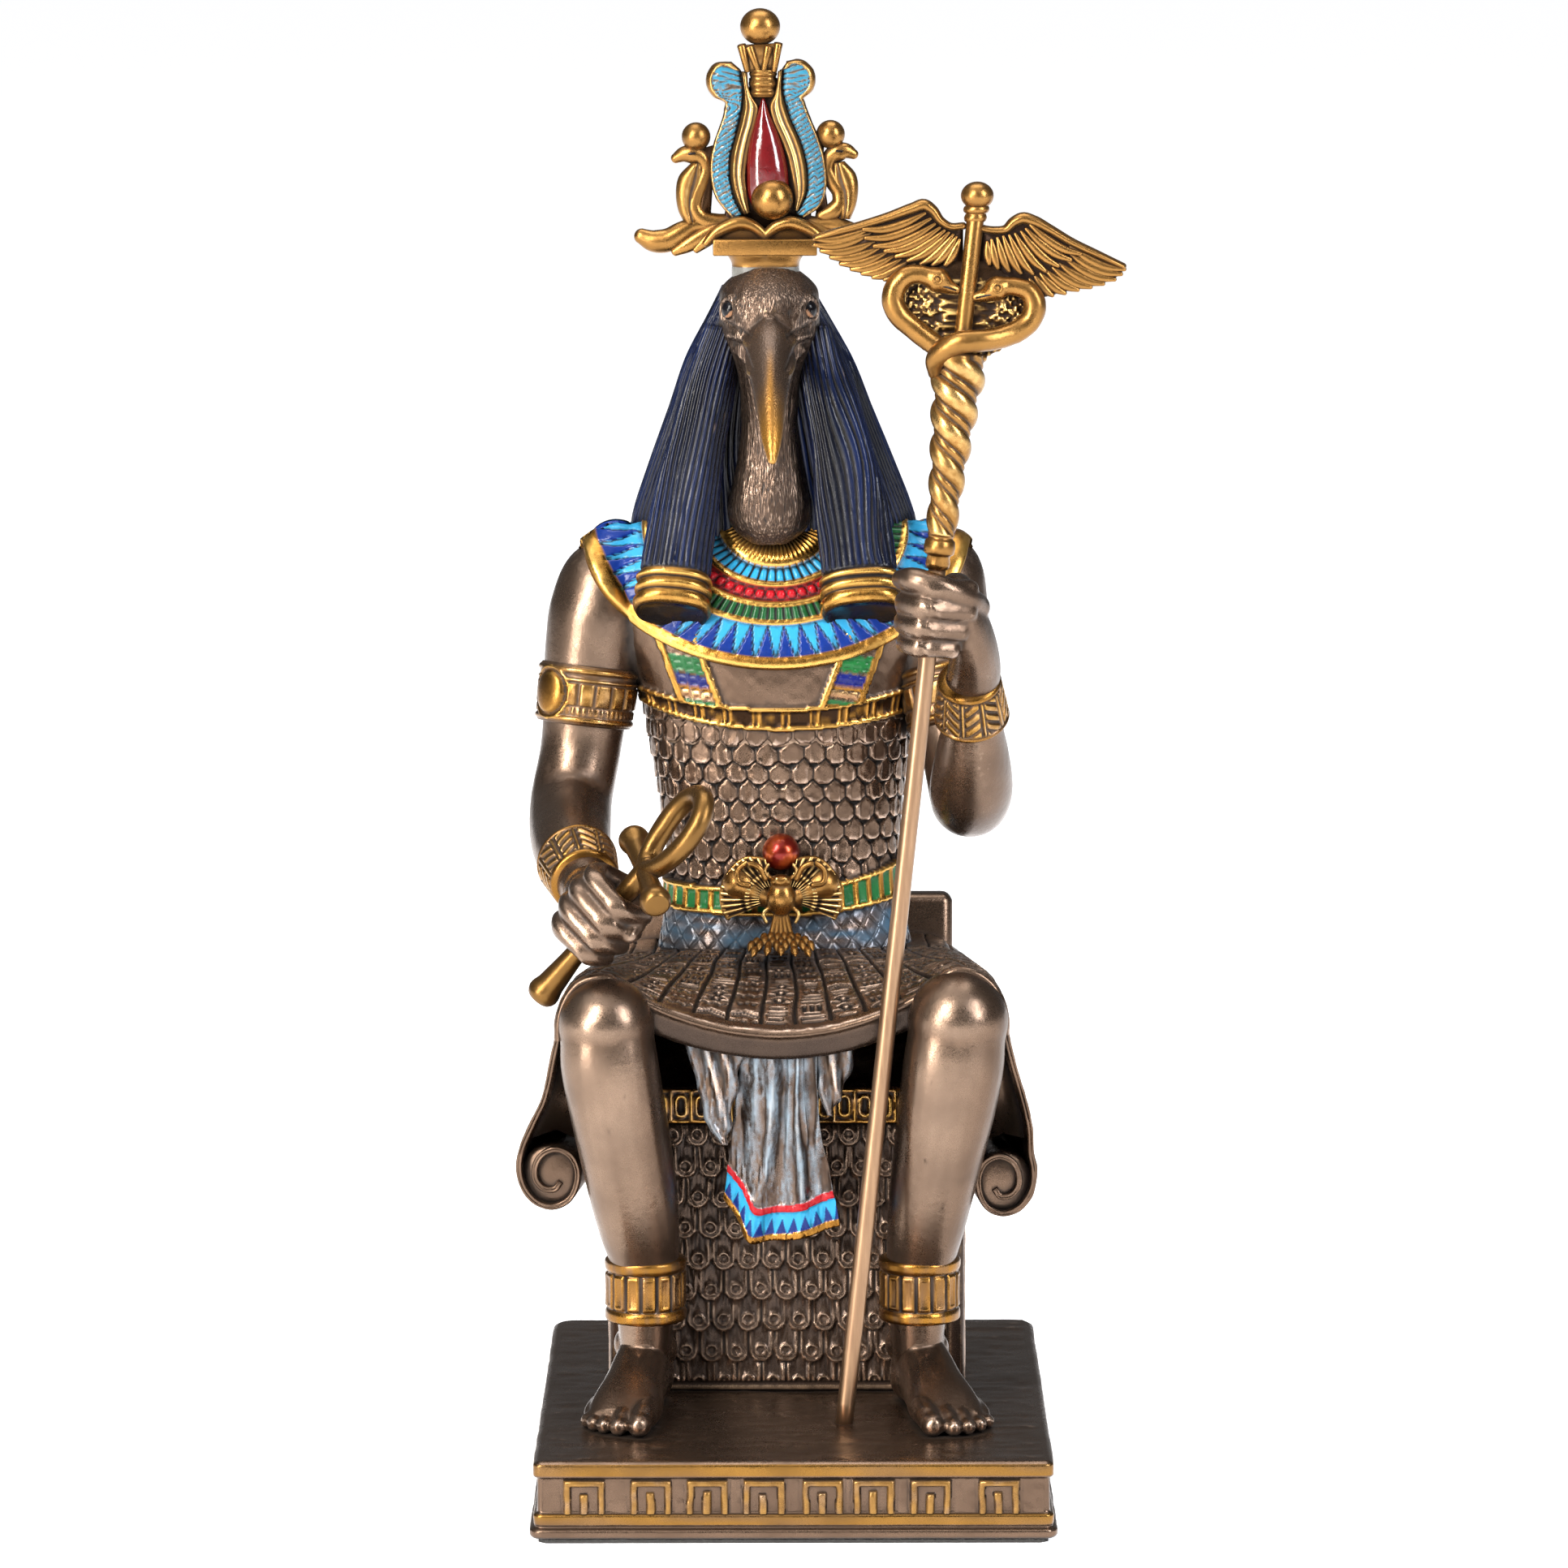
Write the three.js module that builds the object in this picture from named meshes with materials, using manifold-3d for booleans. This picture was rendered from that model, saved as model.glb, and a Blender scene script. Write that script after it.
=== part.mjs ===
import * as THREE from 'three';
import { mergeVertices } from 'three/addons/utils/BufferGeometryUtils.js';
import Module from 'manifold-3d';

// A seated ibis-headed scribe god in cast resin, about 28 cm tall, on its own plinth.
// Millimetres. X is to the viewer's right, Y runs away from the viewer, Z is up.
// The origin is the middle of the underside, so the front of the plinth is at minus Y.

const PLINTH_WIDTH = 95;
const PLINTH_DEPTH = 124;
const FELT_THICKNESS = 0.6;
const PLINTH_TOP = 15.4;
const GAP = 0.3;
const FIGURE_FLOOR = PLINTH_TOP + GAP;

const THRONE_LEFT = -35;
const THRONE_RIGHT = 32.6;
const THRONE_FRONT = -3.4;
const THRONE_BACK = 51;
const SEAT_TOP = 75;
const BACKREST_TOP = 104.5;
const BACKREST_THICKNESS = 6.5;

const SHAFT_RADIUS = 1.65;
const STAFF_FOOT = new THREE.Vector3(9.6, -30.5, PLINTH_TOP + GAP);
const STAFF_TIP = new THREE.Vector3(34.5, -25, 246.1);
const STAFF_JOINT = 176.8;

// The whole upper body leans a little to the viewer's left, as the casting does.
const LEAN = 0.025;
const midline = (z) => -1.5 - LEAN * (z - 100);
const staffAxis = STAFF_TIP.clone().sub(STAFF_FOOT).normalize();
const onStaff = (z) => STAFF_FOOT.clone().addScaledVector(staffAxis, (z - STAFF_FOOT.z) / staffAxis.z);

const wasm = await Module();
wasm.setup();

function toSolid(geometry) {
  const bare = geometry.clone();
  bare.deleteAttribute('normal');
  bare.deleteAttribute('uv');
  const welded = mergeVertices(bare, 1e-5);
  return new wasm.Manifold(new wasm.Mesh({
    numProp: 3,
    vertProperties: new Float32Array(welded.attributes.position.array),
    triVerts: new Uint32Array(welded.index.array),
  }));
}

function toGeometry(solid) {
  const mesh = solid.getMesh();
  const geometry = new THREE.BufferGeometry();
  geometry.setAttribute('position', new THREE.BufferAttribute(new Float32Array(mesh.vertProperties), 3));
  geometry.setIndex(new THREE.BufferAttribute(new Uint32Array(mesh.triVerts), 1));
  return geometry;
}

const join = (solids) => solids.reduce((whole, next) => whole.add(next));

// How far a corner may move when the short edges that a join leaves behind are closed up.
const SLACK = 0.09;
const SHORTEST_EDGE = 0.12;

// How far a face's plane lies from a point, and whether the face would turn over there.
function faceChange(points, face, from, to) {
  const corners = face.map((v) => points[v]);
  const moved = face.map((v) => (v === from ? points[to] : points[v]));
  const normal = corners[1].clone().sub(corners[0]).cross(corners[2].clone().sub(corners[0]));
  const after = moved[1].clone().sub(moved[0]).cross(moved[2].clone().sub(moved[0]));
  const area = normal.length();
  if (after.length() < 1e-3) return Infinity;
  if (area < 4e-3) return 0;
  normal.divideScalar(area);
  if (normal.dot(after.normalize()) < 0.3) return Infinity;
  return Math.abs(normal.dot(points[to].clone().sub(corners[0])));
}

// Closes up short and nearly flat edges, each only where the skin stays closed.
function tidy(solid) {
  const mesh = solid.getMesh();
  const points = [];
  for (let i = 0; i < mesh.vertProperties.length; i += 3) {
    points.push(new THREE.Vector3().fromArray(mesh.vertProperties, i));
  }
  const faces = [];
  for (let i = 0; i < mesh.triVerts.length; i += 3) faces.push([...mesh.triVerts.slice(i, i + 3)]);
  const around = points.map(() => new Set());
  faces.forEach((face, i) => face.forEach((v) => around[v].add(i)));
  const neighbours = (v) => new Set([...around[v]].flatMap((i) => faces[i]).filter((w) => w !== v));
  const cost = (from, to) => {
    let worst = 0;
    for (const i of around[from]) {
      if (!faces[i].includes(to)) worst = Math.max(worst, faceChange(points, faces[i], from, to));
    }
    return worst;
  };
  for (let pass = 0; pass < 6; pass++) {
    const edges = faces.filter(Boolean).flatMap(([a, b, c]) => [[a, b], [b, c], [c, a]])
      .filter(([a, b]) => a < b)
      .map(([a, b]) => [a, b, points[a].distanceTo(points[b])])
      .sort((p, q) => p[2] - q[2]);
    let closed = 0;
    for (const [a, b] of edges) {
      const shared = [...around[a]].filter((i) => around[b].has(i));
      if (shared.length !== 2) continue;
      const other = neighbours(b);
      if ([...neighbours(a)].filter((w) => other.has(w)).length !== 2) continue;
      const length = points[a].distanceTo(points[b]);
      const costs = [cost(b, a), cost(a, b)];
      const [keep, drop] = costs[0] <= costs[1] ? [a, b] : [b, a];
      const least = Math.min(...costs);
      if (least > SLACK && !(length < SHORTEST_EDGE && least < 2 * SHORTEST_EDGE)) continue;
      shared.forEach((i) => {
        faces[i].forEach((v) => around[v].delete(i));
        faces[i] = null;
      });
      for (const i of around[drop]) {
        faces[i] = faces[i].map((v) => (v === drop ? keep : v));
        around[keep].add(i);
      }
      around[drop].clear();
      closed += 1;
    }
    if (closed === 0) break;
  }
  const geometry = new THREE.BufferGeometry();
  geometry.setAttribute('position', new THREE.BufferAttribute(new Float32Array(points.flatMap((p) => p.toArray())), 3));
  geometry.setIndex(faces.filter(Boolean).flat());
  return toSolid(geometry.toNonIndexed());
}

// A closed skin over a row of rings with equal point counts, ends closed by a fan.
function loft(rings) {
  const count = rings[0].length;
  const positions = rings.flat().flatMap((p) => [p.x, p.y, p.z]);
  const index = [];
  for (let r = 0; r + 1 < rings.length; r++) {
    for (let i = 0; i < count; i++) {
      const a = r * count + i;
      const b = r * count + (i + 1) % count;
      index.push(a, b, b + count, a, b + count, a + count);
    }
  }
  const addFan = (start, flip) => {
    const middle = new THREE.Vector3();
    const ring = rings[start / count];
    ring.forEach((p) => middle.addScaledVector(p, 1 / count));
    const hub = positions.length / 3;
    positions.push(middle.x, middle.y, middle.z);
    for (let i = 0; i < count; i++) {
      const a = start + i;
      const b = start + (i + 1) % count;
      index.push(...(flip ? [hub, b, a] : [hub, a, b]));
    }
  };
  addFan(0, true);
  addFan((rings.length - 1) * count, false);
  return solidFrom(positions, index);
}

// Turns the skin right side out when its signed volume comes out negative.
function solidFrom(positions, index) {
  let volume = 0;
  const at = (i) => new THREE.Vector3().fromArray(positions, 3 * i);
  for (let t = 0; t < index.length; t += 3) {
    volume += at(index[t]).dot(at(index[t + 1]).cross(at(index[t + 2])));
  }
  if (volume < 0) {
    for (let t = 0; t < index.length; t += 3) {
      [index[t], index[t + 1]] = [index[t + 1], index[t]];
    }
  }
  const geometry = new THREE.BufferGeometry();
  geometry.setAttribute('position', new THREE.BufferAttribute(new Float32Array(positions), 3));
  geometry.setIndex(index);
  return toSolid(geometry);
}

// Points of a rounded ring; a power above 2 squares it off.
function ringAt(centre, normal, across, ru, rv, count, power = 2) {
  const u = across.clone().addScaledVector(normal, -across.dot(normal)).normalize();
  const v = normal.clone().cross(u);
  const points = [];
  for (let i = 0; i < count; i++) {
    const angle = 2 * Math.PI * i / count;
    const c = Math.cos(angle);
    const s = Math.sin(angle);
    const cu = Math.sign(c) * Math.abs(c) ** (2 / power) * ru;
    const sv = Math.sign(s) * Math.abs(s) ** (2 / power) * rv;
    points.push(centre.clone().addScaledVector(u, cu).addScaledVector(v, sv));
  }
  return points;
}

// A limb through stations of [x, y, z, radius, radius the other way].
function limb(stations, count, across = new THREE.Vector3(1, 0, 0), power = 2) {
  const centres = stations.map(([x, y, z]) => new THREE.Vector3(x, y, z));
  const rings = stations.map(([, , , ru, rv = ru], i) => {
    const before = centres[Math.max(0, i - 1)];
    const after = centres[Math.min(centres.length - 1, i + 1)];
    const along = after.clone().sub(before).normalize();
    return ringAt(centres[i], along, across, ru, rv, count, power);
  });
  return loft(rings);
}

// Level rings stacked up: each station is [z, centre x, centre y, half width, half depth].
function stack(stations, count, power = 2) {
  const up = new THREE.Vector3(0, 0, 1);
  const right = new THREE.Vector3(1, 0, 0);
  return loft(stations.map(([z, x, y, rx, ry]) => (
    ringAt(new THREE.Vector3(x, y, z), up, right, rx, ry, count, power))));
}

// A front outline of [x, z] points carried back in Y. The front may lean with frontAt,
// and atBack may draw the outline in towards its back.
function slab(outline, frontAt, back, atBack = (x, z) => [x, z]) {
  const front = typeof frontAt === 'function' ? frontAt : () => frontAt;
  const flat = outline.map(([x, z]) => new THREE.Vector2(x, z));
  if (THREE.ShapeUtils.isClockWise(flat)) flat.reverse();
  const count = flat.length;
  const positions = [];
  flat.forEach((p) => positions.push(p.x, front(p.x, p.y), p.y));
  flat.forEach((p) => {
    const [x, z] = atBack(p.x, p.y);
    positions.push(x, back, z);
  });
  const index = [];
  for (const [a, b, c] of THREE.ShapeUtils.triangulateShape(flat, [])) {
    index.push(a, b, c, a + count, c + count, b + count);
  }
  for (let i = 0; i < count; i++) {
    const j = (i + 1) % count;
    index.push(i, i + count, j, j, i + count, j + count);
  }
  return solidFrom(positions, index);
}

function block(x0, x1, y0, y1, z0, z1) {
  const geometry = new THREE.BoxGeometry(x1 - x0, y1 - y0, z1 - z0);
  geometry.translate((x0 + x1) / 2, (y0 + y1) / 2, (z0 + z1) / 2);
  return toSolid(geometry);
}

function ball(x, y, z, radius, around = 12, down = 8, stretch = [1, 1, 1]) {
  const geometry = new THREE.SphereGeometry(radius, around, down);
  geometry.rotateX(Math.PI / 2);
  geometry.scale(...stretch);
  geometry.translate(x, y, z);
  return toSolid(geometry);
}

// A plain round band of [distance along, radius] steps about an axis.
function band(centre, axis, profile, count) {
  const across = Math.abs(axis.x) > 0.8 ? new THREE.Vector3(0, 0, 1) : new THREE.Vector3(1, 0, 0);
  return loft(profile.map(([along, radius, other = radius]) => (
    ringAt(centre.clone().addScaledVector(axis, along), axis, across, radius, other, count))));
}

// Plinth: a block of straight mouldings with rounded back corners, felted underneath
function plinthRing(inset, z) {
  const halfWidth = PLINTH_WIDTH / 2 - inset;
  const halfDepth = PLINTH_DEPTH / 2 - inset;
  const corner = (x, y, radius, from) => {
    const steps = y > 0 ? 3 : 1;
    return Array.from({ length: steps + 1 }, (_, i) => {
      const angle = from + (Math.PI / 2) * i / steps;
      return new THREE.Vector3(
        x - Math.sign(x) * radius + radius * Math.cos(angle),
        y - Math.sign(y) * radius + radius * Math.sin(angle),
        z,
      );
    });
  };
  return [
    ...corner(halfWidth, halfDepth, 4.5, 0),
    ...corner(-halfWidth, halfDepth, 4.5, Math.PI / 2),
    ...corner(-halfWidth, -halfDepth, 1.4, Math.PI),
    ...corner(halfWidth, -halfDepth, 1.4, 1.5 * Math.PI),
  ];
}

function makePlinth() {
  const profile = [
    [-0.1, FELT_THICKNESS + GAP], [-0.7, 1.5], [-0.7, 2.8], [0.6, 3.2], [0, 3.6], [0, 5.0],
    [0.9, 5.3], [0.9, 11.0], [0, 11.3], [0, 14.4], [1.0, PLINTH_TOP],
  ];
  const block = loft(profile.map(([inset, z]) => plinthRing(inset, z)));
  return join([block, ...makeGates()]);
}

// The frieze on the front: eight square gateways, each a lintel on two posts.
const GATE_CENTRES = [-38.6, -26.3, -15.9, -5.4, 5.4, 14.9, 25.3, 38];
const GATE_HALF_WIDTH = 3.7;
const GATE_LINE = 1.0;
function makeGates() {
  const front = -PLINTH_DEPTH / 2 + 0.25;
  const back = -PLINTH_DEPTH / 2 + 1.6;
  return GATE_CENTRES.map((x) => {
    const w = GATE_HALF_WIDTH;
    const t = GATE_LINE;
    const outline = [
      [-w, 5.5], [-w, 10.7], [w, 10.7], [w, 5.5], [w - t, 5.5], [w - t, 10.7 - t],
      [-w + t, 10.7 - t], [-w + t, 5.5],
    ];
    return slab(outline.map(([gx, gz]) => [x + gx, gz]), front, back);
  });
}

function makeFelt() {
  return loft([plinthRing(0.4, 0), plinthRing(0.4, FELT_THICKNESS)]);
}

// Throne: a box seat with a raised band along its front and a low back with rounded corners
function makeThrone() {
  const seat = block(THRONE_LEFT, THRONE_RIGHT, THRONE_FRONT, THRONE_BACK, FIGURE_FLOOR, SEAT_TOP);
  const bandAcross = block(
    THRONE_LEFT - 0.5, THRONE_RIGHT + 0.5, THRONE_FRONT - 0.8, THRONE_BACK - 4, SEAT_TOP - 7, SEAT_TOP - 0.4);
  const left = THRONE_LEFT + 1;
  const right = THRONE_RIGHT - 1;
  const round = 4;
  const outline = [[left, SEAT_TOP - 6]];
  for (let i = 0; i <= 3; i++) {
    const angle = Math.PI - (Math.PI / 2) * i / 3;
    outline.push([left + round + round * Math.cos(angle), BACKREST_TOP - round + round * Math.sin(angle)]);
  }
  for (let i = 0; i <= 3; i++) {
    const angle = Math.PI / 2 - (Math.PI / 2) * i / 3;
    outline.push([right - round + round * Math.cos(angle), BACKREST_TOP - round + round * Math.sin(angle)]);
  }
  outline.push([right, SEAT_TOP - 6]);
  const backrest = slab(outline, THRONE_BACK - BACKREST_THICKNESS, THRONE_BACK);
  return [seat, bandAcross, backrest];
}

// Torso: level rings from the hips to the base of the neck
const TORSO = [
  [86, 27.5, 17.5, 27], [100, 23.5, 15.5, 27], [112, 22, 13.8, 27], [124, 23, 14.2, 27], [138, 25, 15.4, 26.6],
  [148, 26.6, 16, 26], [158, 31, 15.6, 26], [167, 34.6, 13.8, 26], [174, 34.6, 11.2, 26.8], [179, 28.4, 8, 27.4],
  [182, 15, 6, 27.6],
];
const TORSO_SIDES = 16;
function torsoRings(grow, from, to) {
  return TORSO.filter(([z]) => z >= from && z <= to).map(([z, rx, ry, cy]) => (
    [z + (z > 170 ? grow * 0.8 : 0), midline(z), cy, rx + grow, ry + grow]));
}

function torsoSize(z) {
  const above = TORSO.findIndex(([level]) => level >= z);
  const [z1, rx1, ry1, cy1] = TORSO[above];
  const [z0, rx0, ry0, cy0] = TORSO[Math.max(0, above - 1)];
  const t = z1 === z0 ? 0 : (z - z0) / (z1 - z0);
  return [rx0 + (rx1 - rx0) * t, ry0 + (ry1 - ry0) * t, cy0 + (cy1 - cy0) * t];
}

function torsoBand(from, to, grow) {
  return stack([from, to].map((z) => {
    const [rx, ry, cy] = torsoSize(z);
    return [z, midline(z), cy, rx + grow, ry + grow];
  }), TORSO_SIDES, 2.3);
}

// The broad collar: the shoulders grown by its thickness, trimmed to an oval seen from the front.
const COLLAR = { thickness: 1.3, centreZ: 180, halfWidth: 37.2, drop: 26.4, steps: 22 };
function makeCollar() {
  const shell = stack(torsoRings(COLLAR.thickness, 142, 182), TORSO_SIDES, 2.3);
  const oval = Array.from({ length: COLLAR.steps }, (_, i) => {
    const angle = 2 * Math.PI * i / COLLAR.steps;
    return [midline(165) + COLLAR.halfWidth * Math.cos(angle), COLLAR.centreZ + COLLAR.drop * Math.sin(angle)];
  });
  return shell.intersect(slab(oval, -20, 60));
}

function makeTorso() {
  return [
    stack(torsoRings(0, 0, 200), TORSO_SIDES, 2.3),
    makeCollar(),
    torsoBand(106.7, 113, 0.9),
  ];
}

// Kilt: one cloth over both thighs, sagging between the knees, with its edge turned down
const KILT = { leftCrest: -36.2, rightCrest: 31.5, leftZ: 100.4, rightZ: 101.6, edge: 4.6, sink: 5, back: 45 };
function kiltMiddleZ(y) {
  const t = Math.min(1, Math.max(0, (y + 26.5) / 36));
  return 88.1 + 13.4 * t ** 0.75;
}

// The thighs draw in and sink a little towards the hips.
function kiltRing(y) {
  const middle = kiltMiddleZ(y);
  const back = Math.max(0, y + 17) / (KILT.back + 17);
  const at = (x, z) => {
    const shoulder = Math.min(1, Math.max(0, (z - 77) / 12));
    return new THREE.Vector3(x * (1 - 0.16 * back), y, z - KILT.sink * back * shoulder);
  };
  const span = (KILT.rightCrest - KILT.leftCrest) / 2;
  const centre = (KILT.rightCrest + KILT.leftCrest) / 2;
  const topAt = (u) => {
    const crest = u < 0 ? KILT.leftZ : KILT.rightZ;
    return at(centre + u * span, middle + (crest - middle) * u * u);
  };
  const underAt = (u) => {
    const p = topAt(u);
    p.z -= KILT.edge;
    return p;
  };
  return [
    at(-44.6, 78), at(-45, 88), at(-43.6, 94.6), at(-40.6, 98.9), at(KILT.leftCrest, KILT.leftZ),
    ...[-0.75, -0.5, -0.25, 0, 0.25, 0.5, 0.75].map(topAt),
    at(KILT.rightCrest, KILT.rightZ), at(36.2, 99.9), at(39.3, 95.6), at(40.6, 88), at(40.4, 78),
    at(30.5, 77), at(22, 80), underAt(0.5), underAt(0), underAt(-0.5), at(-26, 80), at(-34.6, 77),
  ];
}

function makeKilt() {
  return loft([-26.5, -17, -4, 10, KILT.back].map(kiltRing));
}

// The kilt's side falls: a sheet rolled into a scroll at its lower edge, over a plain fill
const LEFT_FALL = [
  [-43.4, 92], [-44.7, 92], [-47.2, 76], [-52, 65.2], [-52.6, 62.4], [-50.8, 56.4], [-46.6, 53.3], [-42, 54.4],
  [-40.2, 59.4], [-42.4, 65], [-46.6, 66], [-49.5, 62], [-48, 57.8], [-45, 56.8], [-44.2, 58.4], [-46.8, 59.8],
  [-47, 63.4], [-43.6, 63.6], [-42.2, 59.6], [-43.4, 56.2], [-46.4, 55], [-49.8, 57.6], [-50.7, 63.6],
  [-45.8, 76],
];
const RIGHT_FALL = [
  [38.6, 95], [40.1, 95.2], [44.4, 75], [46.3, 62.6], [45, 55.6], [40.8, 51.5], [36.2, 52.8],
  [34.6, 57.8], [36.4, 63.4], [40.4, 64.8], [43.1, 60.4], [41.8, 56.6], [39.2, 55.6], [38.4, 57.2], [41.1, 59.2],
  [40.2, 62.8], [37.6, 62.2], [36.4, 58.2], [37.6, 54.6], [40.2, 53.2], [43.6, 56.4], [44.7, 62.8],
  [42.8, 75],
];
function fallFront(z) {
  const t = Math.min(1, Math.max(0, (z - 64) / 28));
  return -14 - 11 * t;
}

const FALL_BACK = 42;
function makeFalls() {
  const front = (x, z) => fallFront(z);
  const inner = (x, z) => fallFront(z) + 5;
  const drawnIn = (x, z) => [x * 0.87, z - 7 * Math.max(0, (z - 50) / 42)];
  const leftFill = [[-34, 92], [-45, 92], [-46.6, 80], [-50.6, 66], [-45, 68], [-41, 66], [-34, 64]];
  const rightFill = [[31, 94], [39.6, 94], [41.4, 87], [44, 70], [44.6, 66], [40, 67], [36, 65.4], [31, 62]];
  return [
    slab(LEFT_FALL, front, FALL_BACK, drawnIn),
    slab(RIGHT_FALL, front, FALL_BACK, drawnIn),
    slab(leftFill, inner, FALL_BACK - 0.5, drawnIn),
    slab(rightFill, inner, FALL_BACK - 0.5, drawnIn),
  ];
}

// Apron: a folded strip hanging between the shins, its left third turned back
function makeApron() {
  const rows = [
    [93, -24, -19.5, -10, 12.4], [83, -23, -17.5, -9, 10.6], [76, -20.5, -13.6, -6, 7.2],
    [69, -18.5, -11.4, -5, 5.6], [60, -16.5, -12.6, -5.6, 7.2], [53.5, -15.5, -13.4, -7, 8.6],
  ];
  const rings = rows.map(([z, y, left, fold, right], i) => {
    const hem = i === rows.length - 1;
    const at = (x, dy, dz = 0) => new THREE.Vector3(x, y + dy, z + (hem ? dz : 0));
    return [
      at(left, 3, 1.5), at((left + fold) / 2, 1.4, -2), at(fold, -1, -6.6), at(fold + 3.2, 0.6, -6.8),
      at((fold + right) / 2 + 1, -1, -5.6), at(right - 2.6, 0.4, -4), at(right, -0.6, -3.2),
      at(right, 1.6, -3.2), at((fold + right) / 2, 2.4, -5.6), at(fold, 2.6, -6.6), at(left, 5, 1.5),
    ];
  });
  return loft(rings);
}

// Legs: a knee ball, a shin that tapers to the ankle, a ribbed anklet and a bare foot
function makeLeg(knee, shin, heel, toeRoot, toes, anklet) {
  const parts = [
    ball(knee[0], knee[1], knee[2], knee[3], 10, 6),
    limb([[knee[0], -10, 89.5, 9.4], [knee[0], -24, 90, 9]], 8),
    limb(shin, 10),
    ...makeFoot(heel, toeRoot, toes),
    band(new THREE.Vector3(...anklet), new THREE.Vector3(0, 0, 1), [[0, 7.3], [11, 7.4]], 12),
  ];
  return parts;
}

function makeFoot(heel, toeRoot, toes) {
  const start = new THREE.Vector3(heel[0], heel[1], 0);
  const end = new THREE.Vector3(toeRoot[0], toeRoot[1], 0);
  const along = end.clone().sub(start);
  const length = along.length();
  along.normalize();
  const across = new THREE.Vector3(0, 0, 1).cross(along);
  const rows = [
    [0, 2.6, 6], [0.1, 4.6, 10.5], [0.3, 5, 14], [0.6, 5.9, 10.4], [0.88, 6.9, 6.4], [1.02, 6.4, 4.2],
  ];
  const rings = rows.map(([t, half, height]) => {
    const centre = start.clone().addScaledVector(along, t * length);
    centre.z = FIGURE_FLOOR + height / 2;
    return ringAt(centre, along, across, half, height / 2, 8, 2.6);
  });
  const solids = [loft(rings)];
  for (const [x, y, radius] of toes) {
    const tip = new THREE.Vector3(x, y, FIGURE_FLOOR + radius * 0.85);
    const root = tip.clone().addScaledVector(along, -6.5);
    root.z += 1.4;
    solids.push(limb([
      [root.x, root.y, root.z, radius * 0.9], [tip.x - along.x * 1.6, tip.y - along.y * 1.6, tip.z, radius, radius * 0.9],
      [tip.x, tip.y, tip.z, radius * 0.6],
    ], 4));
  }
  return solids;
}

function makeLegs() {
  const left = makeLeg([-35, -26, 90.9, 9.2], [
    [-35, -26, 91, 8.4], [-34.2, -26, 84, 8.8, 9.2], [-33.3, -25, 77, 9, 9.8], [-31.7, -22.6, 67, 8.8, 9.6],
    [-29.2, -19, 51.5, 7.8, 8.2], [-28, -17, 42.5, 6.8, 7.2], [-28.1, -15.4, 33, 5.4, 6.2], [-28.1, -14.6, 26, 4.9, 6],
  ], [-27, -7], [-32.2, -36.4], [
    [-28.9, -42.2, 2.5], [-32.8, -41.2, 1.9], [-35.5, -39.4, 1.7], [-37.4, -37.4, 1.7], [-38.6, -35, 1.7],
  ], [-28, -16.4, 32]);
  const right = makeLeg([31, -26, 91.6, 9.6], [
    [31, -26, 91, 8.8], [30, -26, 84, 9.2, 9.4], [29.2, -25, 77, 9.2, 9.8], [27.7, -22.6, 67, 8.6, 9.6],
    [25.2, -19, 51.5, 7.4, 8.2], [24, -17, 42.5, 6.8, 7.2], [23.7, -15.4, 33, 5.4, 6.2], [23.6, -14.6, 26, 4.9, 6],
  ], [22.2, -7], [29.6, -36], [
    [26.2, -42.2, 2.5], [30.1, -42, 1.9], [32.8, -40.6, 1.7], [35, -38.4, 1.6], [36.6, -35.4, 1.5],
  ], [24, -16.4, 32]);
  return [...left, ...right];
}

// Arms: each from the shoulder cap past the armlet and the elbow to the wrist
const LEFT_ARM = [
  [-34, 25, 175.4, 4.6], [-35.8, 25, 171, 7.8], [-37.2, 24.6, 164, 9.5], [-38.6, 24, 156, 9.2],
  [-39.8, 23, 146, 8.3], [-41, 22, 136, 7.8], [-42.6, 19, 127.6, 7.9], [-42.7, 11, 123, 7.9],
  [-42, 1, 120, 7.4], [-40, -9, 117.2, 6.2], [-38, -18, 114.4, 5],
];
const RIGHT_ARM = [
  [26.6, 25, 176.6, 4.6], [28, 25, 172.4, 8], [28.4, 24, 165, 9.4], [29.4, 22, 156, 8.7],
  [30.8, 19.4, 146, 7.9], [32.6, 16.4, 136, 7.6], [34, 11.6, 128.6, 7.6], [34.2, 4.4, 131.6, 8],
  [34.2, -2.6, 138, 7.2], [34, -9.4, 146, 5.9], [33.4, -15, 153, 5],
];
function makeArms() {
  const cuffAt = (path, i, share, profile) => {
    const from = new THREE.Vector3(...path[i].slice(0, 3));
    const to = new THREE.Vector3(...path[i + 1].slice(0, 3));
    const axis = to.clone().sub(from).normalize();
    return band(from.lerp(to, share), axis, profile, 10);
  };
  const armlet = [[-5.6, 9.4], [5.6, 9.2]];
  const bracelet = [[-5, 7.2], [4.2, 6.2]];
  return [
    limb(LEFT_ARM, 10),
    limb(RIGHT_ARM, 10),
    cuffAt(LEFT_ARM, 4, -0.1, armlet),
    cuffAt(RIGHT_ARM, 4, -0.1, armlet),
    cuffAt(LEFT_ARM, 8, 1, bracelet),
    cuffAt(RIGHT_ARM, 9, 0.4, bracelet),
  ];
}

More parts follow.
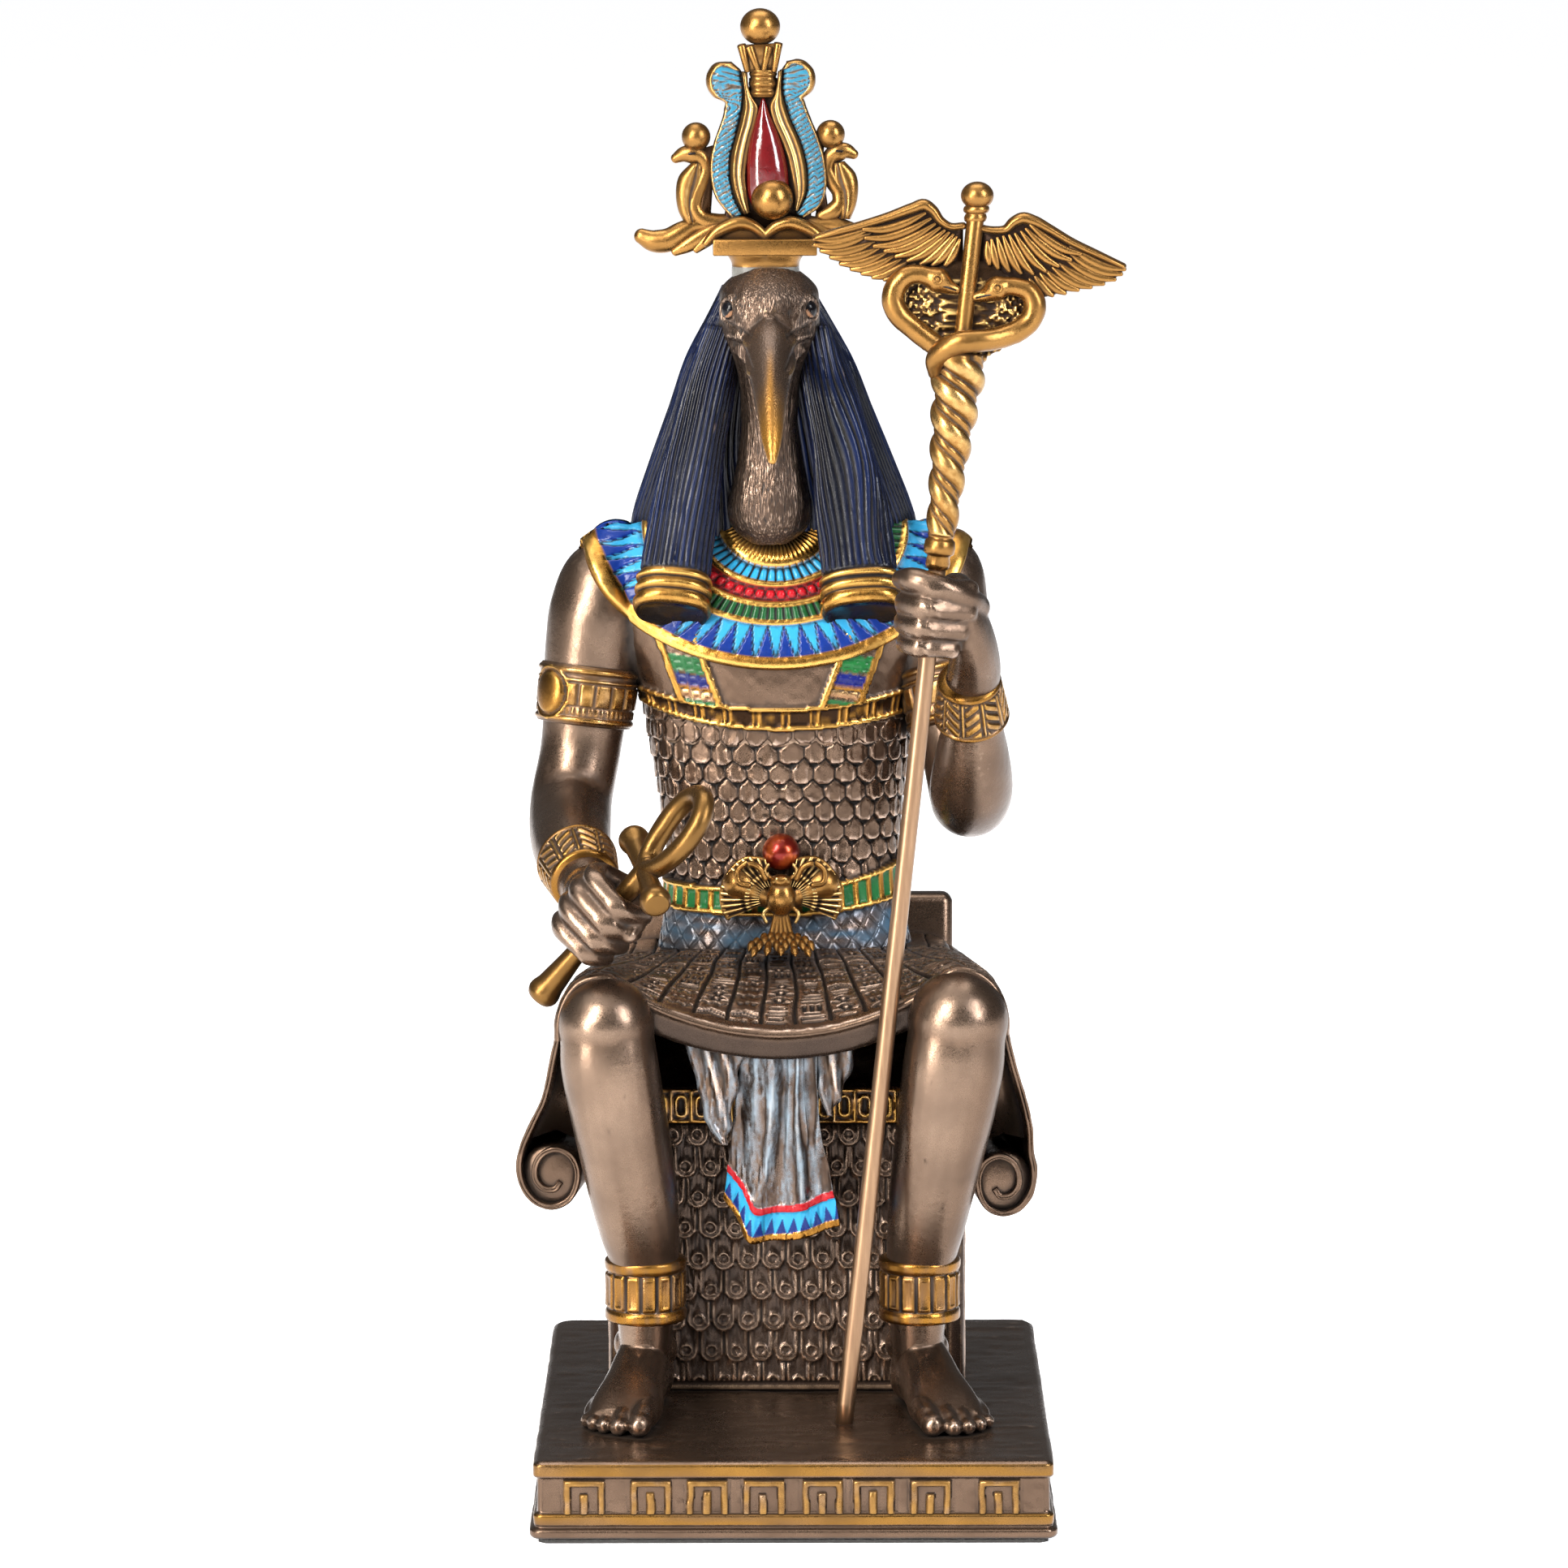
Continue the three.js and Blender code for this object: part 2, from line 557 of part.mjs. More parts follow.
// A fist is four finger swells stacked along the bar it grips, with the hand's back and thumb.
function makeFist(centre, axis, across, palm, thumb, bore) {
  const pitch = 3.7;
  const rings = [];
  for (let i = 0; i <= 8; i++) {
    const swell = i % 2 === 1 ? 1 : 0.87;
    const taper = 1 - 0.045 * Math.abs(i - 3.4);
    const end = i === 0 || i === 8 ? 0.8 : 1;
    const middle = centre.clone().addScaledVector(axis, (4 - i) * pitch / 2);
    rings.push(ringAt(middle, axis, across, 6.6 * swell * taper * end, 6.2 * swell * taper * end, 8, 2.4));
  }
  const hand = join([loft(rings), palm, thumb]);
  const drill = limb([
    centre.clone().addScaledVector(axis, -16).toArray().concat(bore),
    centre.clone().addScaledVector(axis, 16).toArray().concat(bore),
  ], 8);
  return { hand, drill };
}

const ANKH_UP = new THREE.Vector3(0.61, -0.2, 0.765).normalize();
const ANKH_ARM = new THREE.Vector3(0.2, -0.898, -0.394);
ANKH_ARM.addScaledVector(ANKH_UP, -ANKH_ARM.dot(ANKH_UP)).normalize();
const ANKH_CROSS = new THREE.Vector3(-27.6, -27.4, 120.4);
const onAnkh = (up, arm = 0) => (
  ANKH_CROSS.clone().addScaledVector(ANKH_UP, up).addScaledVector(ANKH_ARM, arm));
const ANKH_SHAFT = 2;

function makeHands() {
  const left = makeFist(onAnkh(-12.4), ANKH_UP, new THREE.Vector3(0, 1, 0),
    limb([[-38.6, -15.5, 115.4, 5, 5], [-38, -20, 114.6, 5.8, 6], [-36.6, -24.6, 113, 5.4, 7], [-35.6, -28, 112, 4, 6]], 8),
    limb([[-33, -20, 116, 2.4], [-29.4, -24, 112.6, 2.4], [-29.6, -29, 109.6, 2.2], [-30.6, -31, 108.6, 1.4]], 6),
    ANKH_SHAFT + GAP);
  const right = makeFist(onStaff(168.2), staffAxis, new THREE.Vector3(1, 0, 0),
    limb([[33.8, -11, 150, 4.8, 4.6], [33, -18, 159, 6.4, 4.8], [31, -21.6, 165, 7, 4.8], [29.4, -23.4, 172, 6, 4.2]], 8),
    limb([[29, -20, 170.6, 2.6], [24.4, -21.6, 173.4, 2.6], [20.8, -24.6, 173.6, 2.3], [19.8, -26.6, 173.2, 1.4]], 6),
    SHAFT_RADIUS + GAP);
  return { hands: [left.hand, right.hand], drills: [left.drill, right.drill] };
}

// Head: an ibis neck swelling at the throat, a narrow skull and a long beak bent down
function makeHead() {
  const rows = [
    [174, 7.4, 7.4, 17.2], [181, 8.1, 8, 15.8], [188, 7, 7.2, 15.2], [197, 5.6, 6.6, 15],
    [206, 5.9, 8, 14.4], [214, 8.2, 10.6, 14], [221.4, 9.6, 12.4, 14.6], [227, 8.6, 10.8, 15.4], [230.2, 4.6, 6, 16.4],
  ];
  return [
    stack(rows.map(([z, rx, ry, cy]) => [z, midline(z) + 0.4, cy, rx, ry]), 12, 2.2),
    limb([
      [-4.1, 8, 219, 4.6, 4.4], [-4.1, 2, 216.4, 4.8, 4.6], [-4, -3.4, 212.6, 4.2, 4], [-3.9, -8.2, 208, 3.5, 3.3],
      [-3.8, -12.2, 203, 2.7, 2.6], [-3.7, -15.6, 198.6, 1.9, 1.9], [-3.6, -17.8, 195.4, 1, 1.1],
    ], 8),
    ball(-12.4, 8.6, 221.8, 1.8, 6, 4),
    ball(3.8, 8.6, 221.8, 1.8, 6, 4),
  ];
}

// Wig: a bell of hair from behind the crown of the head to the shoulders, with two front lappets
function makeWig() {
  const rows = [
    [226, 8, 8, 21], [221, 10.6, 11, 21.6], [212.6, 15.2, 12, 23.4], [202, 19.2, 12.6, 25.4],
    [191, 23.4, 13.6, 27.6], [181, 26.8, 13.2, 29.6], [162, 27, 9, 34.8],
  ];
  const lappet = (side, shift) => limb([
    [side * 9 + shift, 15, 215, 4.6, 5], [side * 10.8 + shift, 12.6, 205, 5.4, 5.4],
    [side * 12.8 + shift, 10.8, 192, 6, 4.4], [side * 15.2 + shift, 9.6, 180, 6.4, 3.6],
    [side * 17.6 + shift, 9.2, 171, 6.8, 3.2], [side * 18.4 + shift, 9, 169.8, 7.4, 3.7],
    [side * 19 + shift, 8.6, 162.6, 7.3, 3.7],
  ], 8, new THREE.Vector3(1, 0, 0), 2.6);
  return [
    stack(rows.map(([z, rx, ry, cy]) => [z, midline(z), cy, rx, ry]), 16, 2.1),
    lappet(-1, -4.4),
    lappet(1, -5.4),
  ];
}

// Girdle clasp: a winged scarab below a ball, with a short tail of buds over the lap
function makeScarab() {
  const x = -2.2;
  const y = 9.4;
  const wing = (side) => slab([
    [2.2, 107], [6, 106.4], [10, 109.4], [11, 113.6], [9.4, 116.6], [6, 117.4], [4, 114.4], [2.2, 112],
  ].map(([wx, wz]) => [x + side * wx, wz]), y - 1.4 + 0.6, y + 4);
  return [
    ball(x, y + 1, 118, 3.3, 10, 6),
    ball(x, y - 1.4, 109.6, 2.8, 8, 6, [1, 0.9, 1.35]),
    wing(-1),
    wing(1),
    limb([[x, y - 1, 106, 2.6, 1.6], [x, y - 3.6, 103.6, 3, 1.6], [x, y - 9, 100.6, 4.4, 1.5], [x, y - 12, 99.2, 3.4, 1.1]], 6),
  ];
}

function makeFigure() {
  const { hands, drills } = makeHands();
  const whole = join([
    ...makeThrone(), ...makeTorso(), makeKilt(), ...makeFalls(), makeApron(), ...makeLegs(), ...makeArms(),
    ...hands, ...makeHead(), ...makeWig(), ...makeScarab(),
  ]);
  return [...drills, makeCrownSeat()].reduce((left, cut) => left.subtract(cut), whole);
}

// Crown: stem and tablet, wavy ram horns, two plumes about a drop, balls and a cobra at each side
const CROWN_Y = 17;
const CROWN_X = -4.6;
function makeCrownSeat() {
  return stack([[228, CROWN_X, CROWN_Y, 6.6 + GAP, 6 + GAP], [240, CROWN_X, CROWN_Y, 6.6 + GAP, 6 + GAP]], 10, 2.6);
}

function makeCrown() {
  const tilt = (z) => CROWN_X - LEAN * (z - 235);
  const plumes = [
    [-6.8, 238.4], [-9.4, 242.6], [-10.5, 247.4], [-10.3, 251.6], [-8.9, 256.4], [-7.5, 260], [-7.6, 262],
    [-9.4, 263.2], [-10.2, 265.8], [-9.2, 268.2], [-6.8, 269.1], [-4.2, 268], [-2.6, 267.4], [-3.4, 272.4],
  ];
  const outline = [
    ...plumes.map(([x, z]) => [tilt(z) + 0.2 + x, z]),
    ...plumes.map(([x, z]) => [tilt(z) + 0.2 - x, z]).reverse(),
  ];
  const cobra = (side) => {
    const at = (dx, z) => tilt(z) + 0.2 + side * dx;
    const hood = [
      [15, 238.4], [16.8, 241.2], [17.4, 244.8], [16.6, 247.8], [15, 249.6], [13, 249.6], [12, 246], [12.4, 241],
      [11.6, 238.4],
    ];
    return [
      limb([
        [at(17, 251), CROWN_Y, 250.9, 0.9], [at(15, 251.2), CROWN_Y, 251.2, 1.4], [at(12.6, 251), CROWN_Y, 251, 1.5],
        [at(11.4, 248.6), CROWN_Y, 248.6, 1.4], [at(12.6, 245), CROWN_Y, 245, 1.5],
        [at(13, 241.4), CROWN_Y, 241.4, 1.8], [at(9.6, 238.4), CROWN_Y, 238.4, 1.8],
      ], 6, new THREE.Vector3(0, 1, 0)),
      slab(hood.map(([dx, z]) => [at(dx, z), z]), CROWN_Y - 1, CROWN_Y + 1.2),
      ball(at(12.7, 255), CROWN_Y, 255.1, 2.4, 8, 6),
      slab([[at(6, 240), 238], [at(11, 240), 238.6], [at(12, 250), 250], [at(12, 254), 254], [at(7, 254), 253]],
        CROWN_Y - 0.8, CROWN_Y + 0.8),
    ];
  };
  const horn = (side) => limb([
    [tilt(237) + side * 1.5, CROWN_Y - 1, 236.8, 1.3], [tilt(237) + side * 5, CROWN_Y - 1, 238.6, 1.5],
    [tilt(237) + side * 9, CROWN_Y, 238.2, 1.9], [tilt(237) + side * 13, CROWN_Y, 236.6, 2.1],
    [tilt(237) + side * 18.6, CROWN_Y, 235.2, 2.1], [tilt(237) + side * 22.6, CROWN_Y, 234.8, 1.9],
    [tilt(237) + side * 25.6, CROWN_Y, 236.6, 1.3],
  ], 6, new THREE.Vector3(0, 1, 0));
  return join([
    stack([
      [228 + GAP, CROWN_X, CROWN_Y, 6.4, 5.6], [229.4, CROWN_X, CROWN_Y, 6.5, 5.8],
      [231, CROWN_X, CROWN_Y, 6.5, 5.6], [232.6, CROWN_X, CROWN_Y, 7.4, 6.2],
    ], 10, 2.6),
    block(CROWN_X - 9.8, CROWN_X + 9.8, CROWN_Y - 7, CROWN_Y + 7, 232.4, 235),
    slab([[CROWN_X - 8, 234.6], [CROWN_X - 7, 239.6], [CROWN_X + 7, 239.6], [CROWN_X + 8, 234.6]], CROWN_Y - 1, CROWN_Y + 1),
    slab(outline, CROWN_Y - 2.4, CROWN_Y + 2.4),
    ...cobra(-1), ...cobra(1), horn(-1), horn(1),
    ball(tilt(275.5) - 0.3, CROWN_Y, 275.6, 3.6, 10, 7),
    stack([
      [262.6, tilt(265), CROWN_Y, 3, 3.4], [267.4, tilt(267), CROWN_Y, 3, 3.4], [272.6, tilt(272), CROWN_Y, 4.1, 3.2],
    ], 8, 2.6),
    stack([
      [241, tilt(241) + 0.8, CROWN_Y - 1.6, 3.6, 2], [247.4, tilt(247) + 0.9, CROWN_Y - 1.8, 4.1, 2.6],
      [254, tilt(254) + 0.6, CROWN_Y - 1.8, 2.9, 2.2], [261, tilt(261), CROWN_Y - 1.6, 0.9, 1.4],
    ], 8),
    ball(tilt(243) + 1, CROWN_Y - 3, 243, 4, 10, 6),
  ]);
}

// Staff: a plain rod let into the plinth top, and a cast head with twined serpents and wings
function makeRod() {
  const top = onStaff(STAFF_JOINT);
  return limb([
    [STAFF_FOOT.x, STAFF_FOOT.y, STAFF_FOOT.z, SHAFT_RADIUS], [top.x, top.y, top.z, SHAFT_RADIUS],
  ], 16);
}

const RAISED = 1.8;
function makeStaffHead() {
  const centre = (z) => onStaff(z);
  const rings = [];
  const right = new THREE.Vector3(1, 0, 0);
  const column = [
    [STAFF_JOINT + GAP, 1.8], [178, 2.2], [179.6, 2.1], [179.8, 2.8], [182.2, 2.8], [182.5, 2.3],
  ];
  const sides = 10;
  column.forEach(([z, radius]) => rings.push(ringAt(centre(z), staffAxis, right, radius, radius, sides)));
  const turns = 2.6;
  const steps = 18;
  for (let i = 0; i <= steps; i++) {
    const t = i / steps;
    const z = 183.2 + 33 * t;
    const radius = 2.5 + 2.4 * t ** 1.5;
    const turn = -Math.PI * 2 * turns * t;
    const ring = ringAt(centre(z), staffAxis, right, radius, radius, sides);
    ring.forEach((p, j) => {
      const angle = 2 * Math.PI * j / sides;
      const lobe = 1 + 0.13 * Math.cos(2 * (angle - turn));
      p.sub(centre(z)).multiplyScalar(lobe).add(centre(z));
    });
    rings.push(ring);
  }
  const at = (dx, z, forward = 0) => {
    const p = centre(z);
    return [p.x + dx, p.y - forward, z];
  };
  const wingSlab = (points) => slab(points.map(([dx, z]) => [centre(z).x + dx, z]), STAFF_TIP.y - 1.4, STAFF_TIP.y + 1.4);
  const leftSerpent = [
    at(-2, 227, RAISED), at(-5, 229.6, RAISED), at(-8.6, 230.4, RAISED), at(-11.6, 229, RAISED),
    at(-13.4, 225.6, RAISED), at(-11.4, 221.6, RAISED), at(-7, 218.4, RAISED), at(-3.4, 215.8, RAISED),
  ];
  const rightSerpent = [
    at(2.6, 226.6, RAISED), at(5.6, 227.8, RAISED), at(9.2, 228.4, RAISED), at(11.8, 227, RAISED),
    at(12.4, 223.8, RAISED), at(10.8, 220, RAISED), at(7, 217.8, RAISED + 0.4), at(1, 216.4, 3.6), at(-3.4, 214, 2.6),
  ];
  const body = (points) => points.map((p, i) => [...p, i === 0 ? 0.9 : i === 1 ? 1.8 : 1.6]);
  return join([
    loft(rings),
    limb([[...at(0, 215), 2.2], [...at(0, 240.6), 2.1], [...at(0, 241), 2.6], [...at(0, 244.6), 1.8]], 10),
    ball(STAFF_TIP.x, STAFF_TIP.y, STAFF_TIP.z, 3.1, 10, 8),
    wingSlab([
      [0, 240], [-2.2, 240.4], [-4.6, 241.8], [-6.6, 244], [-8.4, 244.2], [-13, 242.8], [-19, 240.4], [-27.6, 238.4],
      [-28, 237], [-26.6, 235], [-20.4, 231.6], [-14.6, 229.4], [-12, 230.6], [-8, 232.4], [-4, 231], [0, 232],
    ]),
    wingSlab([
      [0, 239.4], [3.6, 239], [6, 239.6], [7.6, 241.6], [9.6, 242.2], [12.6, 241], [16.4, 238.4], [22.4, 235.4],
      [29, 233], [29.4, 232], [28.4, 230.4], [24.2, 228.8], [18.4, 227.8], [14, 227], [12, 227], [8, 229.4], [3, 232], [0, 232],
    ]),
    slab([
      [-12, 230.4], [-12.6, 226], [-10, 221], [-4, 215.6], [4, 216.6], [9.4, 219], [11.8, 223], [11, 228.6], [0, 233],
    ].map(([dx, z]) => [centre(z).x + dx, z]), STAFF_TIP.y - 2, STAFF_TIP.y + 0.6),
    limb(body(leftSerpent), 6, new THREE.Vector3(0, 1, 0)),
    limb(body(rightSerpent), 6, new THREE.Vector3(0, 1, 0)),
  ]);
}

// Ankh: a flared shaft, a flared cross-arm and a drawn-out loop, gripped through the fist
function makeAnkh() {
  const shaft = limb([
    [...onAnkh(-33).toArray(), 2.5], [...onAnkh(-32).toArray(), 2.9], [...onAnkh(-22).toArray(), ANKH_SHAFT],
    [...onAnkh(1).toArray(), ANKH_SHAFT],
  ], 10);
  const arm = limb([
    [...onAnkh(0, -12.4).toArray(), 2], [...onAnkh(0, -11.4).toArray(), 2.7], [...onAnkh(0, -4).toArray(), 1.9],
    [...onAnkh(0, 4).toArray(), 1.9], [...onAnkh(0, 11.4).toArray(), 2.7], [...onAnkh(0, 12.4).toArray(), 2],
  ], 8, ANKH_UP);
  const steps = 16;
  const sides = 7;
  const face = ANKH_UP.clone().cross(ANKH_ARM);
  const positions = [];
  const index = [];
  for (let i = 0; i < steps; i++) {
    const angle = 2 * Math.PI * i / steps;
    const up = 9.4 - 8.6 * Math.cos(angle);
    const out = 6.6 * Math.sin(angle) * (0.62 + 0.38 * up / 18);
    const centre = onAnkh(up, out);
    const away = centre.clone().sub(onAnkh(9.4)).normalize();
    for (let j = 0; j < sides; j++) {
      const turn = 2 * Math.PI * j / sides;
      const p = centre.clone().addScaledVector(away, 2.1 * Math.cos(turn)).addScaledVector(face, 2 * Math.sin(turn));
      positions.push(p.x, p.y, p.z);
      const a = i * sides + j;
      const b = i * sides + (j + 1) % sides;
      const c = ((i + 1) % steps) * sides + j;
      const d = ((i + 1) % steps) * sides + (j + 1) % sides;
      index.push(a, b, d, a, d, c);
    }
  }
  return join([shaft, arm, solidFrom(positions, index)]);
}

const FINISH = {
  felt_pad: ['#1c1a19', 0.95, 0],
  plinth: ['#5b4638', 0.38, 0.6],
  seated_figure: ['#6a5344', 0.36, 0.6],
  crown: ['#a87c33', 0.36, 0.7],
  staff_rod: ['#8c6f58', 0.32, 0.8],
  caduceus_head: ['#a07536', 0.36, 0.7],
  ankh: ['#94692a', 0.34, 0.7],
};

const SOLIDS = {
  felt_pad: makeFelt(),
  plinth: makePlinth(),
  seated_figure: makeFigure(),
  crown: makeCrown(),
  staff_rod: makeRod(),
  caduceus_head: makeStaffHead(),
  ankh: makeAnkh(),
};

const statue = new THREE.Group();
statue.name = 'thoth_statue';
for (const [name, solid] of Object.entries(SOLIDS)) {
  const [color, roughness, metalness] = FINISH[name];
  const material = new THREE.MeshStandardMaterial({ color, roughness, metalness });
  const mesh = new THREE.Mesh(toGeometry(tidy(solid)), material);
  mesh.name = name;
  statue.add(mesh);
}

export default statue;
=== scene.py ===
import math
import random

import bmesh
import bpy
import numpy as np
from mathutils import Matrix, Vector
from mathutils.bvhtree import BVHTree


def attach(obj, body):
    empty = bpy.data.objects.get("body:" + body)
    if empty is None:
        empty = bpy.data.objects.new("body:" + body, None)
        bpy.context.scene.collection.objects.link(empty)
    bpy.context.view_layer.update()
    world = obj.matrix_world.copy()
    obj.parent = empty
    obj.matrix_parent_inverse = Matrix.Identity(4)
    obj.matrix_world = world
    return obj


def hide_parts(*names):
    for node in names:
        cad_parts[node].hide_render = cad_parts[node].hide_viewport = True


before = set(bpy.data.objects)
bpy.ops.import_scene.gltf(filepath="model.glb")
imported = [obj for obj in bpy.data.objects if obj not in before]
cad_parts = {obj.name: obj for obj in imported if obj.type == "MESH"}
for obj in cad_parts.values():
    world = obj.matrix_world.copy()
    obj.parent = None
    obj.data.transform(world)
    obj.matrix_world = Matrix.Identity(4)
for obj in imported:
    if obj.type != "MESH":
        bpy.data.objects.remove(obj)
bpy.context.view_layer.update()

# Studio. A pale tabletop with no wall behind it, a broad soft light high on the left, a weaker one
# on the right and a strip behind, seen through a long lens from a little above the crown.
MM = 0.001


def linear(code, alpha=1.0):
    parts = [int(code[i:i + 2], 16) / 255 for i in (1, 3, 5)]
    return tuple(c / 12.92 if c <= 0.04045 else ((c + 0.055) / 1.055) ** 2.4 for c in parts) + (alpha,)


def add_node(tree, kind, settings=None, inputs=None):
    made = tree.nodes.new("ShaderNode" + kind)
    for key, value in (settings or {}).items():
        setattr(made, key, value)
    for key, value in (inputs or {}).items():
        if isinstance(value, bpy.types.NodeSocket):
            tree.links.new(value, made.inputs[key])
        else:
            made.inputs[key].default_value = value
    return made


def new_material(name):
    material = bpy.data.materials.new(name)
    material.use_nodes = True
    material.node_tree.nodes.clear()
    return material, material.node_tree


CAMERA_AT = (0.517, -1362.5, 326.124)
CAMERA_PITCH, CAMERA_YAW, CAMERA_ROLL = (math.radians(a) for a in (8.0757, -0.0878, -0.1135))
camera_data = bpy.data.cameras.new("product_camera")
camera_data.sensor_width = 36.0
camera_data.lens = 165.9
camera = bpy.data.objects.new("product_camera", camera_data)
bpy.context.scene.collection.objects.link(camera)
forward = Vector((
    math.sin(CAMERA_YAW) * math.cos(CAMERA_PITCH), math.cos(CAMERA_YAW) * math.cos(CAMERA_PITCH),
    -math.sin(CAMERA_PITCH)))
level = Vector((math.cos(CAMERA_YAW), -math.sin(CAMERA_YAW), 0))
above = level.cross(forward)
right = math.cos(CAMERA_ROLL) * level + math.sin(CAMERA_ROLL) * above
above = right.cross(forward)
camera.matrix_world = Matrix((right, above, -forward)).transposed().to_4x4()
camera.location = Vector(CAMERA_AT) * MM
bpy.context.scene.camera = camera


def area_light(name, place, towards, size, power, tint):
    data = bpy.data.lights.new(name, "AREA")
    data.shape = "RECTANGLE"
    data.size, data.size_y = size
    data.energy = power
    data.color = linear(tint)[:3]
    lamp = bpy.data.objects.new(name, data)
    lamp.location = place
    lamp.rotation_euler = (Vector(towards) - Vector(place)).to_track_quat("-Z", "Y").to_euler()
    bpy.context.scene.collection.objects.link(lamp)


area_light("key_softbox", (-0.75, -1.15, 0.95), (0, 0, 0.13), (0.4, 0.9), 44, "#fffaf4")
area_light("right_softbox", (0.95, -0.8, 0.75), (0, 0, 0.13), (0.35, 0.9), 24, "#f6f9ff")
area_light("top_softbox", (0, 0.15, 1.3), (0, 0, 0.1), (0.9, 0.6), 9, "#ffffff")
area_light("low_left_softbox", (-1.0, -1.0, 0.3), (0, 0, 0.08), (0.22, 0.5), 15, "#fffaf4")
sky_data = bpy.data.lights.new("broad_overhead", "SUN")
sky_data.energy = 1.4
sky_data.angle = math.radians(70)
sky = bpy.data.objects.new("broad_overhead", sky_data)
sky.rotation_euler = (math.radians(18), math.radians(-14), 0)
bpy.context.scene.collection.objects.link(sky)
world = bpy.data.worlds.new("studio_air")
world.use_nodes = True
world.node_tree.nodes["Background"].inputs["Color"].default_value = linear("#f4f5f7")
world.node_tree.nodes["Background"].inputs["Strength"].default_value = 0.16
bpy.context.scene.world = world
bpy.context.scene.view_settings.view_transform = "Standard"

paper, tree = new_material("matt_white_paper")
surface = add_node(tree, "BsdfPrincipled", inputs={
    "Base Color": linear("#f4f4f5"), "Roughness": 0.9,
    "Emission Color": linear("#f4f4f5"), "Emission Strength": 0.56})
add_node(tree, "OutputMaterial", inputs={"Surface": surface.outputs[0]})
bm = bmesh.new()
bmesh.ops.create_grid(bm, x_segments=1, y_segments=1, size=9.0)
floor_mesh = bpy.data.meshes.new("studio_floor")
bm.to_mesh(floor_mesh)
bm.free()
floor_mesh.materials.append(paper)
studio_floor = bpy.data.objects.new("studio_floor", floor_mesh)
bpy.context.scene.collection.objects.link(studio_floor)


# Plinth. A cast bronze-resin block with straight mouldings, its square gateways and two bands touched
# with gold, its top worked with fine ripples. Dark felt is glued underneath. The figure is cast with it.
PLINTH_WIDTH, PLINTH_DEPTH, PLINTH_TOP = 96.2, 124.0, 15.4
BACK_CORNER, FRONT_CORNER = 4.5, 1.8
GOLD, GOLD_PALE, GILT_PAINT = "#8f6830", "#7f5c2b", "#aa7832"
DARK_WASH, DARK_LINE, DARK_GROUND = "#1c120b", "#150b05", "#2c1b0c"


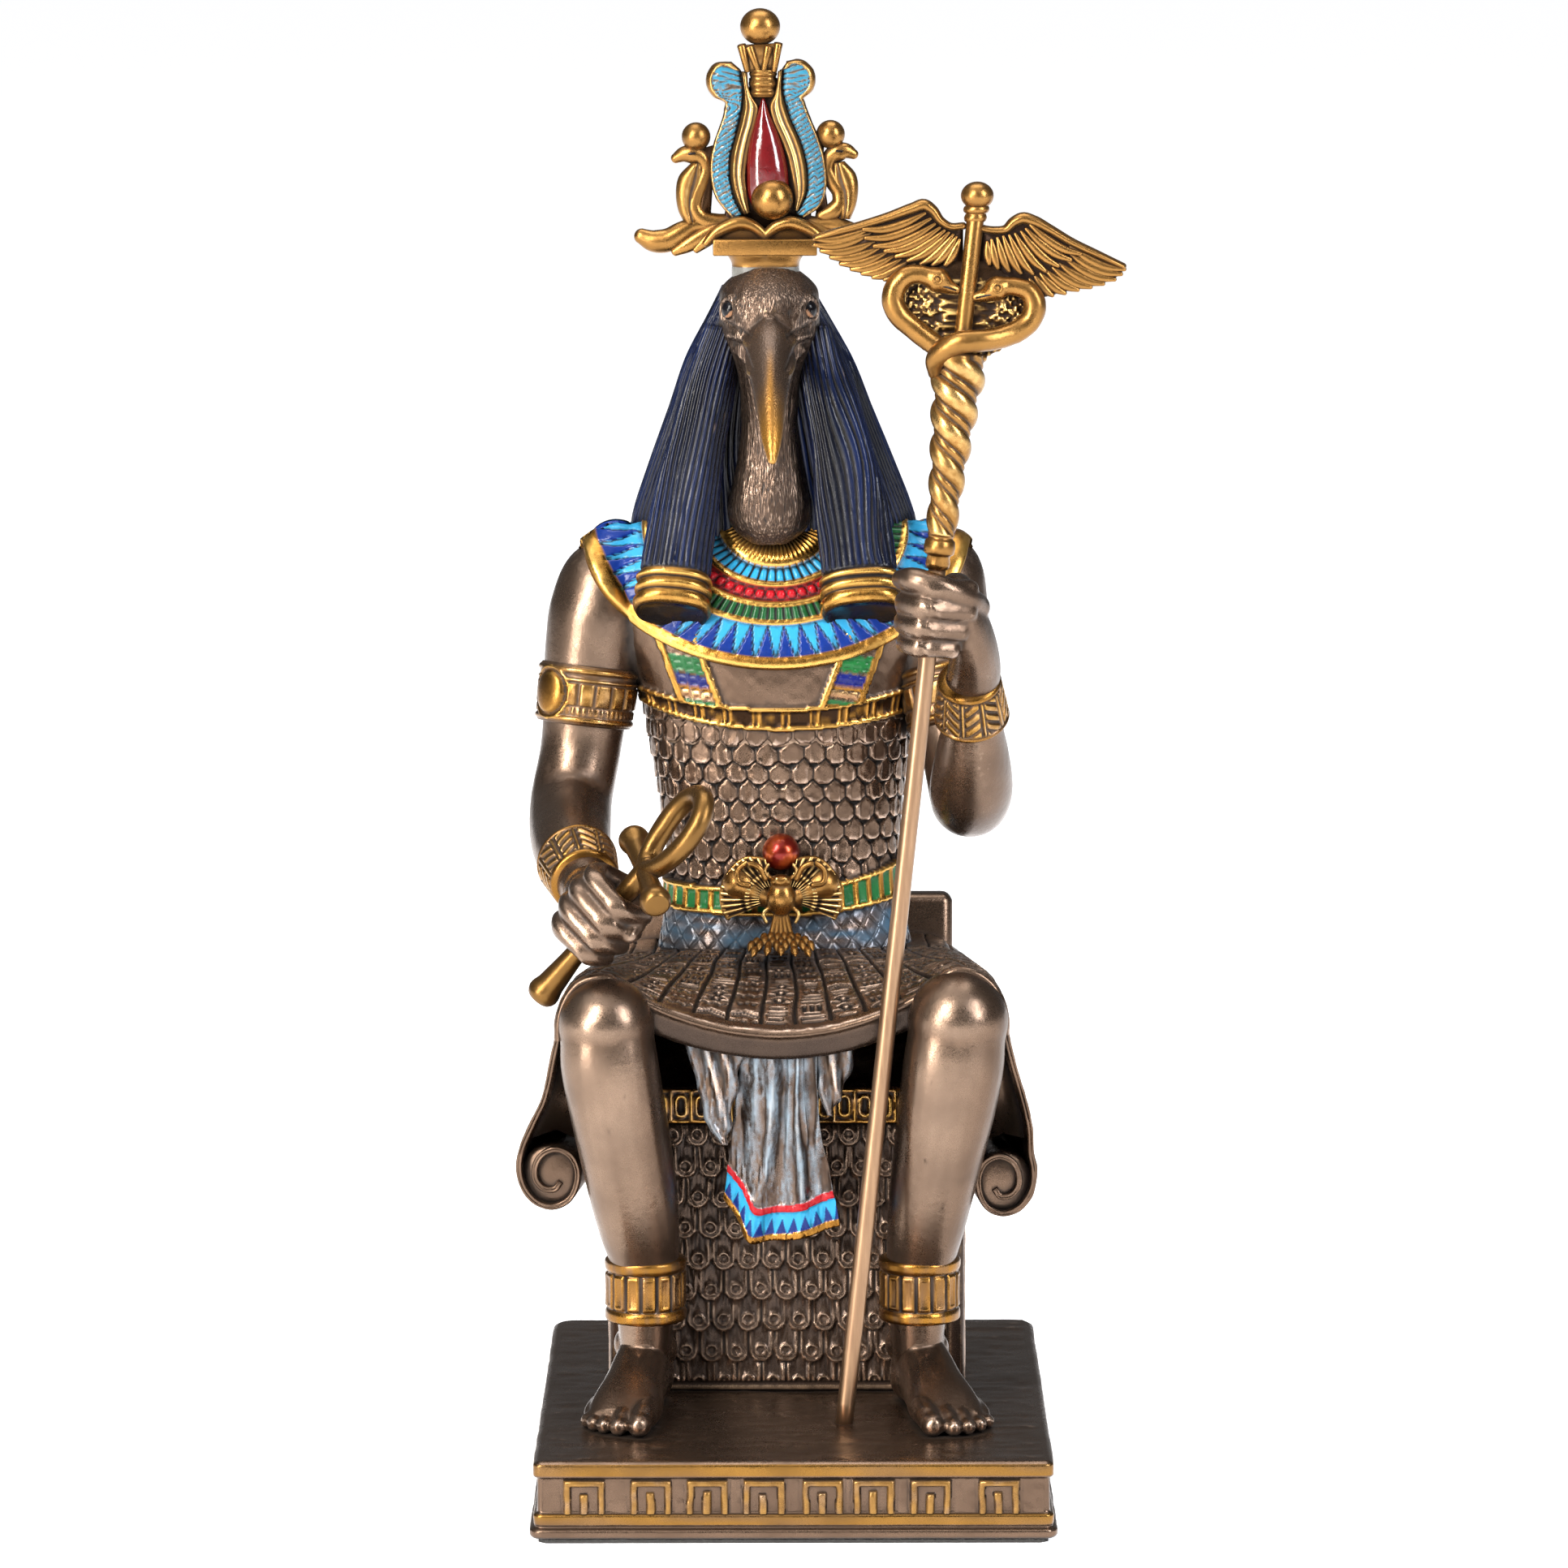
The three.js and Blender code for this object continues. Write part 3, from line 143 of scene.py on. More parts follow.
def cast_finish(name, base, wash, rub, metallic, roughness, bristles=0.0):
    """A cast surface: dark wash in its hollows, edges worn bright, and paint where the mesh carries it."""
    material, tree = new_material(name)
    place = add_node(tree, "TexCoord").outputs["Object"]
    relief = add_node(tree, "Attribute", {"attribute_name": "relief"}).outputs["Fac"]
    paint = add_node(tree, "Attribute", {"attribute_name": "paint"})
    gilt = add_node(tree, "Attribute", {"attribute_name": "gilt"}).outputs["Fac"]
    cover = paint.outputs["Alpha"]
    # Brush clouds are about 9 mm across, dabs 1.4 mm, and powder grain 0.25 mm, drawn coarse to show.
    clouds, dabs, grain = (
        add_node(tree, "TexNoise",
            inputs={"Vector": place, "Scale": 1000 / size, "Detail": detail}).outputs["Fac"]
        for size, detail in ((9, 3.0), (1.4, 4.0), (0.25, 2.0)))

    def blend(fac, a, b, kind="MIX"):
        return add_node(tree, "Mix", {"data_type": "RGBA", "blend_type": kind},
            {0: fac, 6: a, 7: b}).outputs[2]

    def ramp(value, low, high, start=0.0, end=1.0):
        return add_node(tree, "MapRange", inputs={
            "Value": value, "From Min": low, "From Max": high, "To Min": start, "To Max": end}).outputs[0]

    def sums(kind, a, b, c=0.0):
        return add_node(tree, "Math", {"operation": kind}, {0: a, 1: b, 2: c}).outputs[0]

    hollow = add_node(tree, "AmbientOcclusion", {"samples": 6}, {"Distance": 0.0022}).outputs["AO"]
    broken = sums("MULTIPLY_ADD", dabs, 0.7, -0.35)
    ragged = sums("ADD", relief, broken)
    lumps = sums("MULTIPLY_ADD", grain, 0.35, dabs)
    if bristles:
        drawn_up = add_node(tree, "Mapping", inputs={"Vector": place, "Scale": (1, 1, 0.13)}).outputs[0]
        lines = add_node(tree, "TexNoise",
            inputs={"Vector": drawn_up, "Scale": 1000 / 0.3, "Detail": 2.0}).outputs["Fac"]
        unpainted = sums("SUBTRACT", 1.0, cover)
        lines = sums("MULTIPLY", ramp(lines, 0.3, 0.7, -bristles, bristles), unpainted)
        ragged = sums("ADD", ragged, lines)
        lumps = sums("ADD", lumps, sums("MULTIPLY", lines, 2.5))
    recess = sums("MAXIMUM", ramp(ragged, -0.15, -0.9),
        ramp(sums("MULTIPLY_ADD", dabs, 0.16, hollow), 0.82, 0.42))
    edge = ramp(ragged, 0.25, 0.95)
    metal = blend(ramp(clouds, 0.3, 0.7), base, tuple(0.72 * c for c in base[:3]) + (1,))
    coat = blend(ramp(clouds, 0.25, 0.75, 0.2, 0.45), paint.outputs["Color"], (0.006, 0.006, 0.009, 1))
    coloured = blend(cover, metal, coat)
    lifted = blend(1.0, coat, (1.5, 1.5, 1.5, 1), "MULTIPLY")
    worn = blend(gilt, lifted, linear("#cda256"))
    bright = blend(cover, rub, worn)
    # Edges rubbed bright by the finish itself, over a colour that can carry the painted highlight laid on
    # bare limbs.
    rubbed_and_highlit = blend(sums("MULTIPLY", edge, 0.75), coloured, bright)
    colour = blend(sums("MULTIPLY", recess, 0.88), rubbed_and_highlit, wash)
    shine = add_node(tree, "Mix", {"data_type": "FLOAT"}, {
        0: cover, 2: metallic, 3: gilt}).outputs[0]
    shine = sums("MULTIPLY", shine, ramp(recess, 0, 1, 1.0, 0.45))
    dull = sums("MULTIPLY_ADD", recess, 0.28, roughness)
    dull = sums("MULTIPLY_ADD", sums("MULTIPLY", cover, sums("SUBTRACT", 1.0, gilt)), -0.11, dull)
    sheen = ramp(cover, 0, 1, 0.5, 0.18)
    dull = sums("ADD", dull, ramp(grain, 0.3, 0.7, -0.04, 0.06))
    dull = sums("ADD", dull, ramp(clouds, 0.3, 0.7, -0.05, 0.05))
    bump = add_node(tree, "Bump", inputs={"Height": lumps, "Strength": 0.25, "Distance": 0.0002})
    surface = add_node(tree, "BsdfPrincipled", inputs={
        "Base Color": colour, "Metallic": shine, "Roughness": dull, "Specular IOR Level": sheen,
        "Normal": bump.outputs[0]})
    add_node(tree, "OutputMaterial", inputs={"Surface": surface.outputs[0]})
    return material


# Cold-cast bronze: casting resin filled with bronze powder, washed dark and rubbed back, so it glints
# warm brown with near-black hollows and pinkish edges.
cold_cast_bronze = cast_finish(
    "cold_cast_bronze", linear("#635042"), linear("#0b0705"), linear("#dcc0ac"), 0.95, 0.29)


def noise(points, size, seed=0.0):
    """A smooth random field from -1 to 1 at points in mm, with lumps of the given size in mm."""
    p = np.asarray(points, float) / size + 91.7 + 13.1 * seed
    cell = np.floor(p).astype(np.int64)
    part = p - cell
    part = part * part * (3 - 2 * part)
    total = np.zeros(p.shape[:-1])
    for corner in np.ndindex(2, 2, 2):
        c = cell + corner
        mixed = (c[..., 0] * 73856093) ^ (c[..., 1] * 19349663) ^ (c[..., 2] * 83492791)
        mixed = ((mixed ^ (mixed >> 13)) * 1274126177) & 0x7FFFFFFF
        weight = np.prod(np.where(np.array(corner) == 1, part, 1 - part), axis=-1)
        total += (mixed / 0x3FFFFFFF - 1) * weight
    return total


def blur(field, across, along, closed=False):
    """Softens a grid of heights by a number of cells each way."""
    for axis, reach in ((1, across), (0, along)):
        if not reach:
            continue
        steps = range(-2 * reach, 2 * reach + 1)
        weights = [math.exp(-0.5 * (s / reach) ** 2) for s in steps]
        wrap = closed and axis == 1
        spread = [(0, 0), (0, 0)]
        spread[axis] = (2 * reach, 2 * reach)
        core = field[:, :-1] if wrap else field
        padded = np.pad(core, spread, mode="wrap" if wrap else "edge")
        size = core.shape[axis]
        soft = sum(
            w * np.take(padded, range(s + 2 * reach, s + 2 * reach + size), axis)
            for s, w in zip(steps, weights))
        soft = soft / sum(weights)
        field = np.concatenate([soft, soft[:, :1]], axis=1) if wrap else soft
    return field


def normals(points, closed=False):
    across = np.gradient(points, axis=1)
    if closed:
        across[:, 0] = across[:, -1] = (points[:, 1] - points[:, -2]) / 2
    along = np.gradient(points, axis=0)
    normal = np.cross(across, along)
    return normal / np.maximum(np.linalg.norm(normal, axis=-1, keepdims=True), 1e-9)


def grid_part(points, height=None, closed=False, paint=None, gilt=None, facing=None, reach=(3, 3),
        depth=0.25):
    """One skin over rows of points in mm, raised by a height, with its relief, paint and gilding kept on it.

    A closed skin joins its first column to its last. An open one may say which way it faces."""
    shape = points.shape[:2]
    height = np.zeros(shape) if height is None else height + np.zeros(shape)
    paint = np.zeros(shape + (4,)) if paint is None else paint + np.zeros(shape + (4,))
    gilt = np.zeros(shape) if gilt is None else gilt + np.zeros(shape)
    normal = normals(points, closed)
    away = points - points.mean(axis=1, keepdims=True) if closed else np.array(facing or (0, -1, 0))
    if np.sum(normal * away) < 0:
        points, height, paint, gilt, normal = (a[:, ::-1] for a in (points, height, paint, gilt, -normal))
    points = points + normal * height[..., None]
    relief = np.clip((height - blur(height, *reach, closed)) / depth, -1, 1)
    bm = bmesh.new()
    bmesh.ops.create_grid(bm, x_segments=shape[1] - 1, y_segments=shape[0] - 1, size=0.5)
    mesh = bpy.data.meshes.new("part")
    bm.to_mesh(mesh)
    bm.free()
    mesh.vertices.foreach_set("co", (points * MM).ravel())
    keep(mesh, relief, paint, gilt)
    return weld(placed(mesh))


def placed(mesh):
    part = bpy.data.objects.new("part", mesh)
    bpy.context.scene.collection.objects.link(part)
    return part


def keep(mesh, relief, paint=None, gilt=None):
    """Writes the three attributes that the cast finishes read."""
    count = len(mesh.vertices)
    fields = {
        "relief": ("FLOAT", "value", relief), "gilt": ("FLOAT", "value", gilt),
        "paint": ("FLOAT_COLOR", "color", paint)}
    for name, (kind, slot, values) in fields.items():
        width = 4 if kind == "FLOAT_COLOR" else 1
        values = np.zeros((count, width)) if values is None else np.asarray(values, float).reshape(-1, width)
        if len(values) != count:
            values = np.broadcast_to(values, (count, width))
        layer = mesh.attributes.get(name) or mesh.attributes.new(name, kind, "POINT")
        layer.data.foreach_set(slot, np.ascontiguousarray(values, dtype=np.float32).ravel())


def weld(part, cap=False, outward=False):
    """Closes the seams and poles of a part, and its open ends where asked."""
    bm = bmesh.new()
    bm.from_mesh(part.data)
    bmesh.ops.remove_doubles(bm, verts=bm.verts, dist=2e-6)
    if cap:
        bmesh.ops.holes_fill(bm, edges=[e for e in bm.edges if e.is_boundary], sides=0)
    if outward:
        bmesh.ops.recalc_face_normals(bm, faces=bm.faces)
    bm.to_mesh(part.data)
    bm.free()
    return part


def join_parts(parts):
    with bpy.context.temp_override(
            active_object=parts[0], object=parts[0], selected_objects=parts, selected_editable_objects=parts):
        bpy.ops.object.join()
    return parts[0]


def thinned(part, share):
    """Merges triangles where the surface is flattest, down to a share of them."""
    part.modifiers.new("thin", "DECIMATE").ratio = share
    with bpy.context.temp_override(active_object=part, object=part):
        bpy.ops.object.modifier_apply(modifier="thin")


def finished(name, part, material, slot, *nodes, share=1.0):
    """Names a piece, gives it its finish, hangs it under the root and hides the solids that it stands for."""
    part.name = part.data.name = name
    if share < 1.0:
        thinned(part, share)
    part.data.materials.clear()
    part.data.materials.append(material)
    part.data.polygons.foreach_set("material_index", [0] * len(part.data.polygons))
    part.data.shade_smooth()
    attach(part, "root")
    if nodes:
        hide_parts(*nodes)


def flood(shape, code, cover=1.0):
    """One paint over a whole grid of points, as opaque as cover says."""
    paint = np.zeros(shape + (4,))
    paint[:] = linear(code)
    paint[..., 3] = cover
    return paint


def soften(corners, cut, steps=4):
    """Rounds the inner corners of an open line of points, starting each bend a short way off."""
    corners = np.array(corners, float)
    line = [corners[0]]
    for before, here, after in zip(corners, corners[1:], corners[2:]):
        start = here + (before - here) * min(0.45, cut / np.linalg.norm(before - here))
        end = here + (after - here) * min(0.45, cut / np.linalg.norm(after - here))
        for t in np.linspace(0, 1, steps):
            line.append(start * (1 - t) ** 2 + here * 2 * t * (1 - t) + end * t * t)
    line.append(corners[-1])
    return np.array(line)


def plinth_outline():
    """Points and outward directions around the block, starting at the front's left end."""
    half_w, half_d = PLINTH_WIDTH / 2, PLINTH_DEPTH / 2
    points, outward = [], []
    corners = [(1, -1, FRONT_CORNER), (1, 1, BACK_CORNER), (-1, 1, BACK_CORNER), (-1, -1, FRONT_CORNER)]
    starts = [-0.5, 0.0, 0.5, 1.0]
    last = np.array([-half_w + FRONT_CORNER, -half_d])
    for (sx, sy, radius), turn in zip(corners, starts):
        hub = np.array([sx * (half_w - radius), sy * (half_d - radius)])
        angles = np.pi * (turn + np.linspace(0, 0.5, 7))
        arc = hub + radius * np.stack([np.cos(angles), np.sin(angles)], 1)
        count = int(np.linalg.norm(arc[0] - last) / 1.2)
        for t in np.arange(count) / count:
            points.append(last + (arc[0] - last) * t)
            outward.append([math.cos(angles[0]), math.sin(angles[0])])
        points.extend(arc[:-1])
        outward.extend(np.stack([np.cos(angles), np.sin(angles)], 1)[:-1])
        last = arc[-1]
    return np.array(points + points[:1]), np.array(outward + outward[:1])


def plinth_body():
    line = soften([
        (1.2, 0.9), (-0.1, 0.9), (-0.7, 1.4), (-0.7, 2.6), (0.4, 3.0), (0.1, 3.5), (0.0, 5.3), (0.8, 5.7),
        (0.8, 12.1), (0.0, 12.5), (0.0, 14.8), (1.0, PLINTH_TOP), (2.0, PLINTH_TOP)], 0.35)
    outline, outward = plinth_outline()
    inset, height = line[:, 0][:, None], line[:, 1][:, None]
    flat = np.zeros((len(line), len(outline), 3))
    flat[..., :2] = outline[None] - inset[..., None] * outward[None]
    flat[..., 2] = height
    wobble = 0.1 * noise(flat, 7.0) + 0.05 * noise(flat, 2.2, 1)
    flat[..., :2] += outward[None] * wobble[..., None]
    banded = ((height > 12.7) & (height < 14.9)) | ((height > 3.6) & (height < 5.5))
    front = np.clip(-flat[..., 1] - 56, 0, 1)
    worn = np.clip(0.85 + 0.5 * noise(flat, (9, 9, 1.2), 4), 0, 1)
    return grid_part(flat, closed=True, paint=flood(flat.shape[:2], GOLD, banded * front * worn), gilt=1.0)


def plinth_top():
    half_w, half_d = PLINTH_WIDTH / 2 - 1.1, PLINTH_DEPTH / 2 - 1.1
    x, y = np.meshgrid(np.linspace(-half_w, half_w, 117), np.linspace(-half_d, half_d, 153))
    radius = np.where(y > 0, BACK_CORNER - 1.1, 0.8)
    a, b = np.abs(x) - (half_w - radius), np.abs(y) - (half_d - radius)
    pull = np.where((a > 0) & (b > 0), np.maximum(a, b) / np.maximum(np.hypot(a, b), 1e-6), 1)
    a, b = np.where(a > 0, a * pull, a), np.where(b > 0, b * pull, b)
    x, y = np.sign(x) * (half_w - radius + a), np.sign(y) * (half_d - radius + b)
    z = np.full_like(x, PLINTH_TOP)
    points = np.stack([x, y, z], -1)
    ripple = 0.16 * noise(points, (5.5, 1.7, 9), 2) + 0.14 * noise(points, (11, 4.2, 9), 3)
    ripple = ripple + 0.1 * noise(points, 1.7, 16)
    rim = np.minimum(half_w - np.abs(x), half_d - np.abs(y))
    ripple = ripple * np.clip(rim / 2, 0, 1) - 0.12 * np.clip(1 - rim / 0.8, 0, 1)
    return grid_part(points, ripple, reach=(3, 2), depth=0.35)


def box_gap(x, y, x0, x1, y0, y1):
    """How far a point lies outside a rectangle; negative inside it."""
    return np.maximum(np.abs(x - (x0 + x1) / 2) - (x1 - x0) / 2, np.abs(y - (y0 + y1) / 2) - (y1 - y0) / 2)


GATE_CENTRES = (-38.6, -26.3, -15.9, -5.4, 5.4, 14.9, 25.3, 38.0)


def plinth_frieze():
    """The recessed front: eight gateways in low relief, each with a short post standing inside."""
    x, z = np.meshgrid(np.arange(-46.2, 46.3, 0.3), np.arange(5.6, 12.2, 0.22))
    y = np.full_like(x, -PLINTH_DEPTH / 2 + 0.72)
    points = np.stack([x, y, z], -1)
    shift = 0.25 * noise(points, (4, 9, 2.5), 5)
    lines = np.zeros_like(x)

    def bar(x0, x1, z0, z1):
        return np.clip(0.5 - box_gap(x + shift, z, x0, x1, z0, z1) / 0.35, 0, 1)

    for i, centre in enumerate(GATE_CENTRES):
        left, right_side = centre - 3.7, centre + 3.7
        for box in (
                (left, right_side, 10.7, 11.8), (left, left + 1.15, 5.4, 11.4),
                (right_side - 1.15, right_side, 5.4, 11.4),
                (centre - 0.8, centre + 0.6, 5.4, 9.2 + 0.3 * (i % 3))):
            lines = np.maximum(lines, bar(*box))
    inside = sum(np.clip(1 - (np.abs(x - centre) - 3.9) / 0.6, 0, 1) for centre in GATE_CENTRES)
    height = 0.75 * lines - 0.25 * inside * (lines < 0.1) + 0.08 * noise(points, 1.3, 6)
    gold, metal = flood(x.shape, DARK_WASH), np.where(lines > 0.3, 0.45, 0.5)
    gold[lines > 0.3] = linear(GOLD_PALE)
    worn = np.clip(lines * 1.1 + 0.8 * noise(points, (2.0, 9, 1.6), 7), 0, 1)
    gold[..., 3] = np.where(lines > 0.3, worn, 0.75 * np.clip(inside, 0, 1))
    return grid_part(points, height, paint=gold, gilt=metal, reach=(4, 4), depth=1.6)


def two_tone(name, size, detail, low, high, shader, stretch=(1, 1, 1), span=(0, 1), bump=None):
    """A plain finish that drifts between two colours in patches of the given size in mm."""
    material, tree = new_material(name)
    place = add_node(tree, "TexCoord").outputs["Object"]
    place = add_node(tree, "Mapping", inputs={"Vector": place, "Scale": stretch}).outputs[0]
    drift = add_node(tree, "TexNoise",
        inputs={"Vector": place, "Scale": 1000 / size, "Detail": detail}).outputs["Fac"]
    share = add_node(tree, "MapRange",
        inputs={"Value": drift, "From Min": span[0], "From Max": span[1]}).outputs[0]
    tone = add_node(tree, "Mix", {"data_type": "RGBA"},
        {0: share, 6: linear(low), 7: linear(high)}).outputs[2]
    if bump:
        raised = add_node(tree, "Bump", inputs={"Height": drift, "Strength": bump[0], "Distance": bump[1]})
        shader = {**shader, "Normal": raised.outputs[0]}
    surface = add_node(tree, "BsdfPrincipled", inputs={"Base Color": tone, **shader})
    add_node(tree, "OutputMaterial", inputs={"Surface": surface.outputs[0]})
    return material


finished("plinth", join_parts([plinth_body(), plinth_top(), plinth_frieze()]), cold_cast_bronze,
    "bronze_resin", "plinth", share=0.5)

# Black felt, matt with a short stray nap, glued flat under the plinth.
black_felt = two_tone(
    "black_felt", 0.6, 5.0, "#0f0e0e", "#3a3835", {"Roughness": 0.97, "Sheen Weight": 0.3},
    bump=(0.8, 0.0003))
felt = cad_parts["felt_pad"]
felt.data.materials.clear()
felt.data.materials.append(black_felt)


# Block throne. Part of the one casting: a box seat whose front is carved with hanging scales, a gilt
# slotted band under the seat, framed sides and a low plain back with rounded corners.
THRONE_LEFT, THRONE_RIGHT, THRONE_FRONT, THRONE_BACK = -35.0, 32.6, -3.4, 51.0
FIGURE_FLOOR, SEAT_TOP, BACKREST_TOP = 15.2, 75.0, 104.5
SCALE_WIDTH, SCALE_RISE = 4.8, 6.0


def cast_on(name, part, share=1.0, finish=cold_cast_bronze):
    """A piece of the seated figure, which is one casting."""
    finished(name, part, finish, "bronze_resin", "seated_figure", share=share)


def unit(v):
    v = np.asarray(v, float)
    return v / np.linalg.norm(v, axis=-1, keepdims=True)


def step(x, low, high):
    """A smooth climb from 0 at low to 1 at high."""
    t = np.clip((np.asarray(x, float) - low) / (high - low), 0, 1)
    return t * t * (3 - 2 * t)


def lay(paint, gilt, mask, code, metal=0.0):
    paint[mask] = linear(code)
    gilt[mask] = metal


def rounded_block(low, high, radius, steps=3):
    bm = bmesh.new()
    bmesh.ops.create_cube(bm, size=1.0)
    low, high = Vector(low), Vector(high)
    bmesh.ops.scale(bm, vec=(high - low) * MM, verts=bm.verts)
    bmesh.ops.translate(bm, vec=(high + low) / 2 * MM, verts=bm.verts)
    bmesh.ops.bevel(
        bm, geom=bm.edges[:], offset=radius * MM, segments=steps, profile=0.5, affect="EDGES", material=-1)
    mesh = bpy.data.meshes.new("part")
    bm.to_mesh(mesh)
    bm.free()
    keep(mesh, None)
    return placed(mesh)


def panel(corner, right, up, cell, carve, depth=0.25):
    """A flat carved face. carve gives height, paint and gilding at millimetres across and up it."""
    width, height = np.linalg.norm(right), np.linalg.norm(up)
    a, b = np.meshgrid(np.linspace(0, width, int(width / cell) + 1),
        np.linspace(0, height, int(height / cell) + 1))
    points = np.array(corner, float) + a[..., None] * unit(right) + b[..., None] * unit(up)
    relief, paint, gilt = carve(a, b, points)
    edge = np.minimum(np.minimum(a, width - a), np.minimum(b, height - b))
    relief = relief - 0.4 * (1 - step(edge, 0, 0.5))
    facing = tuple(np.cross(right, up))
    return grid_part(points, relief, paint=paint, gilt=gilt, facing=facing, reach=(2, 2), depth=depth)


def hanging_scales(a, b, points):
    """Rows of round-ended scales with a raised rim, combed faces and a ring and dot near the tip."""
    a = a + 0.25 * noise(points, 6, 8)
    b = b + 0.25 * noise(points, 7, 9)
    row = np.floor(b / SCALE_RISE)
    y = b - row * SCALE_RISE
    x = ((a / SCALE_WIDTH + 0.5 * (row % 2)) % 1 - 0.5) * SCALE_WIDTH
    half = SCALE_WIDTH / 2
    outside = (y < half) & (np.hypot(x, y - half) > half)
    y = np.where(outside, y + SCALE_RISE, y)
    x = np.where(outside, ((a / SCALE_WIDTH + 0.5 * ((row - 1) % 2)) % 1 - 0.5) * SCALE_WIDTH, x)
    inset = half - np.where(y > half, np.abs(x), np.hypot(x, y - half))
    rim = step(inset, 0.05, 0.3) * (1 - step(inset, 0.65, 0.95))
    ring = np.clip(1.3 - np.abs(np.hypot(x, y - 2.4) - 1.05) / 0.32, 0, 1)
    dot = np.clip(1.2 - np.hypot(x, y - 2.4) / 0.42, 0, 1)
    comb = 0.5 + 0.5 * np.cos(2 * np.pi * x / 0.78)
    combed = step(y, 3.4, 4.0) * step(inset, 0.8, 1.1) * comb
    height = 0.5 * rim + 0.6 * ring + 0.5 * dot + 0.22 * combed + 0.45 * (1 - y / 11) - 0.3 * (inset < 0.12)
    return height + 0.1 * noise(points, 1.1, 10)


def throne_front(a, b, points):
    height = hanging_scales(a, b, points)
    wide = THRONE_RIGHT - THRONE_LEFT
    post = np.minimum(a, wide - a)
    height = np.where(post < 3.6, 0.45 * step(post, 2.0, 2.3) * (1 - step(post, 3.2, 3.5)) + 0.25, height)
    height = np.where(b < 2.2, 0.5 * step(b, 0.4, 0.8) * (1 - step(b, 1.6, 2.0)), height)
    cover = np.clip(0.9 - 0.7 * height + 0.2 * noise(points, 1.5, 15), 0.05, 0.85)
    return height, flood(a.shape, "#20160f", cover), 0.45


def throne_side(a, b, points):
    """A plain field in a double frame, with the small inset square of a block throne at the lower back."""
    wide, tall = a.max(), b.max()
    edge = np.minimum(np.minimum(a, wide - a), np.minimum(b, tall - b))
    frame_line = (step(edge, 1.2, 1.5) * (1 - step(edge, 2.2, 2.5))
        + step(edge, 3.2, 3.5) * (1 - step(edge, 4.0, 4.3)))
    square = -box_gap(a, b, wide - 23, wide - 5.5, 5.5, 23)
    cut = (step(square, 0, 0.3) * (1 - step(square, 0.9, 1.2))
        + step(square, 1.9, 2.2) * (1 - step(square, 2.7, 3.0)))
    scales = hanging_scales(a * 0.7, b * 0.7, points)
    field = np.where((edge > 4.6) & (square < -0.4), 0.6 * scales - 0.2, 0.0)
    return 0.4 * frame_line + 0.4 * cut + field + 0.07 * noise(points, 2.0, 11), None, None


def throne_back(a, b, points):
    edge = np.minimum(np.minimum(a, a.max() - a), np.minimum(b, b.max() - b))
    frame_line = step(edge, 2.0, 2.4) * (1 - step(edge, 3.4, 3.8))
    return 0.4 * frame_line + 0.1 * noise(points, 3.0, 12), None, None


def slotted_band(a, b, points):
    """The gilt band under the seat: upright links with a long slot, between two rails."""
    pitch = 3.9
    x = (a / pitch % 1 - 0.5) * pitch
    link = np.abs(np.hypot(x, np.maximum(np.abs(b - 3.3) - 0.95, 0)) - 1.0) - 0.1
    link = np.clip(1.2 - link / 0.42, 0, 1)
    bar = np.clip(1.3 - (pitch / 2 - np.abs(x)) / 0.4, 0, 1)
    rail = np.clip(1.4 - np.minimum(b, 6.6 - b) / 0.6, 0, 1)
    raised = np.maximum(np.maximum(link, bar), rail)
    cover = np.clip(raised * 1.25 - 0.15 + 0.75 * noise(points, 1.3, 13), 0, 1)
    return 0.7 * raised + 0.12 * noise(points, 1.0, 14), flood(a.shape, "#a07132", cover), 1.0


throne = join_parts([
    rounded_block((THRONE_LEFT, THRONE_FRONT, FIGURE_FLOOR), (THRONE_RIGHT, THRONE_BACK, SEAT_TOP), 0.7),
    rounded_block((THRONE_LEFT + 1, THRONE_BACK - 6.5, SEAT_TOP - 6),
        (THRONE_RIGHT - 1, THRONE_BACK, BACKREST_TOP), 2.2, 5),
    rounded_block(
        (THRONE_LEFT - 0.4, THRONE_FRONT - 0.6, SEAT_TOP - 7),
        (THRONE_RIGHT + 0.4, THRONE_BACK - 4, SEAT_TOP - 0.4), 0.4),
    panel((THRONE_LEFT, THRONE_FRONT - 0.1, FIGURE_FLOOR), (67.6, 0, 0), (0, 0, 52.6), 0.36, throne_front,
        0.6),
    panel((THRONE_LEFT, THRONE_FRONT - 0.75, SEAT_TOP - 7), (67.6, 0, 0), (0, 0, 6.6), 0.3, slotted_band),
    panel((THRONE_LEFT - 0.1, THRONE_BACK, FIGURE_FLOOR), (0, -54.4, 0), (0, 0, 52.4), 0.6, throne_side),
    panel((THRONE_RIGHT + 0.1, THRONE_FRONT, FIGURE_FLOOR), (0, 54.4, 0), (0, 0, 52.4), 0.6, throne_side),
    panel((THRONE_RIGHT - 1.6, THRONE_BACK + 0.1, FIGURE_FLOOR + 1), (-64.4, 0, 0), (0, 0, 86), 1.0,
        throne_back),
])
cast_on("throne", throne, 0.4)


# Legs. Bare shins and feet of the same casting, smooth, with a painted highlight on the side towards the
# lights, each with a ribbed gilt anklet cast on; the toes have nails and the arch shows its tendons.
def through(at, knots, values):
    """Values along a smooth curve through the knots."""
    knots, values = np.asarray(knots, float), np.asarray(values, float)
    slopes = np.gradient(values, knots, axis=0)
    at = np.clip(np.asarray(at, float), knots[0], knots[-1])
    i = np.clip(np.searchsorted(knots, at, "right") - 1, 0, len(knots) - 2)
    wide = knots[i + 1] - knots[i]
    t = (at - knots[i]) / wide
    if values.ndim > 1:
        t, wide = t[..., None], wide[..., None]
    return (values[i] * (1 + 2 * t) * (1 - t) ** 2 + slopes[i] * wide * t * (1 - t) ** 2
            + values[i + 1] * t * t * (3 - 2 * t) + slopes[i + 1] * wide * t * t * (t - 1))


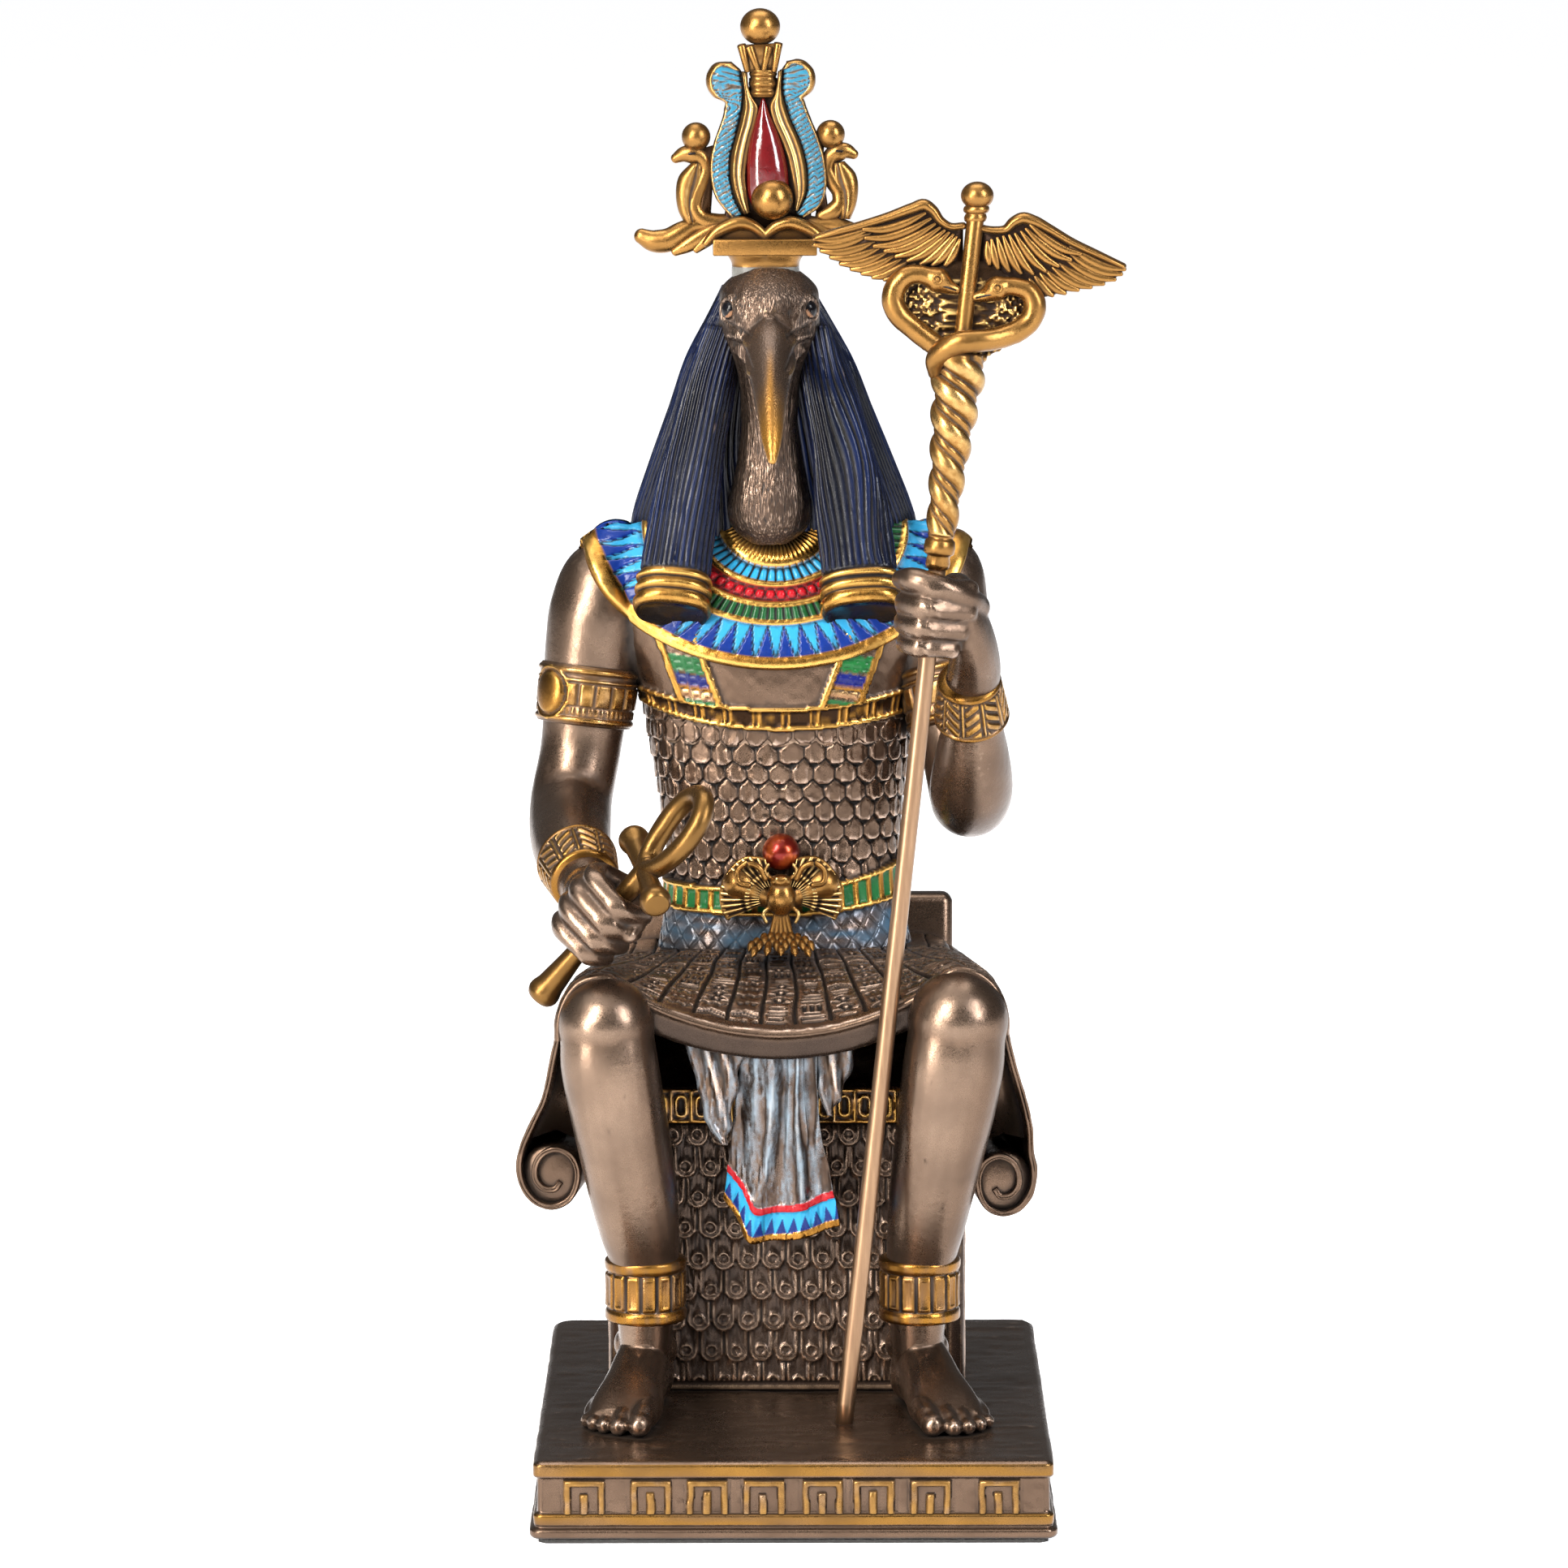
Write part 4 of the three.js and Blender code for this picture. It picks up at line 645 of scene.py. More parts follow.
def resample(stations, cell):
    """A smooth line of evenly spaced stations through the given ones."""
    s = np.asarray(stations, float)
    run = np.concatenate([[0], np.cumsum(np.linalg.norm(np.diff(s[:, :3], axis=0), axis=1))])
    return through(np.linspace(0, run[-1], max(3, int(run[-1] / cell)) + 1), run, s)


def rings(centres, u, v, around, power=2.0):
    """Closed rings about the centres, reaching u one way and v the other; a high power squares them off."""
    turn = np.linspace(0, 2 * np.pi, around + 1)
    c, s = np.cos(turn), np.sin(turn)
    c, s = (np.sign(w) * np.abs(w) ** (2 / power) for w in (c, s))
    return centres[:, None] + c[None, :, None] * u[:, None] + s[None, :, None] * v[:, None]


def tube(stations, around=24, cell=0.8, side=(1, 0, 0), power=2.0, ends=(1.0, 1.0)):
    """Rings along a smooth line of [x, y, z, radius, radius the other way], with rounded ends."""
    line = resample([list(p) + [p[3]] * (5 - len(p)) for p in stations], cell)
    centre, radius = line[:, :3], np.maximum(line[:, 3:], 0.05)
    along = unit(np.gradient(centre, axis=0))
    for first, depth in ((True, ends[0]), (False, ends[1])):
        if not depth:
            continue
        at, sign = (0, -1) if first else (-1, 1)
        bend = np.radians(np.linspace(90, 18, 5) if first else np.linspace(18, 90, 5))
        reach = sign * depth * radius[at].min() * np.sin(bend)
        cap_centre = centre[at] + reach[:, None] * along[at]
        cap_radius = radius[at] * np.maximum(np.cos(bend), 1e-3)[:, None]
        cap_along = np.repeat(along[at][None], 5, 0)
        pairs = ((cap_centre, centre), (cap_radius, radius), (cap_along, along))
        centre, radius, along = (np.concatenate(pair if first else pair[::-1]) for pair in pairs)
    u = np.asarray(side, float) - along * (along @ np.asarray(side, float))[:, None]
    u = unit(u)
    v = np.cross(along, u)
    return rings(centre, u * radius[:, :1], v * radius[:, 1:], around, power)


def level_rings(x, y, z, rx, ry, around, power=2.0):
    """Level rings about (x, y) at the heights z, reaching rx and ry."""
    nothing = np.zeros_like(z)
    return rings(
        np.stack([x + nothing, y + nothing, z], 1), np.stack([rx + nothing, nothing, nothing], 1),
        np.stack([nothing, ry + nothing, nothing], 1), around, power)


def stack(stations, around=48, cell=0.8, power=2.0):
    """Level rings: each station is [z, centre x, centre y, half width, half depth]."""
    s = np.array(sorted(stations), float)
    at = np.linspace(s[0, 0], s[-1, 0], max(3, int((s[-1, 0] - s[0, 0]) / cell)) + 1)
    x, y, rx, ry = through(at, s[:, 0], s[:, 1:]).T
    return level_rings(x, y, at, rx, ry, around, power)


def ball(x, y, z, radius, stretch=(1, 1, 1), around=32):
    tilt = np.radians(np.linspace(-89.5, 89.5, around // 2 + 1))
    centres = np.stack([x + 0 * tilt, y + 0 * tilt, z + radius * stretch[2] * np.sin(tilt)], 1)
    reach = radius * np.cos(tilt)[:, None]
    return rings(centres, reach * np.array([stretch[0], 0, 0]), reach * np.array([0, stretch[1], 0]), around)


def hollows(mesh, rounds, depth):
    """How far each point stands out from its softened surroundings."""
    count = len(mesh.vertices)
    place, normal = np.zeros(count * 3), np.zeros(count * 3)
    mesh.vertices.foreach_get("co", place)
    mesh.vertex_normals.foreach_get("vector", normal)
    place, normal = place.reshape(-1, 3) / MM, normal.reshape(-1, 3)
    edges = np.zeros(len(mesh.edges) * 2, int)
    mesh.edges.foreach_get("vertices", edges)
    a, b = edges.reshape(-1, 2).T
    friends = np.maximum(np.bincount(edges, minlength=count), 1)[:, None]
    soft = place
    for _ in range(rounds):
        soft = np.stack([
            np.bincount(a, soft[b, k], count) + np.bincount(b, soft[a, k], count) for k in range(3)],
            1) / friends
    gap = np.sum((place - soft) * normal, axis=1)
    return np.clip((gap - np.median(gap)) / depth, -1, 1), place, normal


def shell(points, **kind):
    """A closed skin over rings of points, with its ends filled."""
    return weld(grid_part(points, closed=True, **kind), cap=True, outward=True)


def saw(x):
    """0 in the middle of each whole step of x and 1 at its edges."""
    return np.abs(x % 1 - 0.5) * 2


def fuse(shells, voxel, rounds=4, chase=None, spread=14, depth=0.6, rubbed_and_highlit=0.0):
    """Runs closed shells together into one skin. chase may raise it and paint it, from its points.

    The last argument lays a painted highlight on the faces turned forward and to the viewer's left, towards
    the lights, and scatters dark scratches."""
    whole = join_parts([shell(s) for s in shells])
    remesh = whole.modifiers.new("run_together", "REMESH")
    remesh.mode = "VOXEL"
    remesh.voxel_size = voxel * MM
    ease = whole.modifiers.new("ease", "SMOOTH")
    ease.iterations = rounds
    mesh = bpy.data.meshes.new_from_object(whole.evaluated_get(bpy.context.evaluated_depsgraph_get()))
    whole.modifiers.clear()
    whole.data = mesh
    paint = gilt = None
    if chase:
        _, place, normal = hollows(mesh, 1, depth)
        height, paint, gilt = chase(place, normal)
        place = (place + normal * np.asarray(height)[..., None]) * MM
        mesh.vertices.foreach_set("co", place.ravel())
        mesh.update()
    relief, place, normal = hollows(mesh, spread, depth)
    # Painted highlight: a pale tone on the faces turned forward and to the viewer's left, towards the lights,
    # kept out of the hollows. The dark scratches are real marks.
    if rubbed_and_highlit:
        paint, gilt = flood(place.shape[:1], "#b89f8a"), 1.0
        towards_lights = (step(normal @ unit([-0.45, -0.88, 0.15]), 0.3, 0.98)
            * (1 + 0.35 * noise(place, (5, 5, 13), 17)))
        scratch = noise(place, (0.8, 0.8, 3.2), 18) > 0.86
        paint[scratch] = linear("#1c130d")
        paint[:, 3] = np.where(scratch, 0.6, rubbed_and_highlit * towards_lights * step(relief, -0.3, 0.1))
    keep(mesh, relief, paint, gilt)
    return whole


SHINS = {
    "left": [
        (-35, -26, 91, 8.6), (-34.5, -26, 84, 9.2, 9.4), (-33.4, -25, 77, 9.1, 9.8),
        (-31.7, -22.6, 67, 8.8, 9.6), (-29.2, -19, 51.5, 7.8, 8.2), (-28, -16.8, 42.5, 6.3, 6.4),
        (-28.1, -15.4, 33, 5.4, 6.2), (-28.1, -14.6, 26, 4.9, 6)],
    "right": [
        (31, -26, 91, 9.0), (30.3, -26, 84, 9.5, 9.6), (29.3, -25, 77, 9.3, 9.8), (27.7, -22.6, 67, 8.6, 9.6),
        (25.2, -19, 51.5, 7.4, 8.2), (24, -16.8, 42.5, 6.3, 6.4), (23.7, -15.4, 33, 5.4, 6.2),
        (23.6, -14.6, 26, 4.9, 6)]}
KNEES = {"left": (-35, -26, 90.9, 9.2), "right": (31, -26, 91.6, 9.6)}
HEELS = {"left": ((-27, -7), (-32.2, -36.4)), "right": ((22.2, -7), (29.6, -36))}
TOES = {
    "left": [(-28.9, -42.2, 2.5), (-32.8, -41.2, 1.9), (-35.5, -39.4, 1.7), (-37.4, -37.4, 1.7),
        (-38.6, -35, 1.7)],
    "right": [(26.2, -42.2, 2.5), (30.1, -42, 1.9), (32.8, -40.6, 1.7), (35, -38.4, 1.6), (36.6, -35.4, 1.5)]}
FOOT = [(0, 2.6, 6), (0.1, 4.6, 10.5), (0.3, 5, 14), (0.6, 5.9, 10.4), (0.88, 6.9, 6.4), (1.02, 6.4, 4.2)]
ANKLETS = {"left": (-28, -16.8), "right": (24, -16.8)}
GROUND = 15.5


def leg(which):
    x, y, z, radius = KNEES[which]
    # A painted highlight lies on the side of the leg turned towards the lights.
    return fuse([
        ball(x, y, z, radius), tube([(x, -4, 89, 9.4), (x, -24, 90, 9)]), tube(SHINS[which], power=2.25)],
        0.62, 8, rubbed_and_highlit=0.28)


def foot(which):
    heel, root = (np.array(p, float) for p in HEELS[which])
    along = unit(root - heel)
    across = np.array([-along[1], along[0]])
    length = np.linalg.norm(root - heel)
    rows = through(np.linspace(0, 1.02, 30), [f[0] for f in FOOT], FOOT)
    centres = np.stack([
        heel[0] + along[0] * length * rows[:, 0], heel[1] + along[1] * length * rows[:, 0],
        GROUND - 0.3 + rows[:, 2] / 2], 1)
    sideways = rows[:, 1:2] * np.append(across, 0)
    upward = rows[:, 2:3] / 2 * np.array([0, 0, 1.0])
    shells = [rings(centres, sideways, upward, 28, 2.5), tube(SHINS[which][-3:])]
    ankle = SHINS[which][-1]
    shells += [ball(ankle[0] + s * 4.0, ankle[1] + 1, 27 - (s > 0), 2.6, (0.8, 1.1, 1.2)) for s in (-1, 1)]
    for i, (x, y, r) in enumerate(TOES[which]):
        tip = np.array([x, y, GROUND + r * 0.85])
        back = np.append(-along, 0)
        knuckle = tip + back * (3.4 + r * 0.4) + (0, 0, 0.75)
        start = tip + back * 8.5 + (0, 0, 1.6)
        shells.append(tube([
            (*start, r * 0.85), (*knuckle, r * 0.95), (*(tip + back * 1.9), r * 0.84),
            (*(tip + back * 0.4), r * 0.9)],
            16, 0.4))
        shells.append(ball(*(tip + (0, 0, r * 0.36) - back * 0.2), r * 0.52, (1.1, 1.25, 0.7), 16))
        rise = np.array([ankle[0] + 0.22 * (x - ankle[0]), ankle[1] - 8.2, 26.2 - 0.25 * abs(i - 1)])
        shells.append(tube([(*rise, 0.6), (*((rise + start) / 2 + (0, 0, 0.75)), 0.62),
            (*(start + (0, 0, 0.6)), 0.75)], 10, 0.8))
    # A faint painted highlight lies on the side of the foot turned towards the lights.
    return fuse(shells, 0.4, 3, spread=10, depth=0.6, rubbed_and_highlit=0.08)


def anklet(which):
    x, y = ANKLETS[which]
    at = np.array([31.5, 31.7, 32.1, 33.2, 33.7, 34.1, 37.5, 41.0, 41.5, 42.0, 43.1, 43.5, 43.7]) + 1.0
    grow = np.array([-1.0, -0.1, 0.15, 0.15, 0.0, -0.3, -0.35, -0.3, 0.0, 0.2, 0.2, -0.1, -1.2])
    z = np.linspace(32.5, 44.7, 49)
    radius = 7.5 + np.interp(z, at, grow)
    points = level_rings(x, y, z, radius, radius, 180)
    turn = np.arctan2(points[..., 1] - y, points[..., 0] - x)
    level = points[..., 2]
    cell = saw(turn / (2 * np.pi) * 15)
    middle = (level > 34.9) & (level < 42.3)
    tile = step(0.84 - cell, 0, 0.12) * step(3.5 - np.abs(level - 38.6), 0, 0.4)
    sunk = step(0.5 - cell, 0, 0.1) * step(2.7 - np.abs(level - 38.6), 0, 0.3)
    paint, gilt = flood(level.shape, "#956829"), np.ones(level.shape)
    lay(paint, gilt, middle & (tile < 0.4), DARK_WASH, 0.5)
    gold = np.where(middle & (tile > 0.4), 0.95 - 0.2 * sunk, 1.0)
    paint[..., 3] = gold * np.clip(0.85 + 0.6 * noise(points, (1, 1, 3), 20), 0, 1)
    height = np.where(middle, 0.5 * tile - 0.15 * sunk, 0.1)
    return grid_part(points, height, closed=True, paint=paint, gilt=gilt, reach=(4, 3), depth=0.75)


for which in ("left", "right"):
    cast_on(which + "_leg", leg(which), 0.4)
    cast_on(which + "_foot", foot(which), 0.5)
    cast_on(which + "_anklet", anklet(which), 0.6)


# Trunk and arms. One casting: the shoulders and arms are bare and polished; the trunk wears a corselet
# of overlapping scales with a gilt band and enamelled straps, a barred belt and a blue sash below it.
TORSO = [
    (86, 27.5, 17.5, 27), (100, 23.5, 15.5, 27), (112, 22, 13.8, 27), (124, 23, 14.2, 27),
    (138, 25, 15.4, 26.6), (148, 26.6, 16, 26), (158, 31, 15.6, 26), (167, 34.6, 13.8, 26),
    (174, 34.6, 11.2, 26.8), (179, 28.4, 8, 27.4), (182, 15, 6, 27.6)]
ARMS = {
    "left": [
        (-34, 25, 175.4, 4.6), (-35.8, 25, 171, 7.8), (-37.2, 24.6, 164, 9.5), (-38.6, 24, 156, 9.2),
        (-39.8, 23, 146, 8.3), (-41, 22, 136, 7.8), (-42.6, 19, 127.6, 7.9), (-42.7, 11, 123, 7.9),
        (-42, 1, 120, 7.4), (-40, -9, 117.2, 6.2), (-38, -18, 114.4, 5)],
    "right": [
        (26.6, 25, 176.6, 4.6), (28, 25, 172.4, 8), (28.4, 24, 165, 9.4), (29.4, 22, 156, 8.7),
        (30.8, 19.4, 146, 7.9), (32.6, 16.4, 136, 7.6), (34, 11.6, 128.6, 7.6), (34.2, 4.4, 131.6, 8),
        (34.2, -2.6, 138, 7.2), (34, -9.4, 146, 5.6), (33.4, -15, 153, 4.4)]}


def midline(z):
    """The trunk leans a little to the viewer's left."""
    return -1.5 - 0.025 * (np.asarray(z, float) - 100)


def lean(rows):
    return [(z, midline(z), cy, rx, ry) for z, rx, ry, cy in rows]


# The bare shoulders and arms carry a painted highlight on the side turned towards the lights.
shoulders = fuse(
    [stack(lean([row for row in TORSO if row[0] > 136]), 64, 1.0, 2.3), tube(ARMS["left"], 28),
        tube(ARMS["right"], 28)],
    0.8, 6, rubbed_and_highlit=0.25)
cast_on("shoulders_and_arms", shoulders, 0.4)

SCALES_ROUND, SCALE_ROWS_PITCH, SCALES_FROM = 30, 3.83, 110.0


def corselet():
    z = np.linspace(96, 161, 236)
    front = np.linspace(170, 370, 300)
    turn = np.radians(np.concatenate([front, np.linspace(370, 530, 90)[1:]]))
    rx, ry, cy = through(z, [r[0] for r in TORSO], [r[1:] for r in TORSO]).T
    c, s = (np.sign(w) * np.abs(w) ** (2 / 2.3) for w in (np.cos(turn), np.sin(turn)))
    points = np.stack([
        midline(z)[:, None] + c * (rx + 0.2)[:, None], cy[:, None] + s * (ry + 0.2)[:, None],
        z[:, None] + 0 * c], -1)
    run = np.concatenate([[0], np.cumsum(np.hypot(np.diff(c * 23.5), np.diff(s * 14.5)))])
    middle = np.interp(np.radians(270), turn, run)
    around = (run - middle) / run[-1]
    x, z = points[..., 0], points[..., 2]
    across = x + 2.4

    # Scales: six-sided, staggered row by row, each thicker towards its point.
    wobble = 0.12 * noise(points, 5, 30)
    a = around[None] * SCALES_ROUND + wobble
    b = (z - SCALES_FROM) / SCALE_ROWS_PITCH + wobble
    best = np.full(x.shape, -9.0)
    tilt = np.zeros(x.shape)
    identity = np.zeros(x.shape)
    for shift in (0, 1):
        row = np.floor(b - 0.5) + shift
        offset = 0.5 * (row % 2)
        column = np.round(a - offset)
        dx, dy = a - offset - column, b - row
        inset = 0.5 - np.maximum(np.abs(dx), (np.abs(dx) + np.abs(dy)) / 1.5)
        better = inset > best
        best, tilt = np.where(better, inset, best), np.where(better, dy, tilt)
        identity = np.where(better, row * 37 + column, identity)
    lean_side = (a - np.round(a * 2) / 2) * np.sin(identity * 7.7)
    height = 0.5 * step(best, 0.0, 0.07) - 0.42 * tilt + 0.5 * lean_side + 0.1 * np.sin(identity * 12.9)
    height = height + 0.06 * noise(points, 1.0, 31) - 0.4
    paint = flood(x.shape, "#0d0805", 0.95 * (1 - step(best, 0.015, 0.07)) * (z > 108))
    gilt = np.full(x.shape, 0.6)

    # The band under the arms dips in the middle; above it the chest is plain.
    low = 141.6 + np.where(across < 0, 4.3 * (across / 26) ** 2, 2.4 * (across / 22.4) ** 2)
    high = 146.2 + np.where(across < 0, 2.9 * (across / 26) ** 2, 2.6 * (across / 22.4) ** 2)
    share = (z - low) / (high - low)
    band = (share > 0) & (share < 1)
    bronze = 0.06 * noise(points, 1.6, 32)
    height = np.where(z > high, bronze - 0.1, height)
    paint[..., 3] = np.where(z > low, 0, paint[..., 3])
    edge = np.minimum(share, 1 - share) * (high - low)
    rail = band & (edge < 0.85)
    bars = around[None] * run[-1] / 5.0 % 1
    bar = band & ~rail & ((np.abs(bars - 0.12) < 0.055) | (np.abs(bars - 0.36) < 0.055))
    height = np.where(band, np.where(rail, 0.75, np.where(bar, 0.55, 0.15)), height)
    lay(paint, gilt, rail | bar, GILT_PAINT, 1)
    lay(paint, gilt, band & ~rail & ~bar, "#36230f", 0.9)
    lay(paint, gilt, band & ~rail & ~bar & (noise(points, 1.4, 33) > 0.3), "#8a6228", 1)

    # Two straps run up from the band to the collar, gilt-edged, with enamelled bars.
    for base, slope in ((-17.05, -0.37), (9.05, 0.375)):
        off = x - (base + slope * (z - 146.0))
        strap = (np.abs(off) < 4.15) & (share >= 0.9) & (points[..., 1] < 26)
        border = strap & (np.abs(off) > 2.85)
        level = (z - 146.5) / 7.4 + 0.02 * off
        inner = strap & ~border
        height = np.where(border, 0.75, np.where(inner, 0.45, height))
        lay(paint, gilt, border, GILT_PAINT, 1)
        for low_bar, high_bar, code, metal in (
                (0.0, 0.14, "#1b5a2a", 0), (0.17, 0.27, "#a87f5c", 1), (0.29, 0.36, "#c9a472", 1),
                (0.38, 0.45, "#a8742c", 1), (0.48, 0.8, "#141c62", 0), (0.83, 1.3, "#1b5f2e", 0)):
            lay(paint, gilt, inner & (level > low_bar) & (level <= high_bar), code, metal)
        grooves = inner & (np.abs(((level - 0.185) % 0.19)) < 0.025)
        height = np.where(grooves, 0.25, height)

    # Belt: a barred band in gilt rails; under it the sash, hatched in diamonds.
    side_rise = (across / 22) ** 2
    low = 105.2 + np.where(across < 0, 0.6, 2.6) * side_rise
    high = 110.6 + np.where(across < 0, 0.6, 4.4) * side_rise
    share = (z - low) / (high - low)
    belt = (share > 0) & (share < 1)
    edge = np.minimum(share, 1 - share) * (high - low)
    rail = belt & (edge < 0.9)
    bars = around[None] * run[-1] / 2.9 % 1
    divider = belt & ~rail & (np.abs(bars - 0.5) > 0.3)
    green = belt & ~rail & ~divider
    height = np.where(belt, np.where(rail, 1.35, np.where(divider, 1.15, 0.9)), height)
    lay(paint, gilt, rail | divider, GILT_PAINT, 1)
    lay(paint, gilt, green, "#1f6b35", 0)
    below = z <= low
    hatch = np.minimum(np.abs(((a * 1.1 + (z - 96) / 4.6) % 1) - 0.5),
        np.abs(((a * 1.1 - (z - 96) / 4.6) % 1) - 0.5))
    height = np.where(below, 0.55 - 0.35 * (1 - step(hatch, 0.03, 0.1)) + 0.1 * noise(points, 1.5, 34),
        height)
    lay(paint, gilt, below, "#425d71")
    paint[..., 3] = np.where(below, np.clip(0.62 + 0.6 * noise(points, (5, 5, 1.2), 35), 0, 1), paint[..., 3])
    return grid_part(points, height, closed=True, paint=paint, gilt=gilt, reach=(3, 3), depth=0.5)


cast_on("corselet", corselet(), 0.65)


# Broad collar. Cast on the shoulders in rings of beads and petals, then enamelled by hand between
# gilt edges: petals, green bars, red with round beads, turquoise rods and a ribbed gilt neck ring.
COLLAR_MIDDLE, COLLAR_TOP, COLLAR_REACH, COLLAR_DROP = -3.1, 180.0, 37.2, 26.4


def dome(x):
    """A round back over x from -1 to 1, and nothing beyond."""
    return np.sqrt(np.clip(1 - x ** 2, 0, 1))


def collar():
    cast = BVHTree.FromObject(shoulders, bpy.context.evaluated_depsgraph_get())

    def reach(x, z, ahead):
        far = Vector((x * MM, (-80 if ahead else 140) * MM, z * MM))
        hit = cast.ray_cast(far, Vector((0, 1 if ahead else -1, 0)))[0]
        return None if hit is None else hit.y / MM

    def ridge(x):
        hit = cast.ray_cast(Vector((x * MM, 0.026, 0.3)), Vector((0, 0, -1)))[0]
        return 160.0 if hit is None else hit.z / MM

    front = np.linspace(180, 360, 330)
    turns = np.radians(np.concatenate([front, np.linspace(360, 180, 110)[1:]]))
    ahead = np.concatenate([np.ones(330, bool), np.zeros(109, bool)])
    share = np.linspace(1.02, 0.13, 72)
    points = np.zeros((len(share), len(turns), 3))
    for i, e in enumerate(share):
        for j, (turn, is_ahead) in enumerate(zip(turns, ahead)):
            x = COLLAR_MIDDLE + COLLAR_REACH * e * math.cos(turn)
            z = COLLAR_TOP + COLLAR_DROP * e * math.sin(turn)
            z = min(z, ridge(x) - 0.15)
            y = reach(x, z, is_ahead)
            points[i, j] = (x, 26.0 if y is None else y, z)
    for _ in range(3):
        inner = points[1:-1, 1:-1]
        points[1:-1, 1:-1] = ((inner * 2 + points[2:, 1:-1] + points[:-2, 1:-1] + points[1:-1, 2:]
            + points[1:-1, :-2]) / 6)
    inward = (1 - share)[:, None] * COLLAR_DROP + 0 * turns[None]
    bend = np.where(ahead, 1, -1) * (turns - np.radians(270))
    paint, gilt = np.zeros(inward.shape + (4,)), np.zeros(inward.shape)
    height = np.full(inward.shape, 0.9)

    def ring(low, high):
        return (inward >= low) & (inward < high)

    rim = ring(-1, 2.2)
    height = np.where(rim, 0.9 + 0.7 * dome((inward - 1.0) / 1.35), height)
    lay(paint, gilt, rim, GILT_PAINT, 1)

    # Petals: pale blue with dark blue darts standing on the rim, each lined with gilt.
    petals = ring(2.2, 8.2)
    pitch = bend[None] * 33 * 0.85 / 3.3
    dart = saw(pitch + 0 * inward)
    up = (inward - 2.2) / 6.0
    dart_edge = 0.86 * np.clip(1 - up, 0, 1) ** 0.8
    in_dart = petals & (dart < dart_edge)
    height = np.where(petals, 1.0 + 0.3 * step(np.abs(dart - dart_edge), 0.0, 0.12) * (dart < dart_edge),
        height)
    height = np.where(petals & (np.abs(dart - dart_edge) < 0.07), 0.72, height)
    lay(paint, gilt, petals, "#3196c4")
    lay(paint, gilt, in_dart, "#0d2970")

    for low, high in ((8.2, 9.1), (11.6, 12.5), (15.3, 16.1)):
        line = ring(low, high)
        height = np.where(line, 1.0 + 0.4 * dome((inward - (low + high) / 2) / 0.6), height)
        lay(paint, gilt, line, GILT_PAINT, 1)
    for low, high, code, width in ((9.1, 11.6, "#174f26", 1.4), (16.1, 18.5, "#2790bd", 2.5)):
        bars = ring(low, high)
        x = saw(bend[None] * 33 * 0.62 / width + 0 * inward)
        height = np.where(bars, 0.8 + 0.45 * dome(x / 0.85), height)
        lay(paint, gilt, bars, "#0c0a08")
        lay(paint, gilt, bars & (x < 0.8), code)
    red = ring(12.5, 15.3)
    x = ((bend[None] * 33 * 0.5 / 1.9 + 0 * inward) % 1 - 0.5) * 1.9
    off = np.hypot(x, inward - 13.9)
    height = np.where(red, 0.95 + 0.6 * dome(off / 0.78) - 0.25 * ((off > 0.78) & (off < 0.98)), height)
    lay(paint, gilt, red, "#9a0f18")
    neck = inward >= 18.5
    rib = saw(bend[None] * 33 * 0.25 / 0.8 + 0 * inward)
    roll = dome((inward - 20.6) / 2.5)
    height = np.where(neck, 1.0 + 1.5 * roll + 0.35 * (1 - rib) * (inward > 19.4), height)
    lay(paint, gilt, neck, GILT_PAINT, 1)
    height = height + 0.05 * noise(points, 1.0, 40)
    height[0], height[1] = -0.6, 0.3
    return grid_part(points, height, closed=True, paint=paint, gilt=gilt, reach=(3, 2), depth=0.22)


cast_on("broad_collar", collar())


# Arm rings. Cast on the arms and gilt: an armlet of square panels between cord rails with an oval
# boss on its outer side, and a flared bracelet chased with leaves.

def arm_ring(which, index, share, profile, carve):
    start, end = (np.array(ARMS[which][i][:3], float) for i in (index, index + 1))
    centre, axis = start + share * (end - start), unit(end - start)
    at = np.linspace(profile[0][0], profile[-1][0], 50)
    radius = np.interp(at, [p[0] for p in profile], [p[1] for p in profile])
    out = np.array([-0.76 if which == "left" else 0.76, -0.65, 0])
    out = unit(out - axis * (axis @ out))
    v = np.cross(axis, out)
    points = rings(centre + at[:, None] * axis, radius[:, None] * out, radius[:, None] * v, 170)
    turn = np.linspace(-np.pi, np.pi, 171)
    turn = np.roll(turn[:-1], 85)
    turn = np.append(turn, turn[0])
    height, tone = carve(at[:, None] + 0 * turn[None], turn[None] + 0 * at[:, None], points)
    paint = flood(height.shape, "#8c6229", np.clip(tone, 0, 1))
    return grid_part(points, height, closed=True, paint=paint, gilt=1.0, reach=(3, 2), depth=0.36)


def armlet_relief(at, turn, points):
    rail = np.clip(1.4 - np.abs(np.abs(at) - 4.7) / 0.5, 0, 1) + np.clip(1.2 - np.abs(at + 2.9) / 0.35, 0, 1)
    x = saw(turn * 8.8 / 3.1)
    boxes = (at > -2.4) & (at < 2.2)
    square = boxes * step(0.86 - x, 0, 0.12) * step(2.2 - np.abs(at + 0.1), 0, 0.3)
    cord = (at > 2.4) & (at < 3.9)
    beads = cord * (0.5 + 0.5 * np.cos(turn * 8.8 / 1.1 * 2 * np.pi))
    oval = np.hypot(turn * 8.8 / 4.6, at / 5.2)
    boss = (oval < 1) * (0.5 + 0.8 * dome(oval / 0.75)) - 0.3 * ((oval > 0.78) & (oval < 0.9))
    height = np.where(oval < 1, boss, 0.45 * rail + 0.4 * square + 0.3 * beads)
    return height, 0.25 + 1.4 * height + 0.3 * noise(points, 1.6, 50)


